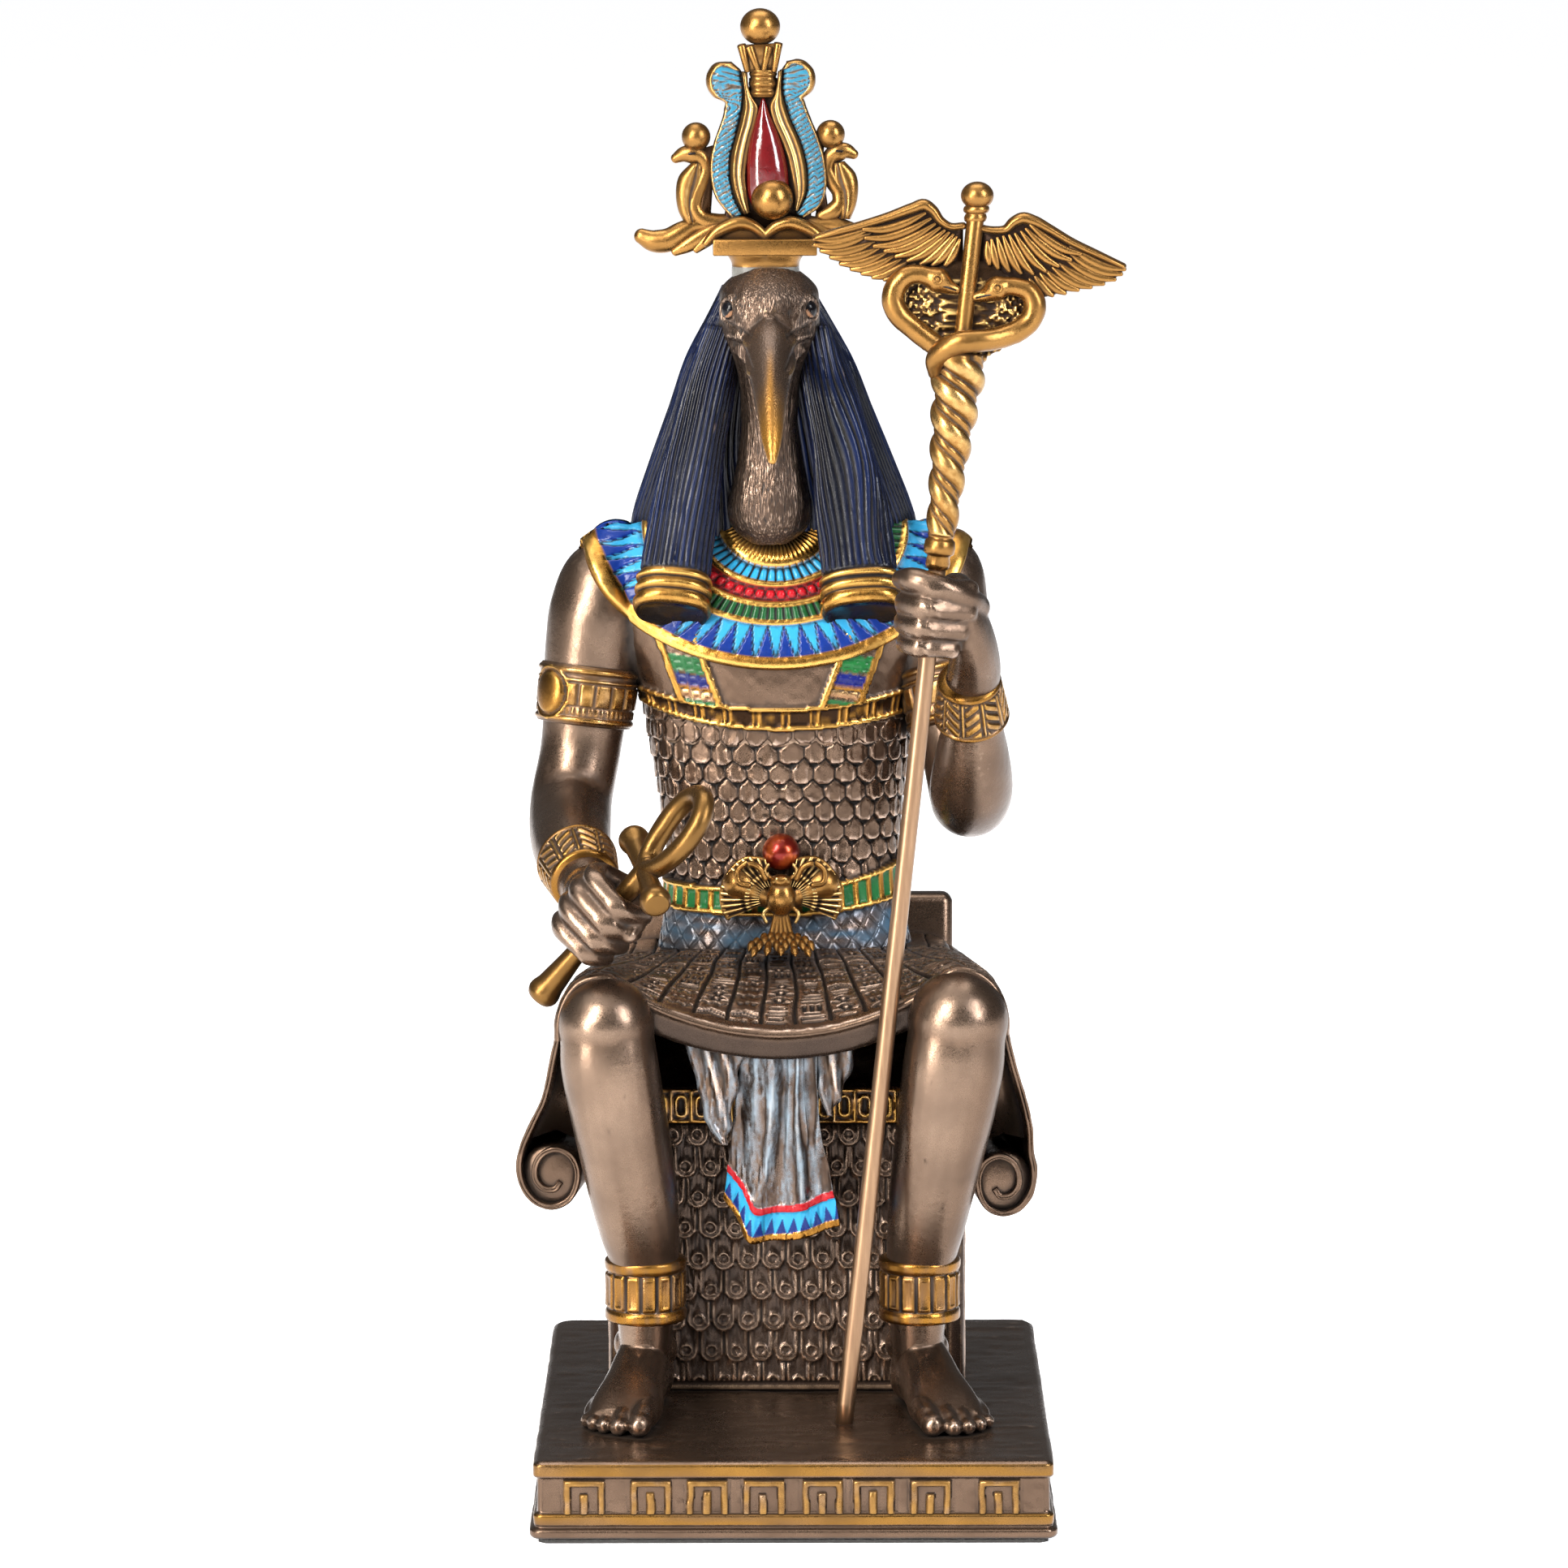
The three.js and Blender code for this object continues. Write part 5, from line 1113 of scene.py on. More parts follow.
def bracelet_relief(at, turn, points):
    rail = np.clip(1.4 - np.minimum(at + 5, 4.2 - at) / 0.55, 0, 1)
    x = turn * 6.7 / 4.2
    vein = saw(x)
    leaf = 1 - step(saw((at + 0.4) / 2.3 + (np.floor(x) % 2 * 2 - 1) * (x % 1) * 1.3), 0.45, 0.8)
    height = 0.55 * rail + (rail < 0.1) * np.maximum(0.5 * leaf * (vein < 0.74), 0.5 * (vein > 0.88))
    return height, 0.05 + 1.7 * height + 0.3 * noise(points, 1.3, 51)


ARMLET = [(-5.9, 7.6), (-5.7, 9.3), (-5.2, 9.45), (5.2, 9.1), (5.7, 9.0), (5.9, 7.4)]
BRACELET = [(-5.3, 5.6), (-5.1, 7.2), (-4.6, 7.25), (3.8, 6.2), (4.3, 6.1), (4.5, 4.6)]
gilding = [
    arm_ring("left", 4, -0.1, ARMLET, armlet_relief), arm_ring("right", 4, -0.1, ARMLET, armlet_relief),
    arm_ring("left", 8, 1.0, BRACELET, bracelet_relief),
    arm_ring("right", 9, 0.75, [(a, r - 0.6) for a, r in BRACELET], bracelet_relief)]
cast_on("arm_rings", join_parts(gilding), 0.7)


# Hands. Two fists of the same casting: each finger is bent round the bar that it grips, with the
# thumb laid across the front.
ANKH_UP = unit(np.array([0.61, -0.2, 0.765]))
ANKH_ARM = np.array([0.2, -0.898, -0.394])
ANKH_ARM = unit(ANKH_ARM - ANKH_UP * (ANKH_ARM @ ANKH_UP))
ANKH_CROSS = np.array([-27.6, -27.4, 120.4])
STAFF_FOOT, STAFF_TIP = np.array([9.6, -30.5, 15.7]), np.array([34.5, -25, 246.1])
STAFF_AXIS = unit(STAFF_TIP - STAFF_FOOT)
SHAFT_RADIUS = 1.65


def on_ankh(up, arm=0.0):
    return ANKH_CROSS + ANKH_UP * up + ANKH_ARM * arm


def on_staff(z):
    return STAFF_FOOT + STAFF_AXIS * (z - STAFF_FOOT[2]) / STAFF_AXIS[2]


def fist(centre, axis, wrist, side, palm, thumb, pitch=3.75, spread=(1, 1, 1, 1), first=0):
    wrist = unit(wrist - axis * (axis @ wrist))
    side = unit(np.cross(axis, wrist)) * np.sign(np.cross(axis, wrist) @ side)
    shells = [tube(palm, 22, 0.5), tube(thumb, 16, 0.4)]
    bends = [(-25, 7.2, 1.6), (40, 7.0, 1.9), (82, 6.9, 2.15), (115, 6.2, 1.95), (152, 6.6, 2.1),
        (190, 5.5, 1.85), (228, 5.2, 1.8), (280, 4.4, 1.5)]
    for i, size in enumerate((0.98, 1.04, 1.0, 0.88)):
        middle = centre + axis * (1.5 - i) * pitch
        path = []
        for angle, reach, thick in bends[first:]:
            reach = reach * (spread[i] if angle < 130 else 1)
            angle = math.radians(angle + (3 * i if angle > 60 else 0))
            path.append((*(middle + reach * size * (math.cos(angle) * wrist + math.sin(angle) * side)),
                thick * size))
        shells.append(tube(path, 20, 0.4, power=2.8))
    # The fists carry a painted highlight on the side turned towards the lights.
    return fuse(shells, 0.38, 2, spread=12, depth=0.55, rubbed_and_highlit=0.2)


left_hand = fist(
    on_ankh(-12.4), ANKH_UP, np.array([-0.31, 0.83, 0.47]), np.array([-0.73, -0.52, 0.44]),
    [(-38.6, -15.5, 115.4, 4.6, 4.6), (-38, -20, 114.6, 5, 5.4), (-36.6, -24, 113.2, 4.4, 6)],
    [(-34, -18.5, 116, 2.6), (-29.8, -23, 114.2, 2.5), (-29.2, -28, 111.2, 2.2), (-30.4, -31, 108.8, 1.7)])
right_hand = fist(
    on_staff(168.2), STAFF_AXIS, np.array([0.58, 0.81, -0.09]), np.array([0.81, -0.59, 0]),
    [(34.0, -10.4, 147.4, 5.0, 4.9), (33.8, -14.6, 153, 5.2, 4.9), (34.2, -19, 158, 4.9, 5.2),
        (33.6, -23.2, 163.4, 4.3, 6.0),
     (32.0, -26.0, 168.6, 3.8, 6.0), (30.6, -26.4, 172.8, 3.4, 4.8)],
    [(34.2, -25.4, 169.6, 2.8), (31.8, -30.6, 172.2, 2.5), (27.2, -32.8, 174.2, 2.4),
        (22.6, -31.6, 175.4, 2.4), (20.4, -28, 175.2, 1.9)], spread=(1.0, 0.97, 0.9, 0.8), first=2)
cast_on("left_hand", left_hand, 0.6)
cast_on("right_hand", right_hand, 0.6)


# Kilt. One cast cloth over both thighs, sagging between the knees: columns of short carved marks on
# the lap, a rolled hem rubbed bright, and an edge turned down under it that is painted dark as shade.
CREST_LEFT, CREST_RIGHT, KILT_BACK = (-36.2, 100.4), (31.5, 101.6), 45.0
MARK_COLUMN = 5.0


def kilt_outline(y):
    """The kilt's section at a depth: up the left thigh, across the lap and down the right thigh."""
    t = np.clip((y + 26.5) / 36, 0, 1)
    middle = 89.4 + 12.1 * t ** 0.75
    back = max(0.0, y + 17) / (KILT_BACK + 17)
    u = np.linspace(-1, 1, 9)
    centre, span = (CREST_LEFT[0] + CREST_RIGHT[0]) / 2, (CREST_RIGHT[0] - CREST_LEFT[0]) / 2
    crest = np.where(u < 0, CREST_LEFT[1], CREST_RIGHT[1])
    top = np.stack([centre + u * span, middle + (crest - middle) * u * u], 1)
    line = np.concatenate([
        [(-44.3, 88), (-44.3, 91), (-43.4, 94.8), (-40.6, 98.9)], top,
        [(36.2, 99.9), (39.3, 95.8), (40.2, 92), (40.2, 89)]])
    rise = np.clip((line[:, 1] - 77) / 12, 0, 1)
    return np.stack([line[:, 0] * (1 - 0.16 * back), line[:, 1] - 5 * back * rise], 1)


def strokes(kind, dx, dy, tall, draw):
    """The distance to each stroke of a carved mark, and its half width. None of the marks is a letter."""
    if kind == "bars":
        for k in range(draw.choice((2, 3))):
            reach = draw.uniform(0.7, 1.6)
            yield np.hypot(np.maximum(np.abs(dx) - reach, 0), dy - tall * (k / 2.2 - 0.4)), 0.2
    elif kind == "posts":
        for k in (-1.1, 0, 1.1):
            yield np.hypot(dx - k, np.maximum(np.abs(dy) - tall * 0.3, 0)), 0.2
    elif kind == "lozenge":
        yield np.abs(np.abs(dx) + 1.1 * np.abs(dy) - 1.0) * 0.75, 0.2
        yield np.hypot(np.maximum(np.abs(dx) - 1.7, 0), dy + 1.2), 0.2
    elif kind == "dots":
        for k in range(3):
            yield np.hypot(dx - (k - 1) * 1.1, dy - 0.4 * (k % 2)), 0.28
    elif kind == "chevrons":
        for k in (-0.5, 0.5):
            yield np.abs(dy - k + 0.55 * np.abs(dx)) * 0.88, 0.2
    else:
        yield np.abs(dy - 0.5 * (np.abs((dx / 0.9) % 2 - 1) * 2 - 1)), 0.2


def kilt():
    levels = np.concatenate([np.linspace(45, 20, 14)[:-1], np.linspace(20, -26.5, 172)])
    rows = []
    for y in levels:
        line = resample(np.insert(kilt_outline(y), 1, 0, axis=1), 0.1)
        run = np.linspace(0, 1, len(line))
        spot = np.linspace(0, 1, 450)
        rows.append(np.stack([np.interp(spot, run, line[:, 0]), np.full(450, y),
            np.interp(spot, run, line[:, 2])], 1))
    rows = np.array(rows)
    hem = rows[-1]
    tangent = unit(np.gradient(hem, axis=0))
    inward = np.stack([tangent[:, 2], 0 * tangent[:, 0], -tangent[:, 0]], 1)
    turned = []
    for sink, ahead in (
            (0.1, 0.5), (0.35, 0.8), (0.7, 0.8), (1.0, 0.5), (1.4, 0.2), (2.0, 0.1), (2.8, 0.1), (3.7, 0.1),
            (4.5, -0.1), (5.1, -0.6), (5.4, -1.8), (5.4, -4.5), (5.2, -9.0)):
        turned.append(hem + inward * sink + np.array([0, -ahead, 0]))
    hem_row = len(rows) - 1
    points = np.concatenate([rows, turned])
    shape = points.shape[:2]
    x, y, z = points[..., 0], points[..., 1], points[..., 2]
    row = np.arange(shape[0])[:, None] + 0 * x
    lap = row <= hem_row

    # Columns fan out a little towards the knees. The outermost, down the outside of the thighs, stay plain.
    fan = (x + 2.4) / (1 + 0.012 * np.clip(-y, -10, 30)) + 0.35 * noise(points, 8, 60)
    to_edge = (0.5 - np.abs((fan / MARK_COLUMN + 0.5) % 1 - 0.5)) * MARK_COLUMN
    groove = (1 - step(to_edge, 0.14, 0.4)) * (np.abs(fan) < 38)
    draw = random.Random(7)
    marks = np.zeros(shape)
    for c in range(-8, 9):
        here = (np.abs(fan - c * MARK_COLUMN) < 2.1) & (abs(c) < 8)
        level = 14.0
        while level > -23.5:
            kind = draw.choice(("bars", "bars", "posts", "lozenge", "dots", "chevrons", "zigzag"))
            tall = draw.uniform(1.9, 3.0)
            dx, dy = fan - (c * MARK_COLUMN + draw.uniform(-0.25, 0.25)), y - (level - tall / 2)
            near = here & (np.abs(dy) < tall / 2 + 0.3)
            for gap, half in strokes(kind, dx, dy, tall, draw):
                marks = np.maximum(marks, near * (1 - step(gap, half, half + 0.22)))
            level -= tall + 0.55
    on_lap = lap & (y > -24.6)
    margin = step(y, -24.9, -24.2)
    height = 0.08 * noise(points, 1.4, 61)
    marks, groove = (f * margin * on_lap * step(z, 78, 86) for f in (marks, groove))
    height = height - 0.55 * marks - 0.6 * groove
    height = height + np.where(lap, 0.3 * (1 - step(y, -26.2, -24.9)), 0)
    hem_near = np.clip(1 - np.abs(row - hem_row - 1) / 3.0, 0, 1)
    height = height + 0.3 * hem_near
    # The rows turned under the hem are painted near-black as painted shade; the carved marks and grooves take
    # the dark wash.
    cover = np.maximum(np.maximum(marks, groove) * 0.95, 0.7 * step(row, hem_row + 3.5, hem_row + 6))
    wash = flood(shape, "#120b07", np.clip(cover, 0, 1))
    return grid_part(points, height, paint=wash, gilt=0.6, facing=(0, -0.4, 1), reach=(3, 3), depth=0.4)


cast_on("kilt", kilt(), 0.4)


# Apron. A folded strip of the casting hanging between the shins, drybrushed grey-blue over the
# bronze, its left third turned back, with a painted hem of darts between red and gilt edges.
APRON = [
    (88, -23.6, -9.9, -4.4, 4.9), (81, -22.4, -10, -4.4, 4.7), (76, -20.5, -10.6, -4.7, 4.8),
    (69, -18.5, -11.4, -5, 5.4), (60, -16.5, -12.6, -5.6, 7.2), (53.5, -15.5, -13.4, -7, 8.6),
    (46, -14.6, -14.2, -8.4, 9.8)]


def apron():
    rows, columns = 170, 170
    share = np.linspace(0, 1, columns)
    stops = np.array([0, 0.16, 0.34, 0.47, 0.72, 0.9, 1.0])
    drop = through(share, stops, [1.5, -2, -6.6, -6.4, -5.6, -4, -3.2])
    ahead = through(share, stops, [3, 1.4, -1, 0.6, -1, 0.4, -0.6])
    w = np.linspace(0, 1, rows)[:, None]
    z = (53.5 + drop)[None] * (1 - w) + 87 * w
    table = np.array(APRON)[::-1]
    y0, left, fold, right = (through(z, table[:, 0], table[:, k]) for k in (1, 2, 3, 4))
    places = [left, (left + fold) / 2, fold, fold + 3.2, (fold + right) / 2 + 1, right - 2.6, right]
    x = np.zeros_like(z)
    for k in range(6):
        part = (share >= stops[k]) & (share <= stops[k + 1])
        t = (share - stops[k]) / (stops[k + 1] - stops[k])
        x = np.where(part[None], places[k] * (1 - t) + places[k + 1] * t, x)
    x = 0.5 * x + 0.5 * blur(x, 6, 0)
    points = np.stack([x, y0 + ahead[None] + 0.0 * w, z], -1)
    up = z - (53.5 + drop)[None]
    gather = np.sin(share[None] * 34 + 1.4 * noise(points, (9, 9, 22), 70) + 0.03 * z)
    height = ((0.4 * gather * step(up, 3, 20) * step(w, -0.1, 0.5) + 0.55 * noise(points, (1.5, 3, 11), 71))
        * step(up, 5.6, 8))
    height = height + 0.12 * noise(points, (0.5, 3, 2.4), 72)
    paint, gilt = np.zeros(z.shape + (4,)), np.zeros(z.shape)
    cloth = up >= 7.0
    lay(paint, gilt, cloth, "#8d9eab", 0.25)
    ridge = height - blur(height, 6, 3)
    brushed = (0.5 + 1.6 * ridge + 0.5 * noise(points, (1.3, 3, 7), 73)
        + 0.35 * noise(points, (0.35, 3, 0.6), 74))
    brushed = np.clip(brushed - 0.018 * (76 - z), 0.05, 0.95)
    paint[..., 3] = np.where(cloth, brushed, 1)
    lay(paint, gilt, (up < 7.0) & (up >= 5.5), "#b01820")
    band = (up < 5.5) & (up >= 1.4)
    lay(paint, gilt, band, "#2fa0cf")
    dart = saw(share[None] * 11.5 + 0 * up)
    darts = band & (dart < 0.82 * (1 - (up - 1.6) / 2.8))
    lay(paint, gilt, darts, "#0f2a70")
    lay(paint, gilt, up < 1.4, GILT_PAINT, 1)
    height = (height + np.where((up < 7.0) & (up >= 5.5), 0.25, 0) + np.where(up < 1.4, 0.3, 0)
        + np.where(darts, 0.15, 0))
    front = grid_part(points, height, paint=paint, gilt=gilt, facing=(0, -1, 0), reach=(4, 3), depth=0.35)
    back = grid_part(points + np.array([0, 1.7, 0]), None, facing=(0, 1, 0))
    sheet = join_parts([front, back])
    bm = bmesh.new()
    bm.from_mesh(sheet.data)
    bmesh.ops.bridge_loops(bm, edges=[e for e in bm.edges if e.is_boundary])
    bm.to_mesh(sheet.data)
    bm.free()
    return sheet


def flat_casting(edge_a, edge_b, y, thick, around=72, cell=0.35, power=3.0):
    """A flat form between two edge lines of (x, z), with how far each point lies across and along it."""
    a, b = (np.array([(px, y, pz) for px, pz in edge]) for edge in (edge_a, edge_b))
    run = np.concatenate([[0], np.cumsum(np.linalg.norm(np.diff((a + b) / 2, axis=0), axis=1))])
    at = np.linspace(0, run[-1], int(run[-1] / cell) + 2)
    a, b = through(at, run, a), through(at, run, b)
    turn = np.linspace(0, 2 * np.pi, around + 1)
    c = np.sign(np.cos(turn)) * np.abs(np.cos(turn)) ** (2 / power)
    points = rings((a + b) / 2, (b - a) / 2, np.repeat([[0, thick, 0]], len(at), 0), around, power)
    across = (c + 1) / 2 + 0 * points[..., 0]
    return points, across, at[:, None] + 0 * across, np.linalg.norm(b - a, axis=1)[:, None] + 0 * across


def gathered_fold(outer, inner, seed):
    """A short bunch of folds beside the apron, tapering to a point under the kilt's hem."""
    points, across, _, wide = flat_casting(outer, inner, -20.6, 1.7, 150, 0.3, 2.6)
    folds = np.sin(across * wide * 1.9 + 1.2 * noise(points, (9, 9, 9), seed) + 1.2)
    height = 0.4 * folds + 0.2 * noise(points, (0.6, 3, 3), seed + 1)
    streaks = noise(points, (0.5, 3, 4), seed + 2)
    cover = np.clip(0.25 + 0.2 * folds + 0.5 * streaks + 0.3 * noise(points, 0.4, seed + 3), 0, 0.7)
    return shell(points, height=height, paint=flood(height.shape, "#7c8c98", cover), reach=(4, 3), depth=0.35)


cast_on("apron", join_parts([
    apron(),
    gathered_fold([(-20.2, 87), (-18.4, 81), (-17, 75.5), (-15.9, 71), (-13.4, 67.4)],
                  [(-9.2, 87), (-9.9, 81), (-11, 75.5), (-11.7, 71), (-12.5, 67.1)], 75),
    gathered_fold([(3.8, 87), (4.4, 81.4), (5.2, 76.8), (6.6, 72.9)],
                  [(12.4, 87), (11, 81.4), (9.4, 76.8), (7.4, 72.7)], 79)]), 0.45)


# Side falls. The kilt's edges hang beside the throne and roll up into scrolls at the bottom, all in
# the same casting.
SCROLL = [
    (-51.4, 65.1), (-52, 62.4), (-51.1, 57.3), (-48.6, 54.5), (-45.7, 53.7), (-42.8, 54.9), (-41.2, 57.8),
    (-41, 61), (-42.5, 63.8), (-45.2, 64.8), (-47.7, 63.7), (-49, 61.3), (-48.8, 58.8), (-47.2, 57.2),
    (-45.3, 57.1), (-44.2, 58.5)]
LEFT_FALL = [
    (-42.3, 95.1), (-43.4, 91), (-44.2, 88), (-45.1, 84), (-45.9, 80), (-47, 75.4), (-49.4, 70), *SCROLL]
RIGHT_FALL = [
    (38, 96.1), (39.5, 91.5), (40.2, 88.2), (41.4, 83), (42.5, 79), (43.9, 74.1), (44.9, 69),
    *((34.7 - 0.96 * (px + 40.4), pz - 1.5) for px, pz in SCROLL)]
FALL_THICK = 1.2


def side_fall(line, fill, core):
    """One edge of the cloth drawn back to the backrest, a mass filling it and a core sunk in its scroll."""
    middle = resample([(px, 0, pz) for px, pz in line], 0.4)
    tangent = unit(np.gradient(middle, axis=0))
    across = np.stack([tangent[:, 2], 0 * tangent[:, 0], -tangent[:, 0]], 1) * FALL_THICK / 2
    mass = np.array([(px, 0, pz) for px, pz in fill + fill[:1]], float)

    def drawn_back(loop, t, sunk=0.0):
        """The section at a share of the way back, where the falls come closer together and sink."""
        front = loop + np.outer(sunk - 14 - 11.8 * np.clip((loop[:, 2] - 64) / 27, 0, 1), (0, 1, 0))
        back = (loop * (0.87, 0, 1) - np.outer(7 * np.clip((loop[:, 2] - 50) / 42, 0, 1), (0, 0, 1))
            + (0, 42, 0))
        return front * (1 - t) + back * t

    def section(share):
        both = np.concatenate([middle + across * share, (middle - across * share)[::-1]])
        return np.concatenate([both, both[:1]])

    depths = (0, 0.005, 0.015, *np.linspace(0.03, 1, 60))
    rows = [drawn_back(section(share), 0) - (0, rise, 0)
        for share, rise in ((0.02, 0.25), (0.3, 0.35), (0.62, 0.4), (0.88, 0.25))]
    cloth = np.array(rows + [drawn_back(section(1.0), t) for t in depths])
    height = 0.09 * noise(cloth, (3, 14, 3), 80) + 0.05 * noise(cloth, 1.5, 81)
    return join_parts([
        shell(cloth, height=height, reach=(3, 3), depth=0.35),
        shell(np.array([drawn_back(mass, t, 5.0) for t in depths])),
        shell(tube(core, 40, 2.0, power=2.2, ends=(0.2, 0.2)))])


falls = join_parts([
    side_fall(
        LEFT_FALL, [(-34, 92), (-44.4, 92), (-46, 80), (-50.2, 66), (-45, 68), (-41, 66), (-34, 64)],
        [(-46.2, -12.2, 59.7, 5.3, 5.6), (-40.4, 41, 58, 4.6, 5.4)]),
    side_fall(
        RIGHT_FALL, [(31, 94), (39, 94), (41, 87), (43.6, 70), (44.2, 66), (40, 67), (36, 65.4), (31, 62)],
        [(40.2, -12.2, 58.2, 5.1, 5.6), (35.1, 41, 56.7, 4.4, 5.4)])])
cast_on("side_falls", falls, 0.25)


# Girdle clasp. A winged scarab pushing a red-lacquered ball, with a spray of buds below, cast on the
# belt and gilt with dark wash left in the feathers.
SCARAB_X, SCARAB_Y = -2.2, 9.4
antique_gold = cast_finish(
    "antique_gold_paint", linear("#8a6434"), linear("#1a0f07"), linear("#e4c27e"), 0.95, 0.3)


def clasp_wing(side):
    """Feathers spread from the body in a fan, each a rounded ridge, under a curled shoulder."""
    turn = np.radians(np.linspace(-28, 78, 90))[None] + 0 * np.zeros((26, 1))
    out = np.linspace(3.0, 10.4, 26)[:, None] + 0 * turn
    out = out * (1 - 0.18 * step(turn, 0.9, 1.4))
    x = SCARAB_X + side * (1.2 + out * np.cos(turn) * 0.98)
    z = 109.6 + out * np.sin(turn) * 0.86
    y = SCARAB_Y - 1.6 + 0.018 * out ** 2
    points = np.stack([x, y, z], -1)
    feather = saw(turn / (2 * np.pi) * 44)
    rib = np.abs(out - 5.4) < 0.4
    height = 0.75 * dome(feather / 0.8) + 0.5 * rib
    shade = np.maximum(step(feather, 0.55, 0.85) * ~rib, step(np.abs(out - 6.3), 0.5, 0.2))
    dark = flood(out.shape, "#140b05", shade)
    front = grid_part(points, height, paint=dark, gilt=0.5, facing=(0, -1, 0), reach=(2, 2), depth=0.25)
    rim = tube([(*p, 0.5) for p in points[-1, ::8]], 12, 0.5)
    curl = tube([(SCARAB_X + side * far, SCARAB_Y - near, level, 0.58) for far, near, level in (
        (3.0, 2, 113.4), (4.2, 2.2, 115.6), (6.6, 2.2, 116.4), (8.4, 1.9, 114.8), (8.0, 2.2, 112.6),
        (6.2, 2.4, 112.2))], 12, 0.4)
    core = tube([(SCARAB_X + side * 1.5, SCARAB_Y + 0.4, 109, 2),
        (SCARAB_X + side * 8, SCARAB_Y + 1, 112, 3.4)], 16, 0.8)
    return [front] + [shell(s) for s in (rim, curl, core)]


def clasp():
    x, y = SCARAB_X, SCARAB_Y
    shells = [
        ball(x, y - 1.4, 109.6, 2.8, (1, 0.95, 1.3)), ball(x, y - 2.2, 113.0, 1.9, (1.1, 0.9, 0.7)),
        ball(x - 0.8, y - 3.4, 113.6, 0.45, around=12), ball(x + 0.8, y - 3.4, 113.6, 0.45, around=12)]
    for s in (-1, 1):
        for limb in (
                ((1.6, 1.6, 113.2, 0.5), (3.1, 2.0, 114.8, 0.45), (2.4, 2.2, 116.2, 0.4)),
                ((2, 1.8, 108, 0.5), (3.4, 2.4, 106.6, 0.45), (2.8, 2.6, 105, 0.4))):
            shells.append(tube([(x + s * far, y - near, level, r) for far, near, level, r in limb], 10, 0.4))
    body = fuse(shells, 0.3, 2, spread=6, depth=0.2)
    parts = [body] + clasp_wing(-1) + clasp_wing(1)
    for k in range(-2, 3):
        parts.append(shell(tube([
            (x + k * 0.5, y - 1.6, 106.4, 0.5), (x + k * 0.75, y - 3.4, 104.2, 0.55),
            (x + k * 1.0, y - 5.0, 102.6, 0.6)], 12, 0.4)))
    draw = random.Random(3)
    for out, wide, count in ((5.6, 3.2, 6), (7.2, 4.6, 7), (8.8, 5.6, 8), (10.6, 5.0, 5)):
        for k in range(count):
            t = (k / (count - 1) - 0.5) * 2
            base = np.array([x + wide * t, y - out, 102.9 - 0.35 * (out - 5.6) + draw.uniform(-0.2, 0.2)])
            tip = base + (0.5 * t, -1.9, -0.95)
            spike = tube([(*base, 0.75), (*((base + tip) / 2), 0.7), (*tip, 0.15)], 10, 0.35)
            parts.append(weld(grid_part(spike, closed=True), cap=True))
    return join_parts(parts)


cast_on("girdle_clasp", clasp(), finish=antique_gold)

# Red lacquer over bronze: deep and glossy, thinner and coppery where it catches the brush.
red_lacquer = two_tone(
    "red_lacquer_on_bronze", 3.5, 4.0, "#6a1409", "#b0541f",
    {"Metallic": 0.8, "Roughness": 0.3, "Coat Weight": 0.2}, span=(0.45, 0.7))
sun_ball = grid_part(ball(SCARAB_X, SCARAB_Y + 0.6, 118.2, 3.6), closed=True)
cast_on("clasp_ball", sun_ball, finish=red_lacquer)


# Head. An ibis's neck, skull and long bent beak, cast with the figure: the skin is chased with fine
# upright feathers, the beak is smooth and brushed with gold towards its tip.
HEAD = [
    (177.4, 3.4, 4.0, 14.4), (179.2, 6.1, 6.2, 14.9), (182.8, 8.0, 8.2, 15.4), (186.4, 7.7, 8.1, 15.2),
    (190, 6.9, 7.4, 15), (195, 6.1, 6.8, 15), (203, 5.6, 7.2, 14.6), (210.6, 6.5, 9.4, 14.2),
    (214.5, 8.0, 11, 14), (218.7, 9.5, 12.3, 14.4), (222.5, 9.5, 12.4, 14.8), (227, 8.6, 10.8, 15.4),
    (230.2, 4.6, 6, 16.4)]
BEAK = [
    (-4.1, 9, 220.6, 2.2, 3.2), (-4.1, 6, 219, 3.9, 3.8), (-4.1, 2, 216.6, 5.0, 4.3),
    (-4, -3.4, 212.8, 4.5, 4), (-3.9, -8.2, 208.4, 3.35, 3.3), (-3.8, -12.2, 203.7, 2.5, 2.5),
    (-3.7, -15.6, 199.5, 1.85, 1.7), (-3.6, -17.8, 196.4, 0.95, 0.9)]
FACE_X = -4.2


def face_y(x, z):
    """How far forward the skull's surface lies at a place on the face."""
    rows = np.array(HEAD)
    rx, ry, cy = (np.interp(z, rows[:, 0], rows[:, k]) for k in (1, 2, 3))
    return float(cy - ry * math.sqrt(max(0.0, 1 - (x / rx) ** 2)))


def line_gap(x, z, line):
    """How far each point is from a bent line on the face."""
    best = np.full(x.shape, 9.0)
    for (x0, z0), (x1, z1) in zip(line, line[1:]):
        t = np.clip(((x - x0) * (x1 - x0) + (z - z0) * (z1 - z0)) / ((x1 - x0) ** 2 + (z1 - z0) ** 2), 0, 1)
        best = np.minimum(best, np.hypot(x - x0 - t * (x1 - x0), z - z0 - t * (z1 - z0)))
    return best


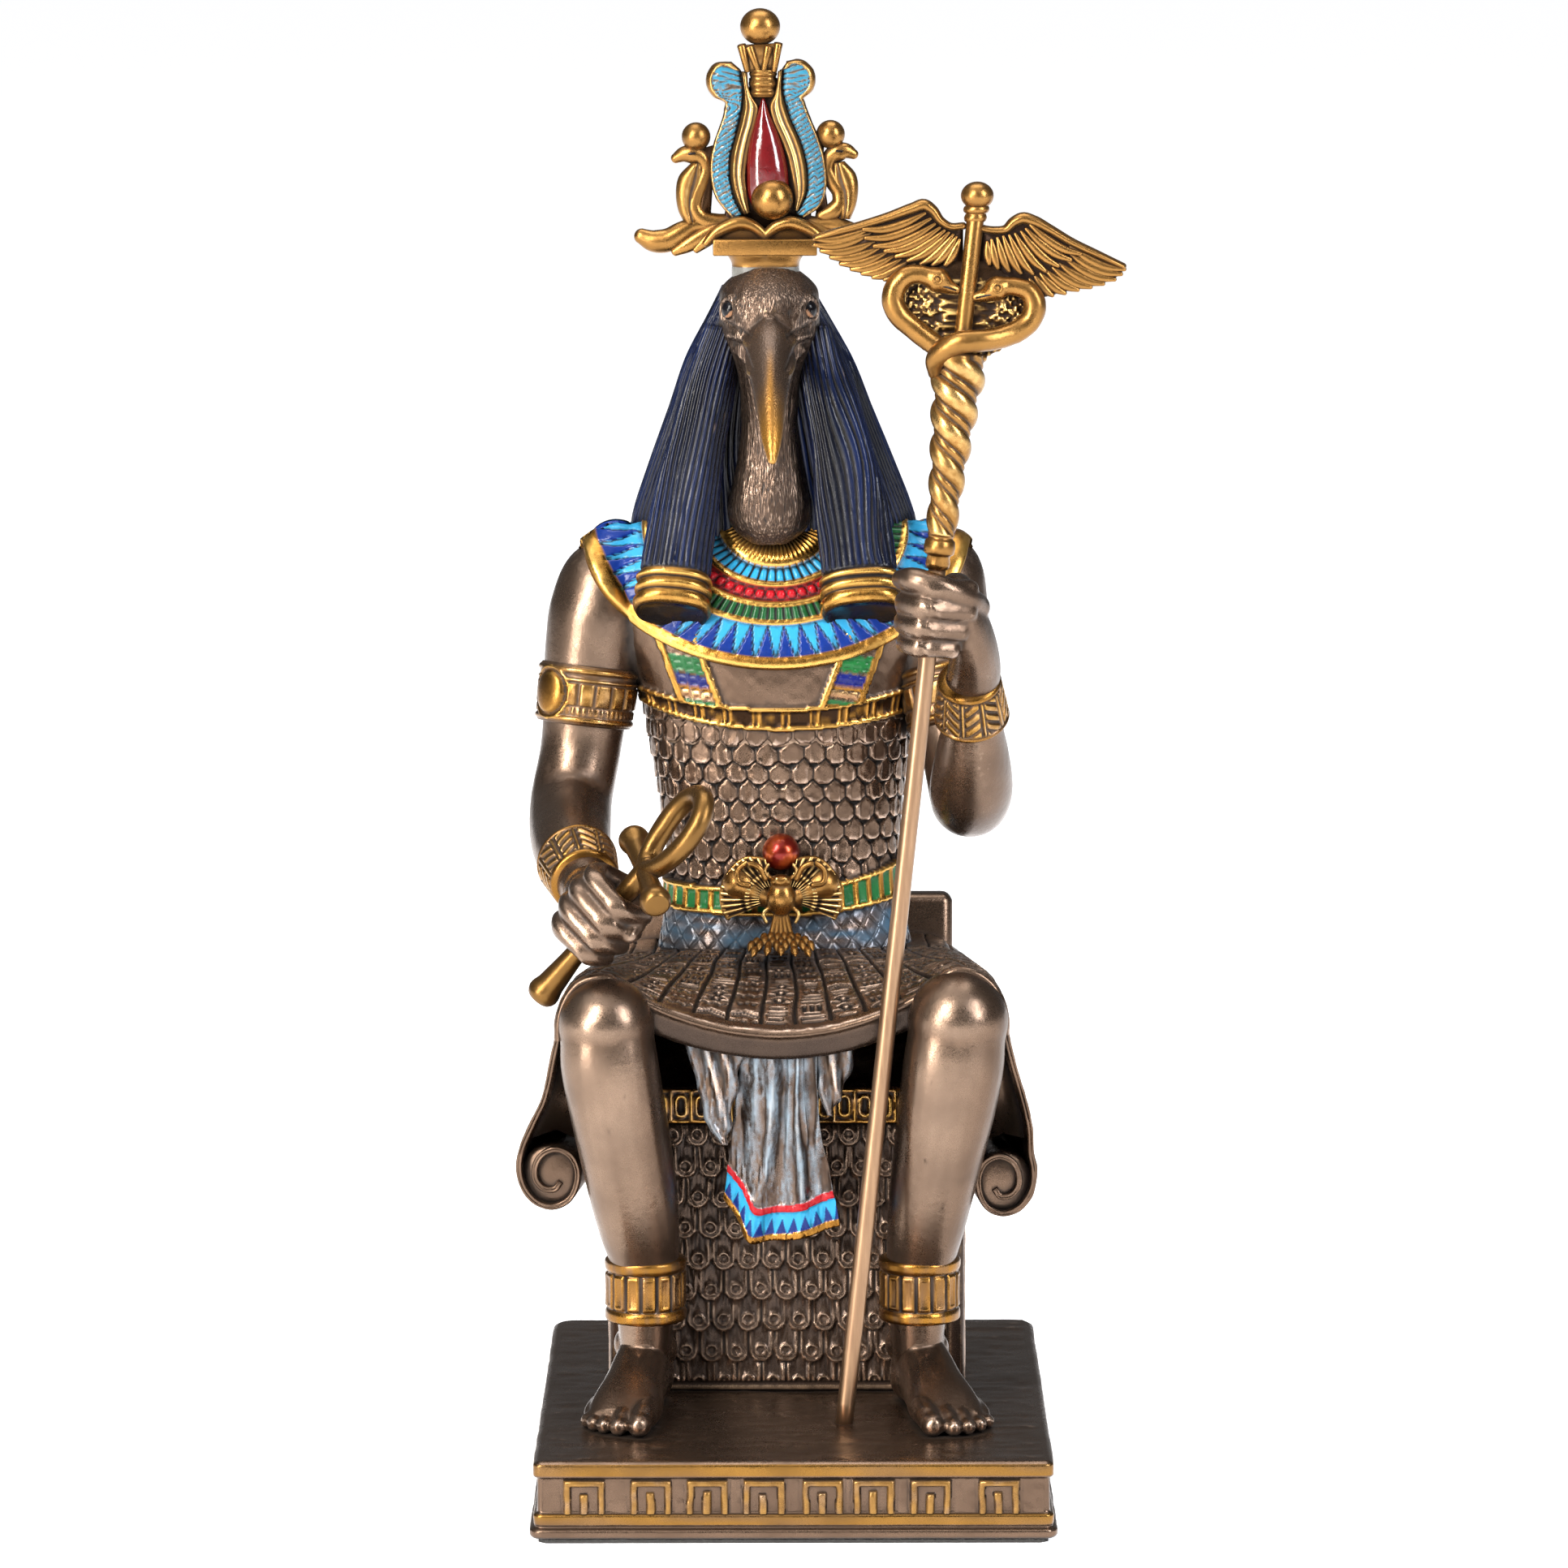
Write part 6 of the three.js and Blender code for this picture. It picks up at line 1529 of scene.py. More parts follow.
def chase_head(place, normal):
    """Fine upright feathers, folds beside the beak and under the eye, and the beak's gilding."""
    x, y, z = place.T
    nearest = np.min(np.linalg.norm(place[:, None] - resample(BEAK, 1.0)[None, :, :3], axis=-1), axis=1)
    bare = step(7.6 - y, 0, 2) * step(5.4 - nearest, 0, 0.8)
    turn = np.arctan2(y - 15, x - FACE_X)
    upright = np.stack([turn * 9.0, 0 * z, z], 1)
    height = 0.1 * noise(upright, (0.55, 1, 4.5), 90) * (1 - bare)
    out = np.abs(x - FACE_X)
    front = y < 13
    for line, deep, wide in (
            ([(3.5, 212.6), (4.4, 214.8), (5.6, 216.1), (7.4, 216.6)], -0.4, 0.5),
            ([(3.9, 211.6), (5.0, 213.6), (6.6, 214.9)], 0.35, 0.5),
            ([(4.1, 216.6), (5.6, 217.7), (7.6, 217.8)], 0.3, 0.6),
            ([(3.9, 218.2), (6, 219.2), (8.4, 220.4)], -0.45, 0.4),
            ([(1.4, 221.6), (3.4, 219.6), (4.2, 217.6)], -0.4, 0.45)):
        height = height + front * deep * np.exp(-(line_gap(out, z, line) / wide) ** 2)
    paint, gilt = np.zeros((len(x), 4)), np.zeros(len(x))
    towards = step(-y, 9, 17.5)
    brown, gold = np.array(linear("#5b4a3d")), np.array(linear("#b07c2c"))
    paint[:] = brown + (gold - brown) * towards[:, None]
    ridge_line = np.exp(-((x + 4) / 0.7) ** 2) * (normal[:, 1] < -0.3) * step(-y, 4, 13)
    paint[:] = paint + (np.array(linear("#a8752e")) - paint) * np.clip(ridge_line, 0, 1)[:, None]
    paint[:, 3] = np.where(bare > 0.5, 0.85, 0)
    gilt[:] = 0.7
    return height, paint, gilt


def eye_hub(side):
    return np.array([FACE_X + side * 7.15, 7.7, 222.6])


head_shells = [
    stack([(z, FACE_X, cy, rx, ry) for z, rx, ry, cy in HEAD], 48, 0.8, 2.1), tube(BEAK, 24, 0.6, power=1.7)]
for s in (-1, 1):
    turn = np.linspace(0, 2 * np.pi, 33)
    out = unit([s * 0.74, -0.67, 0.0])
    level = unit([s * 0.67, 0.74, 0.0])
    away = np.cos(turn)[:, None] * level * 0.92 + np.sin(turn)[:, None] * np.array([0, 0, 1.08])
    hub = eye_hub(s)
    head_shells.append(rings(hub + 2.1 * away + 0.6 * out, 0.7 * away, np.repeat(out[None] * 0.75, 33, 0),
        12))
    head_shells.append(tube([
        (FACE_X + s * x, face_y(x, z) + sink, z, r) for x, z, r, sink in (
            (8.4, 225.4, 0.7, 0.4), (7.2, 225.3, 0.9, 0.1), (5.9, 223.6, 0.9, 0.0), (4.9, 221.4, 0.8, 0.2),
            (4.2, 219.6, 0.6, 0.5))],
        14, 0.4))
head = fuse(head_shells, 0.34, 4, chase=chase_head, spread=8, depth=0.42)
chased_bronze = cast_finish(
    "chased_dark_bronze", linear("#4f4036"), linear("#0b0705"), linear("#a8917f"), 0.94, 0.31, 0.9)
cast_on("ibis_head", head, 0.5, chased_bronze)

# Painted eyes set in the rims: glossy black, looking outwards, with a little copper on the inner side.
eyes = []
for s in (-1, 1):
    hub = eye_hub(s)
    eye = ball(*hub, 1.98, (0.95, 0.95, 1.05), 48)
    look = unit(eye - hub) @ unit([s * 0.66, -0.7, 0.3])
    paint, gilt = flood(look.shape, "#060505"), np.zeros(look.shape)
    iris = (look < math.cos(math.radians(36))) & (look > math.cos(math.radians(62)))
    lay(paint, gilt, iris & ((hub[0] - eye[..., 0]) * s + (hub[2] - eye[..., 2]) > 0), "#8f6647")
    eyes.append(grid_part(eye, closed=True, paint=paint, gilt=gilt))
cast_on("ibis_eyes", join_parts(eyes))


# Wig. A bell of combed strands from the crown of the head to the shoulders, cast with the figure and
# painted lapis over black wash, with two front lappets that end in gilt bands.
WIG = [
    (226, 8, 8, 21), (221, 10.6, 11, 21.6), (212.6, 15.2, 12, 23.4), (202, 19.2, 12.6, 25.4),
    (191, 23.4, 13.6, 27.6), (181, 26.8, 13.2, 29.6), (162, 27, 9, 34.8)]
LAPPETS = {
    -1: [(-12.6, 14.6, 218, 3.2, 4), (-15.4, 12.4, 208, 4.2, 4.6), (-18.1, 10.8, 197, 4.8, 4.2),
        (-20.4, 9.8, 185, 5.8, 3.6),
         (-22.2, 9.2, 173, 6.1, 3.3), (-23, 8.6, 164.4, 6.5, 3.9)],
    1: [(4.0, 14.6, 218, 3.2, 4), (6.9, 12.4, 208, 4.3, 4.6), (9.5, 10.8, 197, 5.0, 4.2),
        (11.3, 9.8, 185, 6.4, 3.6),
        (12.8, 9.2, 173, 6.7, 3.3), (13.5, 8.6, 164.4, 7.0, 3.9)]}


def hair(points, across, seed):
    """Rounded strands side by side, some finer than others, blue on their crests and black between."""
    a = across + 0.3 * noise(points, (3, 3, 16), seed) + 1.3 * noise(points, (9, 9, 26), seed + 5)
    cell = saw(a)
    uneven = np.sin(np.floor(a) * 5.3)
    height = 0.62 * dome(cell / 0.97) + 0.16 * uneven
    paint, gilt = np.zeros(height.shape + (4,)), np.zeros(height.shape)
    deep, pale, black = (np.array(linear(c)) for c in ("#040814", "#0b1a3e", "#020203"))
    mix = np.clip(0.4 + 0.5 * noise(points, (4, 4, 18), seed + 1) + 0.2 * uneven, 0, 1)[..., None]
    paint[:] = deep + (pale - deep) * mix
    paint[:] = paint + (black - paint) * step(cell, 0.45, 0.85)[..., None]
    paint[..., 3] = 1 - 0.5 * (noise(points, (0.6, 0.6, 2.0), seed + 2) > 0.9)
    return height, paint, gilt


def wig_bell():
    points = stack(lean(WIG), 700, 1.1, 2.1)
    turn = np.linspace(0, 2 * np.pi, 701)[None] + 0 * points[..., 0]
    height, paint, gilt = hair(points, turn / (2 * np.pi) * 104, 100)
    return weld(grid_part(points, height, closed=True, paint=paint, gilt=gilt, reach=(4, 0), depth=0.25),
        cap=True)


def lappet(side):
    points = tube(LAPPETS[side], 190, 0.5, power=2.5, ends=(0, 0))
    end = points[-1, :, 2].mean()
    cut = 0.62 * (1 - step(points[..., 2] - end, 4, 26))
    points[..., 2] += cut * (points[..., 1].mean(axis=1, keepdims=True) - points[..., 1])
    low = np.concatenate([[0],
        np.cumsum(np.linalg.norm(np.diff(points.mean(axis=1)[::-1], axis=0), axis=1))])[::-1]
    last = points[-1]
    hub = last.mean(axis=0)
    inner = [hub + (last - hub) * share + np.array([0, 0, rise])
        for share, rise in ((0.93, 0.0), (0.86, 0.5), (0.4, 0.6))]
    points = np.concatenate([points, np.array(inner)])
    low = np.concatenate([low, [-1, -1, -1]])[:, None] + 0 * points[..., 0]
    run = np.cumsum(np.linalg.norm(np.diff(points, axis=1), axis=-1), axis=1)
    run = np.concatenate([np.zeros((len(points), 1)), run], 1) / run[:, -1:]
    height, paint, gilt = hair(points, run * 28, 110 + side)
    height = np.where(low < 7.6, 0.25, height)
    lay(paint, gilt, low < 7.4, "#1c1209", 0.6)
    for middle, half in ((1.5, 1.35), (4.1, 1.0), (6.3, 0.8)):
        bulge = np.clip(1 - ((low - middle) / half) ** 2, 0, 1)
        height = np.maximum(height, 0.3 + 0.85 * np.sqrt(bulge) * (bulge > 0))
        lay(paint, gilt, bulge > 0.12, "#a27434", 1)
    height = np.where(low < 0, 0.1 * noise(points, 1.2, 116), height + 0.05 * noise(points, 1.2, 115))
    lay(paint, gilt, low < 0, "#1a1613", 0.3)
    return weld(grid_part(points, height, closed=True, paint=paint, gilt=gilt, reach=(3, 1), depth=0.22),
        cap=True)


cast_on("wig_bell", wig_bell(), 0.5)
cast_on("wig_lappets", join_parts([lappet(-1), lappet(1)]), 0.5)


# Crown. A separate gold-painted casting glued into the head over a pale putty joint: stem and tablet,
# wavy horns, two enamelled plumes round a red drop, reed cups, balls and a cobra at each side.
CROWN_X, CROWN_Y = -4.9, 17.0
red_enamel = two_tone(
    "glossy_red_enamel", 2.5, 3.0, "#380406", "#5c0a0e", {"Roughness": 0.16, "Coat Weight": 0.7},
    bump=(0.35, 0.0004))
PLUMES = {
    1: (
        [(0.9, 240.4), (2.76, 244.1), (3.0, 247.9), (2.4, 251.6), (1.3, 254.9), (-0.2, 258.2), (-1.1, 261.2),
         (-1.7, 263.1), (-1.9, 264.4), (-1.9, 265.7), (-1.8, 266.6), (-1.6, 267.3), (-1.2, 267.9)],
        [(2.4, 239.8), (5.5, 242.1), (6.5, 246), (6.1, 250.8), (5, 254.5), (3.5, 258.2), (2.4, 261.2),
            (2.2, 262.4),
         (3.7, 263.6), (4.4, 265.6), (3.7, 267.9), (1.6, 269.3), (-0.8, 268.9)]),
    -1: (
        [(-9.3, 240.2), (-10.9, 243.8), (-11.6, 247.5), (-11.5, 251.2), (-10.6, 254.9), (-9.8, 258.2),
            (-9.3, 260.9),
         (-9.1, 262.7), (-9, 264.2), (-9.1, 265.3), (-9.3, 266.2), (-9.6, 267), (-10, 267.6)],
        [(-11.2, 239.7), (-14.1, 243.4), (-15.1, 247.1), (-15.1, 250.8), (-14.3, 254.2), (-13.1, 257.5),
            (-12.5, 259.8),
         (-12.5, 261.7), (-14.5, 262.6), (-15.8, 264.7), (-15.6, 267), (-14, 268.7), (-11.4, 268.8)])}
BORDERS = {
    1: (
        [(0.6, 241.1), (0.5, 243.9), (-0.2, 248.2), (-1, 251.6), (-2.3, 254.9), (-3.7, 258.2), (-4.1, 261.2),
         (-3.2, 262.9), (-2.7, 264.9), (-2.5, 267.2)],
        [(1.3, 240.8), (2.8, 244.1), (3.1, 247.9), (2.5, 251.6), (1.4, 254.9), (-0.1, 258.2), (-1.1, 261.2),
            (-1.6, 263.1),
         (-1.8, 264.9), (-1.6, 267.6)]),
    -1: (
        [(-7.8, 240.6), (-8.2, 243.9), (-8.5, 247.5), (-8.1, 250.8), (-7.4, 254.5), (-6.4, 258.2),
            (-6.2, 260.8),
         (-7.4, 262.7), (-8, 264.2), (-8.3, 267)],
        [(-9.1, 240.2), (-10.8, 243.8), (-11.6, 247.5), (-11.5, 251.2), (-10.6, 254.9), (-9.7, 258.2),
            (-9.2, 260.9),
         (-9, 262.7), (-9, 264.2), (-9.4, 267.2)])}


def plume(side):
    """An enamelled plume, hatched with slanting barbs, its tip rolled outwards inside a gilt rim."""
    points, across, along, wide = flat_casting(*PLUMES[side], CROWN_Y, 2.5, 110, 0.25, 4.0)
    x, z = points[..., 0], points[..., 2]
    face = np.abs(points[..., 1] - CROWN_Y) > 1.5
    rim = ~face | ((1 - across) * wide < 0.32 + 0.55 * step(z, 261.5, 263.5)) | (along > along.max() - 0.5)
    slope = 0.6 - (0.35 if side > 0 else 0.85) * step(z, 260, 265)
    barb = saw((z - slope * x) / 1.02 + 0.35 * noise(points, (2.5, 9, 1.3), 200))
    groove = face & ~rim & (barb > 0.7)
    height = np.where(rim, 0.3, 0.0) - 0.32 * groove * step(barb, 0.68, 0.9) + 0.05 * noise(points, 0.9, 201)
    paint, gilt = np.zeros(x.shape + (4,)), np.zeros(x.shape)
    lay(paint, gilt, face & ~rim, "#30758f")
    paint[..., 3] = np.where(face & ~rim,
        np.clip(1.15 - 0.8 * groove + 0.5 * noise(points, (0.9, 9, 0.7), 202), 0.1, 1), 0)
    return shell(points, height=height, paint=paint, gilt=gilt, reach=(3, 3), depth=0.22)


def border(side):
    points, across, _, _ = flat_casting(*BORDERS[side], CROWN_Y, 3.1, 72, 0.3, 3.0)
    face = np.abs(points[..., 1] - CROWN_Y) > 1.8
    line = np.minimum(np.abs(across - 0.62), np.abs(across - 0.22))
    return shell(points, height=-0.4 * face * (1 - step(line, 0.03, 0.13)), reach=(3, 3), depth=0.22)


def cobra(body, hood, orb, snout):
    """A reared cobra: a smooth S of a neck, an eye pit and a leaf-shaped hood with one long groove."""
    neck = tube([(px, CROWN_Y, pz, r * 1.2, r * 1.3) for px, pz, r in body], 28, 0.35, (0, 1, 0))
    leaf, across, _, _ = flat_casting(*hood, CROWN_Y, 1.8, 48, 0.3, 2.2)
    face = np.abs(leaf[..., 1] - CROWN_Y) > 0.5
    vein = 0.35 * face * (1 - step(np.abs(across - 0.3), 0.04, 0.16))
    head_x, head_z = body[2][0], body[2][1]
    pits = [tube([
        (head_x - snout * 0.5, CROWN_Y + s * 1.82, head_z + 0.25, 0.24),
        (head_x + snout * 0.5, CROWN_Y + s * 1.82, head_z + 0.15, 0.22)],
        10, 0.3) for s in (-1, 1)]
    dark = flood(pits[0].shape[:2], DARK_LINE)
    web_x = orb[0] - snout * 2.4
    web = flat_casting(
        [(web_x - snout * 1.0, orb[1] - 1.6), (web_x - snout * 0.9, orb[1] - 6),
            (web_x - snout * 0.4, orb[1] - 15)],
        [(web_x + snout * 1.2, orb[1] - 2.2), (web_x + snout * 1.0, orb[1] - 6),
            (web_x + snout * 2.2, orb[1] - 15.6)],
        CROWN_Y, 0.9, 24)[0]
    ground = flood(web.shape[:2], "#38240f")
    return [shell(neck), shell(leaf, height=-vein, depth=0.22), shell(ball(orb[0], CROWN_Y, orb[1], orb[2])),
            shell(web, paint=ground, gilt=0.9)] + [shell(p, paint=dark) for p in pits]


COBRAS = {
    -1: (
        [(-22.0, 250.8, 0.75), (-20.6, 251.5, 1.15), (-18.9, 251.6, 1.4), (-17.2, 250.9, 1.25),
            (-16.2, 248.9, 1.05),
         (-16.9, 246.4, 1.15), (-18.1, 243.8, 1.2), (-18.4, 241.2, 1.25), (-17.1, 239.3, 1.35),
         (-14.1, 238.6, 1.3), (-11.5, 238.9, 1.1)],
        ([(-17.0, 249.8), (-16.9, 246.6), (-17.8, 243.8), (-18.2, 241.2), (-18.0, 238.8)],
         [(-19.0, 250), (-21.4, 247.4), (-22, 243.8), (-21.4, 240.4), (-20, 238.0)]),
        (-18.1, 254.9, 2.75), -1),
    1: (
        [(11.9, 251.5, 0.75), (10.6, 252.1, 1.15), (9.2, 252.0, 1.4), (7.6, 251.1, 1.25), (6.9, 248.9, 1.05),
         (7.9, 246.4, 1.15), (9.3, 244.1, 1.2), (9.3, 242.2, 1.25), (8.0, 240.7, 1.3), (5.9, 239.8, 1.1)],
        ([(8.0, 249.8), (8.0, 246.4), (9.0, 243.9), (9.4, 242), (9.3, 239.4)],
         [(10.2, 250.2), (12.3, 247.8), (12.8, 245), (12.4, 242), (11.3, 239.2)]),
        (7.5, 255.3, 2.75), 1)}


def horn(side):
    """A smooth wavy ram's horn with a second strand rolled under it."""
    def at(x):
        return -5.0 + side * (-x - 5.0)
    main = tube([(at(x), CROWN_Y, z, r * 1.12, r * 1.2) for x, z, r in (
        (-28.6, 236.0, 1.25), (-26.4, 235.1, 1.75), (-23.6, 235.2, 1.9), (-20.8, 236.8, 1.7),
        (-18.6, 238.0, 1.35), (-15.6, 238.2, 1.2), (-12.6, 238.8, 1.0))], 30, 0.35, (0, 1, 0))
    under = tube([(at(x), CROWN_Y - 0.8, z, r, r * 1.3) for x, z, r in (
        (-22.2, 233.1, 0.7), (-19.8, 234.3, 1.1), (-17.2, 235.9, 1.15), (-14.4, 237.6, 0.9),
        (-12.6, 238.6, 0.6))],
        24, 0.35, (0, 1, 0))
    third = tube([(at(x), CROWN_Y - 1.2, z, r, r * 1.4) for x, z, r in (
        (-18.2, 233.4, 0.5), (-16.2, 235.2, 0.9), (-13.8, 237.2, 0.8))], 20, 0.35, (0, 1, 0))
    arch = tube([(at(x), CROWN_Y - 3.2, z, r) for x, z, r in (
        (-16.2, 234.9, 0.75), (-14.8, 236.4, 1.15), (-12.2, 238.0, 1.3), (-9.6, 238.7, 1.3),
        (-7.2, 238.0, 1.15), (-5.0, 236.2, 0.95))], 24, 0.3, (0, 1, 0))
    return [shell(part) for part in (main, under, third, arch)]


def reed_cup():
    cup, _, _, _ = flat_casting(
        [(-8.6, 267.2), (-9.0, 269.4), (-9.9, 272.2)], [(-2.8, 267.2), (-2.5, 269.4), (-2.0, 272.6)],
        CROWN_Y, 2.0, 48, 0.4, 4)
    parts = [shell(cup)]
    for low, high in (((-8.3, 267.4), (-9.4, 272.2)), ((-6.2, 267.4), (-7.9, 272)),
            ((-5.2, 267.4), (-4.3, 272)), ((-3.2, 267.4), (-2.4, 272.5))):
        for face in (-1, 1):
            parts.append(shell(tube([
                (low[0], CROWN_Y + face * 1.9, low[1], 0.55, 0.7),
                (high[0], CROWN_Y + face * 2.3, high[1], 0.85, 0.8)],
                16, 0.6, ends=(0.5, 0.3))))
    z = np.linspace(262.5, 267.6, 44)
    bulge = sum(a * np.exp(-((z - m) / w) ** 2)
        for m, a, w in ((263.2, 0.6, 0.45), (265.0, 0.75, 0.7), (266.8, 0.55, 0.4)))
    binding = level_rings(-5.3, CROWN_Y, z, 2.4 + bulge * 0.5, 2.7 + bulge, 64, 2.6)
    return parts + [shell(binding, reach=(0, 3))]


def crown():
    z = np.linspace(227.6, 232.8, 24)
    wide, deep = through(z, [227.6, 229.4, 231, 232.8], [(6.5, 5.7), (6.5, 5.7), (6.5, 5.6), (7.4, 6.3)]).T
    stem = level_rings(CROWN_X, CROWN_Y, z, wide, deep, 64, 3.0)
    putty, bare = np.zeros(stem.shape[:2] + (4,)), np.zeros(stem.shape[:2])
    lay(putty, bare, stem[..., 2] < 230.4, "#7d7d78")
    parts = [shell(stem, height=0.12 * noise(stem, 2.5, 203), paint=putty, gilt=bare)]
    parts.append(rounded_block((-14.9, CROWN_Y - 6.4, 232.6), (4.9, CROWN_Y + 6.4, 235.7), 0.3))
    ground = flat_casting(
        [(-13.0, 237), (-12.6, 241), (-11.2, 246), (-9.4, 255), (-8, 262.8), (-8, 266)],
        [(3.6, 237), (3.8, 241), (2.6, 246), (0.6, 255), (-2.4, 262.8), (-2.6, 266)],
        CROWN_Y, 1.3, 40, 0.5, 6)[0]
    holes = rounded_block((-13.6, CROWN_Y - 3, 235.4), (3.6, CROWN_Y + 2, 237.6), 0.5)
    keep(holes.data, None, linear("#6b4a20"), 0.95)
    parts += [shell(ground, paint=flood(ground.shape[:2], DARK_GROUND), gilt=0.9), holes]
    for side in (-1, 1):
        parts += [plume(side), border(side)] + cobra(*COBRAS[side]) + horn(side)
    parts += reed_cup()
    parts.append(shell(ball(-5.85, CROWN_Y, 275.75, 3.6, (1.06, 1.0, 0.97), 40)))
    parts.append(shell(ball(-3.6, CROWN_Y - 3, 243.2, 4.0, around=40)))
    return join_parts(parts)


finished("crown", crown(), antique_gold, "gold_painted_resin", "crown", share=0.5)
drop = stack([
    (241, -4.3, CROWN_Y - 1.6, 2.8, 1.6), (243.5, -4.4, CROWN_Y - 1.8, 3.7, 2.4),
    (247.5, -4.5, CROWN_Y - 1.8, 3.95, 2.8), (250.8, -4.7, CROWN_Y - 1.8, 3.7, 2.7),
    (255.3, -5.0, CROWN_Y - 1.8, 2.7, 2.2), (259.2, -5.25, CROWN_Y - 1.7, 1.3, 1.5),
    (262.3, -5.3, CROWN_Y - 1.6, 0.25, 0.6)], 48, 0.5)
finished("crown_drop", shell(drop), red_enamel, "gold_painted_resin", "crown")


# Staff rod. A straight drawn rod with a rose-brown bronze finish, pushed through the fist and glued
# into the plinth top.
bronzed_rod = two_tone(
    "bronzed_rod", 0.7, 3.0, "#6b5240", "#9a7c5f", {"Metallic": 0.92, "Roughness": 0.33},
    stretch=(1, 1, 0.08))
rod = tube([(*on_staff(z), SHAFT_RADIUS) for z in (15.3, 100, 177.2)], 40, 4.0, ends=(0, 0))
finished("staff_rod", shell(rod), bronzed_rod, "bronzed_rod", "staff_rod")


# Staff head. A gold-painted casting on the rod: ring collars, a column of twisted strands, two
# serpents with their heads turned in, spread wings in three tiers and a ball on top.

def column():
    at = np.concatenate([np.linspace(176.9, 183.2, 30), np.linspace(183.4, 217.2, 130)])
    profile = [(176.9, 1.9), (177.4, 2.2), (178, 2.3), (179.4, 2.1), (179.8, 2.8), (181, 2.95),
        (182.2, 2.8), (182.6, 2.3)]
    t = np.clip((at - 183.2) / 33, 0, 1)
    radius = np.where(at < 183.2, np.interp(at, *zip(*profile)), 2.5 + 2.2 * t ** 1.4)
    centre = np.array([on_staff(z) for z in at])
    u = unit(np.array([1.0, 0, 0]) - STAFF_AXIS * STAFF_AXIS[0])
    v = np.cross(STAFF_AXIS, u)
    points = rings(centre, radius[:, None] * u, radius[:, None] * v, 120)
    turn = np.linspace(0, 2 * np.pi, 121)[None]
    twist = turn + 2 * np.pi * 2.6 * t[:, None]
    broad, slim = dome(saw(twist / np.pi) / 0.68), dome(saw(twist / np.pi + 0.5) / 0.26)
    height = (at > 183.3)[:, None] * radius[:, None] * (0.34 * broad + 0.13 * slim - 0.16)
    height = height + (at > 183.3)[:, None] * 0.07 * slim * np.cos(9 * turn + at[:, None] * 6)
    return shell(points, height=height, reach=(4, 4), depth=0.4)


# The leading edge, the lower edge and the feathers of each wing, traced in its own plane.
WING_LEADS = {
    -1: [(31.8, 240.5), (29.4, 240.4), (27.6, 241.5), (26.1, 243.5), (24.6, 244.4), (22.6, 243.8),
        (18.1, 242.2),
         (12.8, 240.6), (8.2, 239.4), (4.6, 238.4)],
    1: [(34.6, 240.2), (37.4, 239.7), (39.7, 239.9), (41.1, 241.2), (42.8, 241.9), (44.8, 241.4),
        (47.7, 239.9),
        (51.8, 237.5), (56.3, 235.4), (61.4, 233.0)]}
WING_HEMS = {
    -1: [(31.8, 231.4), (29.4, 231.6), (27, 232), (24, 232), (20.5, 230.9), (17, 230.6), (14.6, 231.4),
        (10.6, 233),
         (6.4, 235.5), (4.3, 237)],
    1: [(34.2, 229.6), (37, 230), (40, 229.4), (43, 228), (46.4, 227.3), (49.2, 227.9), (53.6, 229),
        (56.7, 229.5),
        (60.4, 231.1), (61.6, 232.4)]}
COVERTS = {
    -1: [(24.7, 242.9, 13.4, 240.0), (25.7, 241.9, 13.8, 238.4), (26.5, 240.9, 15.4, 236.9),
        (27.4, 240.2, 17.4, 236.0),
         (28.3, 239.7, 19.4, 235.0), (29.1, 239.3, 21.6, 234.2), (29.9, 238.9, 24.0, 233.6),
         (30.5, 238.5, 26.2, 233.4), (31.1, 238.0, 28.5, 233.4)],
    1: [(44.2, 240.7, 53.4, 235.4), (43.4, 240.0, 51.6, 234.3), (42.5, 239.5, 49.3, 233.2),
        (41.4, 239.1, 46.9, 232.3),
        (40.3, 238.8, 44.6, 231.8), (39.2, 238.6, 42.4, 231.9), (38.1, 238.3, 40.2, 232.3),
        (37.0, 238.0, 38.2, 232.8), (36.2, 237.6, 36.6, 233.6)]}
PRIMARIES = {
    -1: [(15, 240.4, 4.3, 238.2), (14.6, 239.2, 4.3, 237.1), (15.4, 237.7, 5.6, 236.0),
        (16.4, 236.6, 7.4, 234.8),
         (17.6, 235.7, 9.2, 233.6), (18.9, 235.0, 11.2, 232.6), (20.2, 234.4, 13.2, 231.8),
         (21.4, 233.9, 15.2, 231.1), (22.8, 233.5, 17.3, 230.7)],
    1: [(51.6, 236.6, 61.6, 232.5), (51.6, 235.3, 61.0, 231.6), (50.9, 234.3, 59.8, 230.6),
        (49.6, 233.5, 57.7, 229.8),
        (48.4, 232.8, 55.4, 229.2), (47.2, 232.2, 53.0, 228.7), (46.1, 231.7, 50.6, 228.1),
        (45.1, 231.2, 48.3, 227.7), (44.1, 230.7, 46.3, 227.5)]}
WING_Y = -24.8


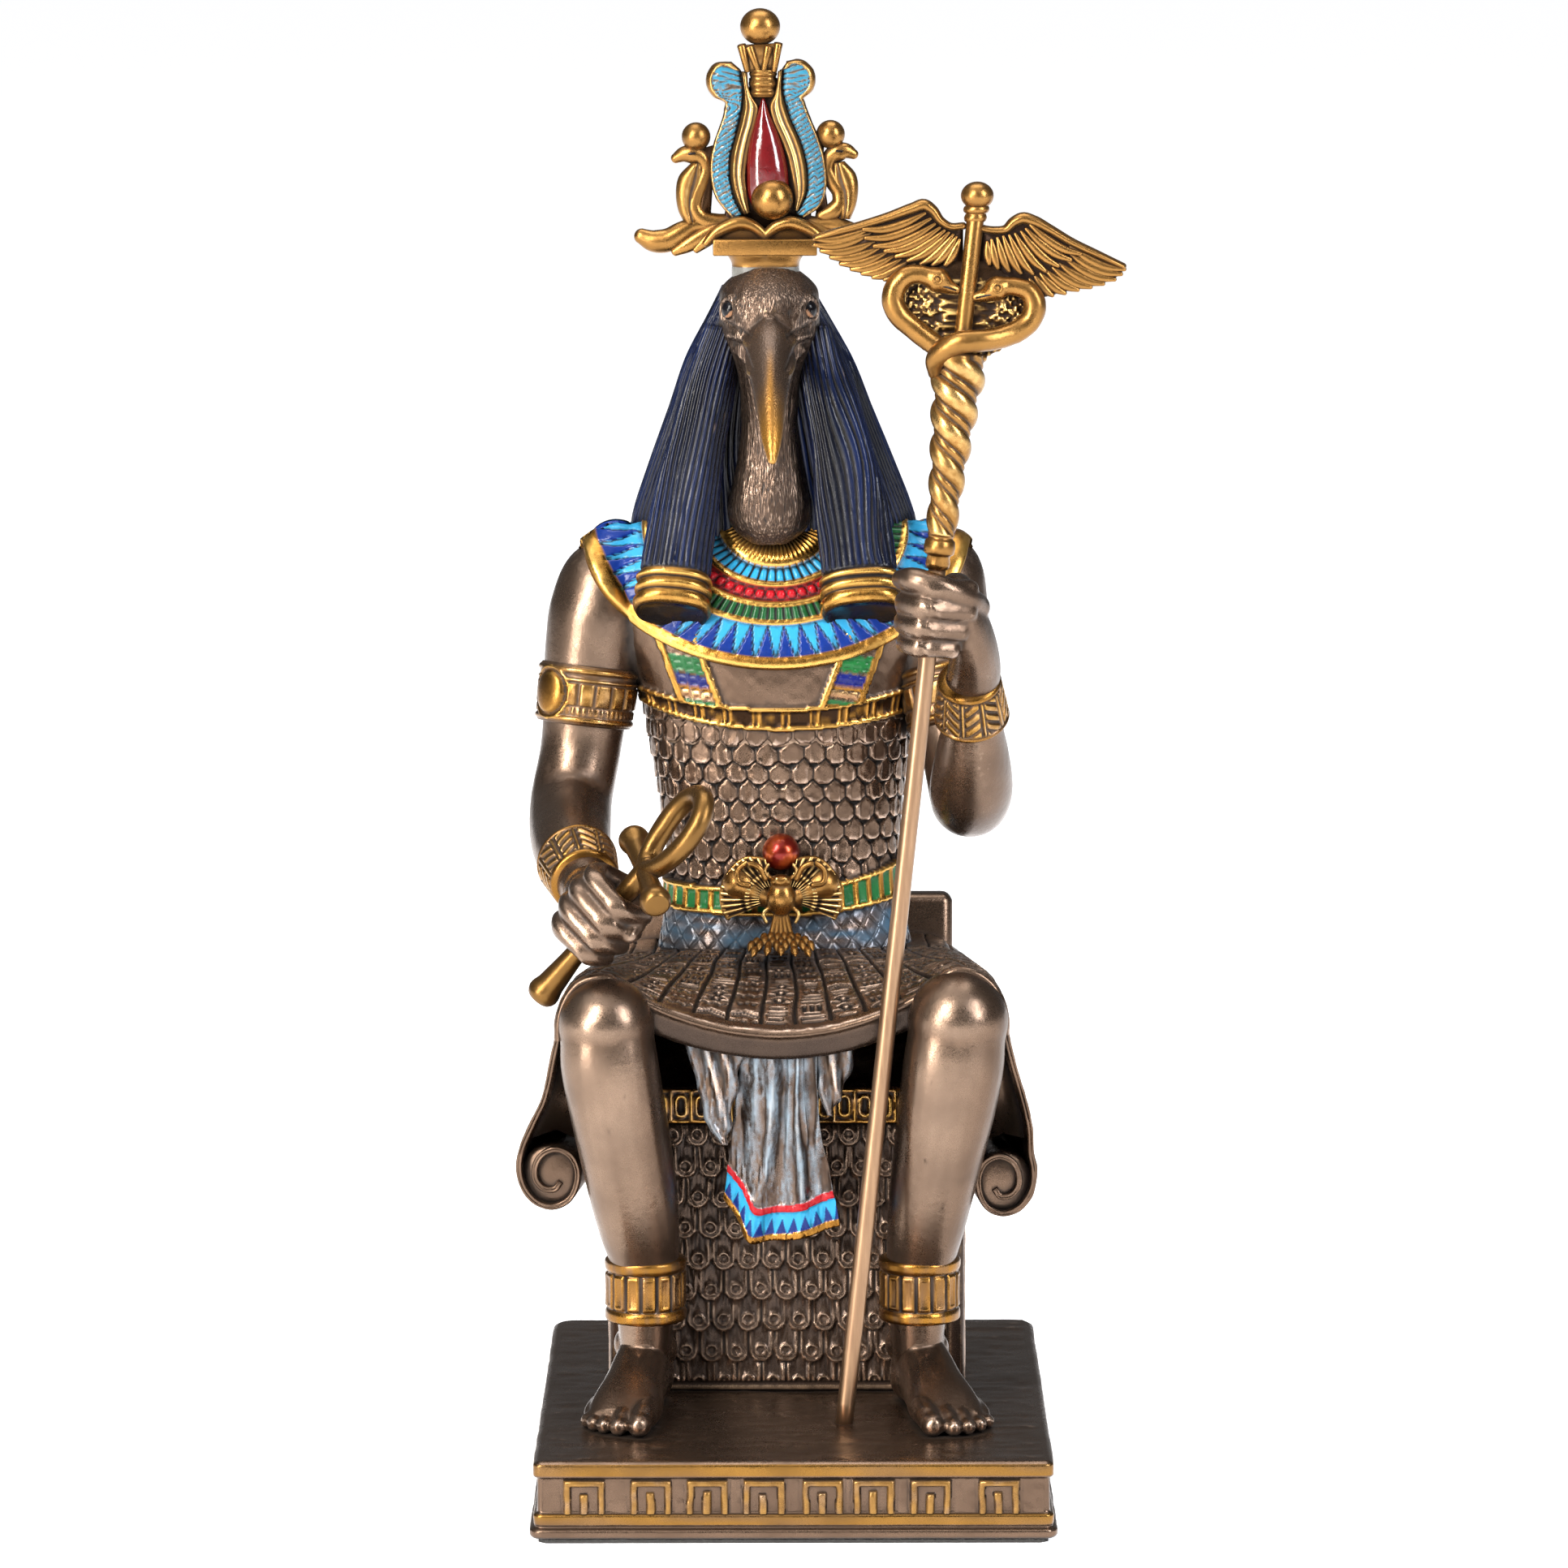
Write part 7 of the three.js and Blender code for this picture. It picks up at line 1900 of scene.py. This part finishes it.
def wing(side):
    """A dark ground with long feathers and shorter coverts on both faces, and a rounded leading edge."""
    ground, _, _, _ = flat_casting(WING_LEADS[side], WING_HEMS[side], WING_Y, 0.75, 48, 0.6, 5)
    parts = [shell(ground, paint=flood(ground.shape[:2], DARK_GROUND), gilt=0.9)]
    thick = (0.7, 0.75, 0.85, 1.0, 1.15, 1.1, 0.95, 0.85, 0.75, 0.65)
    parts.append(shell(tube([(x, WING_Y, z, 1.7, r) for (x, z), r in zip(WING_LEADS[side], thick)], 28,
        0.45, (0, 1, 0))))
    for face in (-1, 1):
        for feathers, lift, wide in ((PRIMARIES[side], 0.75, 0.78), (COVERTS[side], 1.25, 0.74)):
            for x0, z0, x1, z1 in feathers:
                sag = 0.1 * math.hypot(x1 - x0, z1 - z0)
                y = WING_Y + face * lift
                parts.append(shell(tube([
                    (x0, y, z0, 0.35, 0.3),
                    (0.7 * x0 + 0.3 * x1, y, 0.7 * z0 + 0.3 * z1 - 0.7 * sag, 0.6, wide),
                    (0.3 * x0 + 0.7 * x1, y, 0.3 * z0 + 0.7 * z1 - 0.8 * sag, 0.62, wide),
                    (x1, y, z1, 0.5, 0.42)], 12, 0.5, (0, 1, 0), 2.3)))
    return parts


SERPENTS = [
    [(30.4, 228.9, 26.9, 0.7), (29.2, 229.4, 26.9, 1.1), (27.0, 230.7, 27.0, 1.85), (25.1, 231.4, 27.0, 1.35),
     (23.0, 231.8, 27.0, 1.35), (21.0, 231.2, 27.0, 1.5), (19.4, 229.5, 27.0, 1.6), (18.8, 227.1, 27.0, 1.65),
     (19.8, 224.4, 27.0, 1.65), (22.2, 222.1, 27.0, 1.6), (24.7, 220.1, 27.2, 1.6),
     (27.1, 218.3, 27.4, 1.55)],
    [(34.2, 227.5, 27.0, 0.7), (35.8, 227.9, 27.0, 1.1), (38.1, 229.1, 27.1, 1.85), (39.9, 229.5, 27.0, 1.35),
     (41.9, 229.3, 27.0, 1.35), (44.0, 228.3, 27.0, 1.5), (45.0, 226.2, 27.0, 1.65),
     (44.4, 223.7, 27.1, 1.65), (42.3, 221.6, 27.6, 1.65), (39.0, 220.3, 28.8, 1.65),
     (35.0, 219.7, 30.3, 1.65), (30.9, 219.3, 30.6, 1.65), (28.2, 217.9, 29.6, 1.65),
     (26.7, 215.8, 28.0, 1.5), (26.8, 213.6, 26.6, 1.2)]]


def staff_head():
    parts = [column()] + wing(-1) + wing(1)
    for seed, line in enumerate(SERPENTS):
        points = tube([(x, -y, z, r * 1.28) for x, z, y, r in line], 32, 0.3, (0, 1, 0))
        parts.append(shell(points, height=0.05 * noise(points, 1.0, 120 + seed), reach=(2, 2), depth=0.2))
        snout, brow = line[0], line[2]
        turn = np.linspace(0, 2 * np.pi, 25)
        away = np.stack([np.cos(turn), 0 * turn, np.sin(turn)], 1)
        eye = np.array([brow[0], -brow[2] - 2.2, brow[1] + 0.25])
        parts.append(weld(grid_part(rings(eye + 0.8 * away, 0.25 * away, np.array([[0, 0.26, 0]] * 25), 12),
            closed=True)))
        parts.append(shell(ball(*eye, 0.46, around=14)))
        mouth = tube([
            (snout[0], -snout[2] - 0.8, snout[1] - 0.1, 0.16),
            ((snout[0] + brow[0]) / 2, -snout[2] - 1.6, (snout[1] + brow[1]) / 2 - 0.35, 0.2),
            (brow[0], -brow[2] - 1.9, brow[1] - 0.9, 0.12)], 10, 0.3)
        parts.append(shell(mouth, paint=flood(mouth.shape[:2], DARK_LINE)))
    stem = tube([(on_staff(z)[0], on_staff(z)[1] - ahead, z, r) for z, ahead, r in (
        (214, 0.9, 2.2), (220, 0.9, 1.7), (228, 0.9, 1.62), (241.4, 0.4, 1.62))], 40, 0.5)
    parts.append(shell(stem))
    z = np.linspace(241.2, 244.6, 36)
    collar_rings = np.interp(z, [241.2, 241.5, 242.1, 242.6, 242.8, 243.1, 243.6, 244.1, 244.4, 244.6],
        [1.6, 2.0, 2.15, 1.95, 1.85, 2.3, 2.45, 2.3, 1.7, 1.5])
    x, y, _ = np.array([on_staff(level) for level in z]).T
    parts.append(shell(level_rings(x, y, z, collar_rings, collar_rings, 48)))
    parts.append(shell(ball(34.4, STAFF_TIP[1], 246.1, 3.05, (1, 1, 0.86), 40)))
    rows = [
        (215.6, -4.2, 2.4), (217, -6, 6), (219.4, -8.8, 9.6), (223, -11.4, 11.4), (226.4, -12.3, 11.4),
        (229, -12, 10.6), (231.6, -8, 7), (234, -5, 4)]
    z = np.linspace(215.6, 234, 96)
    low, high = through(z, [r[0] for r in rows], [r[1:] for r in rows]).T
    middle = np.array([on_staff(level)[0] for level in z]) + (low + high) / 2
    ground = level_rings(middle, STAFF_TIP[1], z, (high - low) / 2, 1.1 - 0.3 * step(z, 229, 232), 220, 5)
    stipple = 0.3 * np.clip(1.9 * noise(ground, 0.5, 122) - 0.1, -1, 1) + 0.1 * noise(ground, 1.6, 123)
    shade = np.clip(0.8 - 1.5 * stipple + step(ground[..., 2], 230.5, 231.5), 0, 1)
    dark = flood(ground.shape[:2], "#3a2713", shade)
    stipple = stipple * (1 - step(ground[..., 2], 230, 231.5))
    parts.append(shell(ground, height=stipple, paint=dark, gilt=0.9, reach=(3, 3), depth=0.2))
    return join_parts(parts)


finished("staff_head", staff_head(), antique_gold, "gold_painted_resin", "caduceus_head", share=0.55)


# Ankh. A small gold-painted casting held in the viewer's left fist: flared shaft and cross-arm and a
# drawn-out loop, darker in tone than the crown.
aged_gold = cast_finish(
    "aged_gold_paint", linear("#6d4f28"), linear("#221409"), linear("#bf9754"), 0.92, 0.32)


def ankh():
    face = np.cross(ANKH_UP, ANKH_ARM)
    shaft = tube([(*on_ankh(up), r) for up, r in (
        (-33, 2.5), (-32.4, 2.9), (-29, 2.62), (-22, 2.0), (-8, 2.0), (1, 2.0))], 40, 0.6, ends=(0.12, 1))
    arm = tube([(*on_ankh(0, out), r) for out, r in (
        (-12.5, 2.3), (-11.8, 2.75), (-8, 2.25), (-3.5, 1.9), (3.5, 1.9), (8, 2.25), (11.8, 2.75),
        (12.5, 2.3))],
        40, 0.5, ANKH_UP, ends=(0.12, 0.12))
    turn = np.linspace(0, 2 * np.pi, 121)
    up = 9.4 - 8.6 * np.cos(turn)
    out = 6.6 * np.sin(turn) * (0.62 + 0.38 * up / 18)
    centre = np.array([on_ankh(a, b) for a, b in zip(up, out)])
    away = unit(centre - on_ankh(9.4))
    loop = rings(centre, 2.1 * away, 2.0 * np.repeat(face[None], 121, 0), 36)
    return join_parts([shell(shaft), shell(arm), weld(grid_part(loop, closed=True))])


finished("ankh", ankh(), aged_gold, "gold_painted_resin", "ankh")
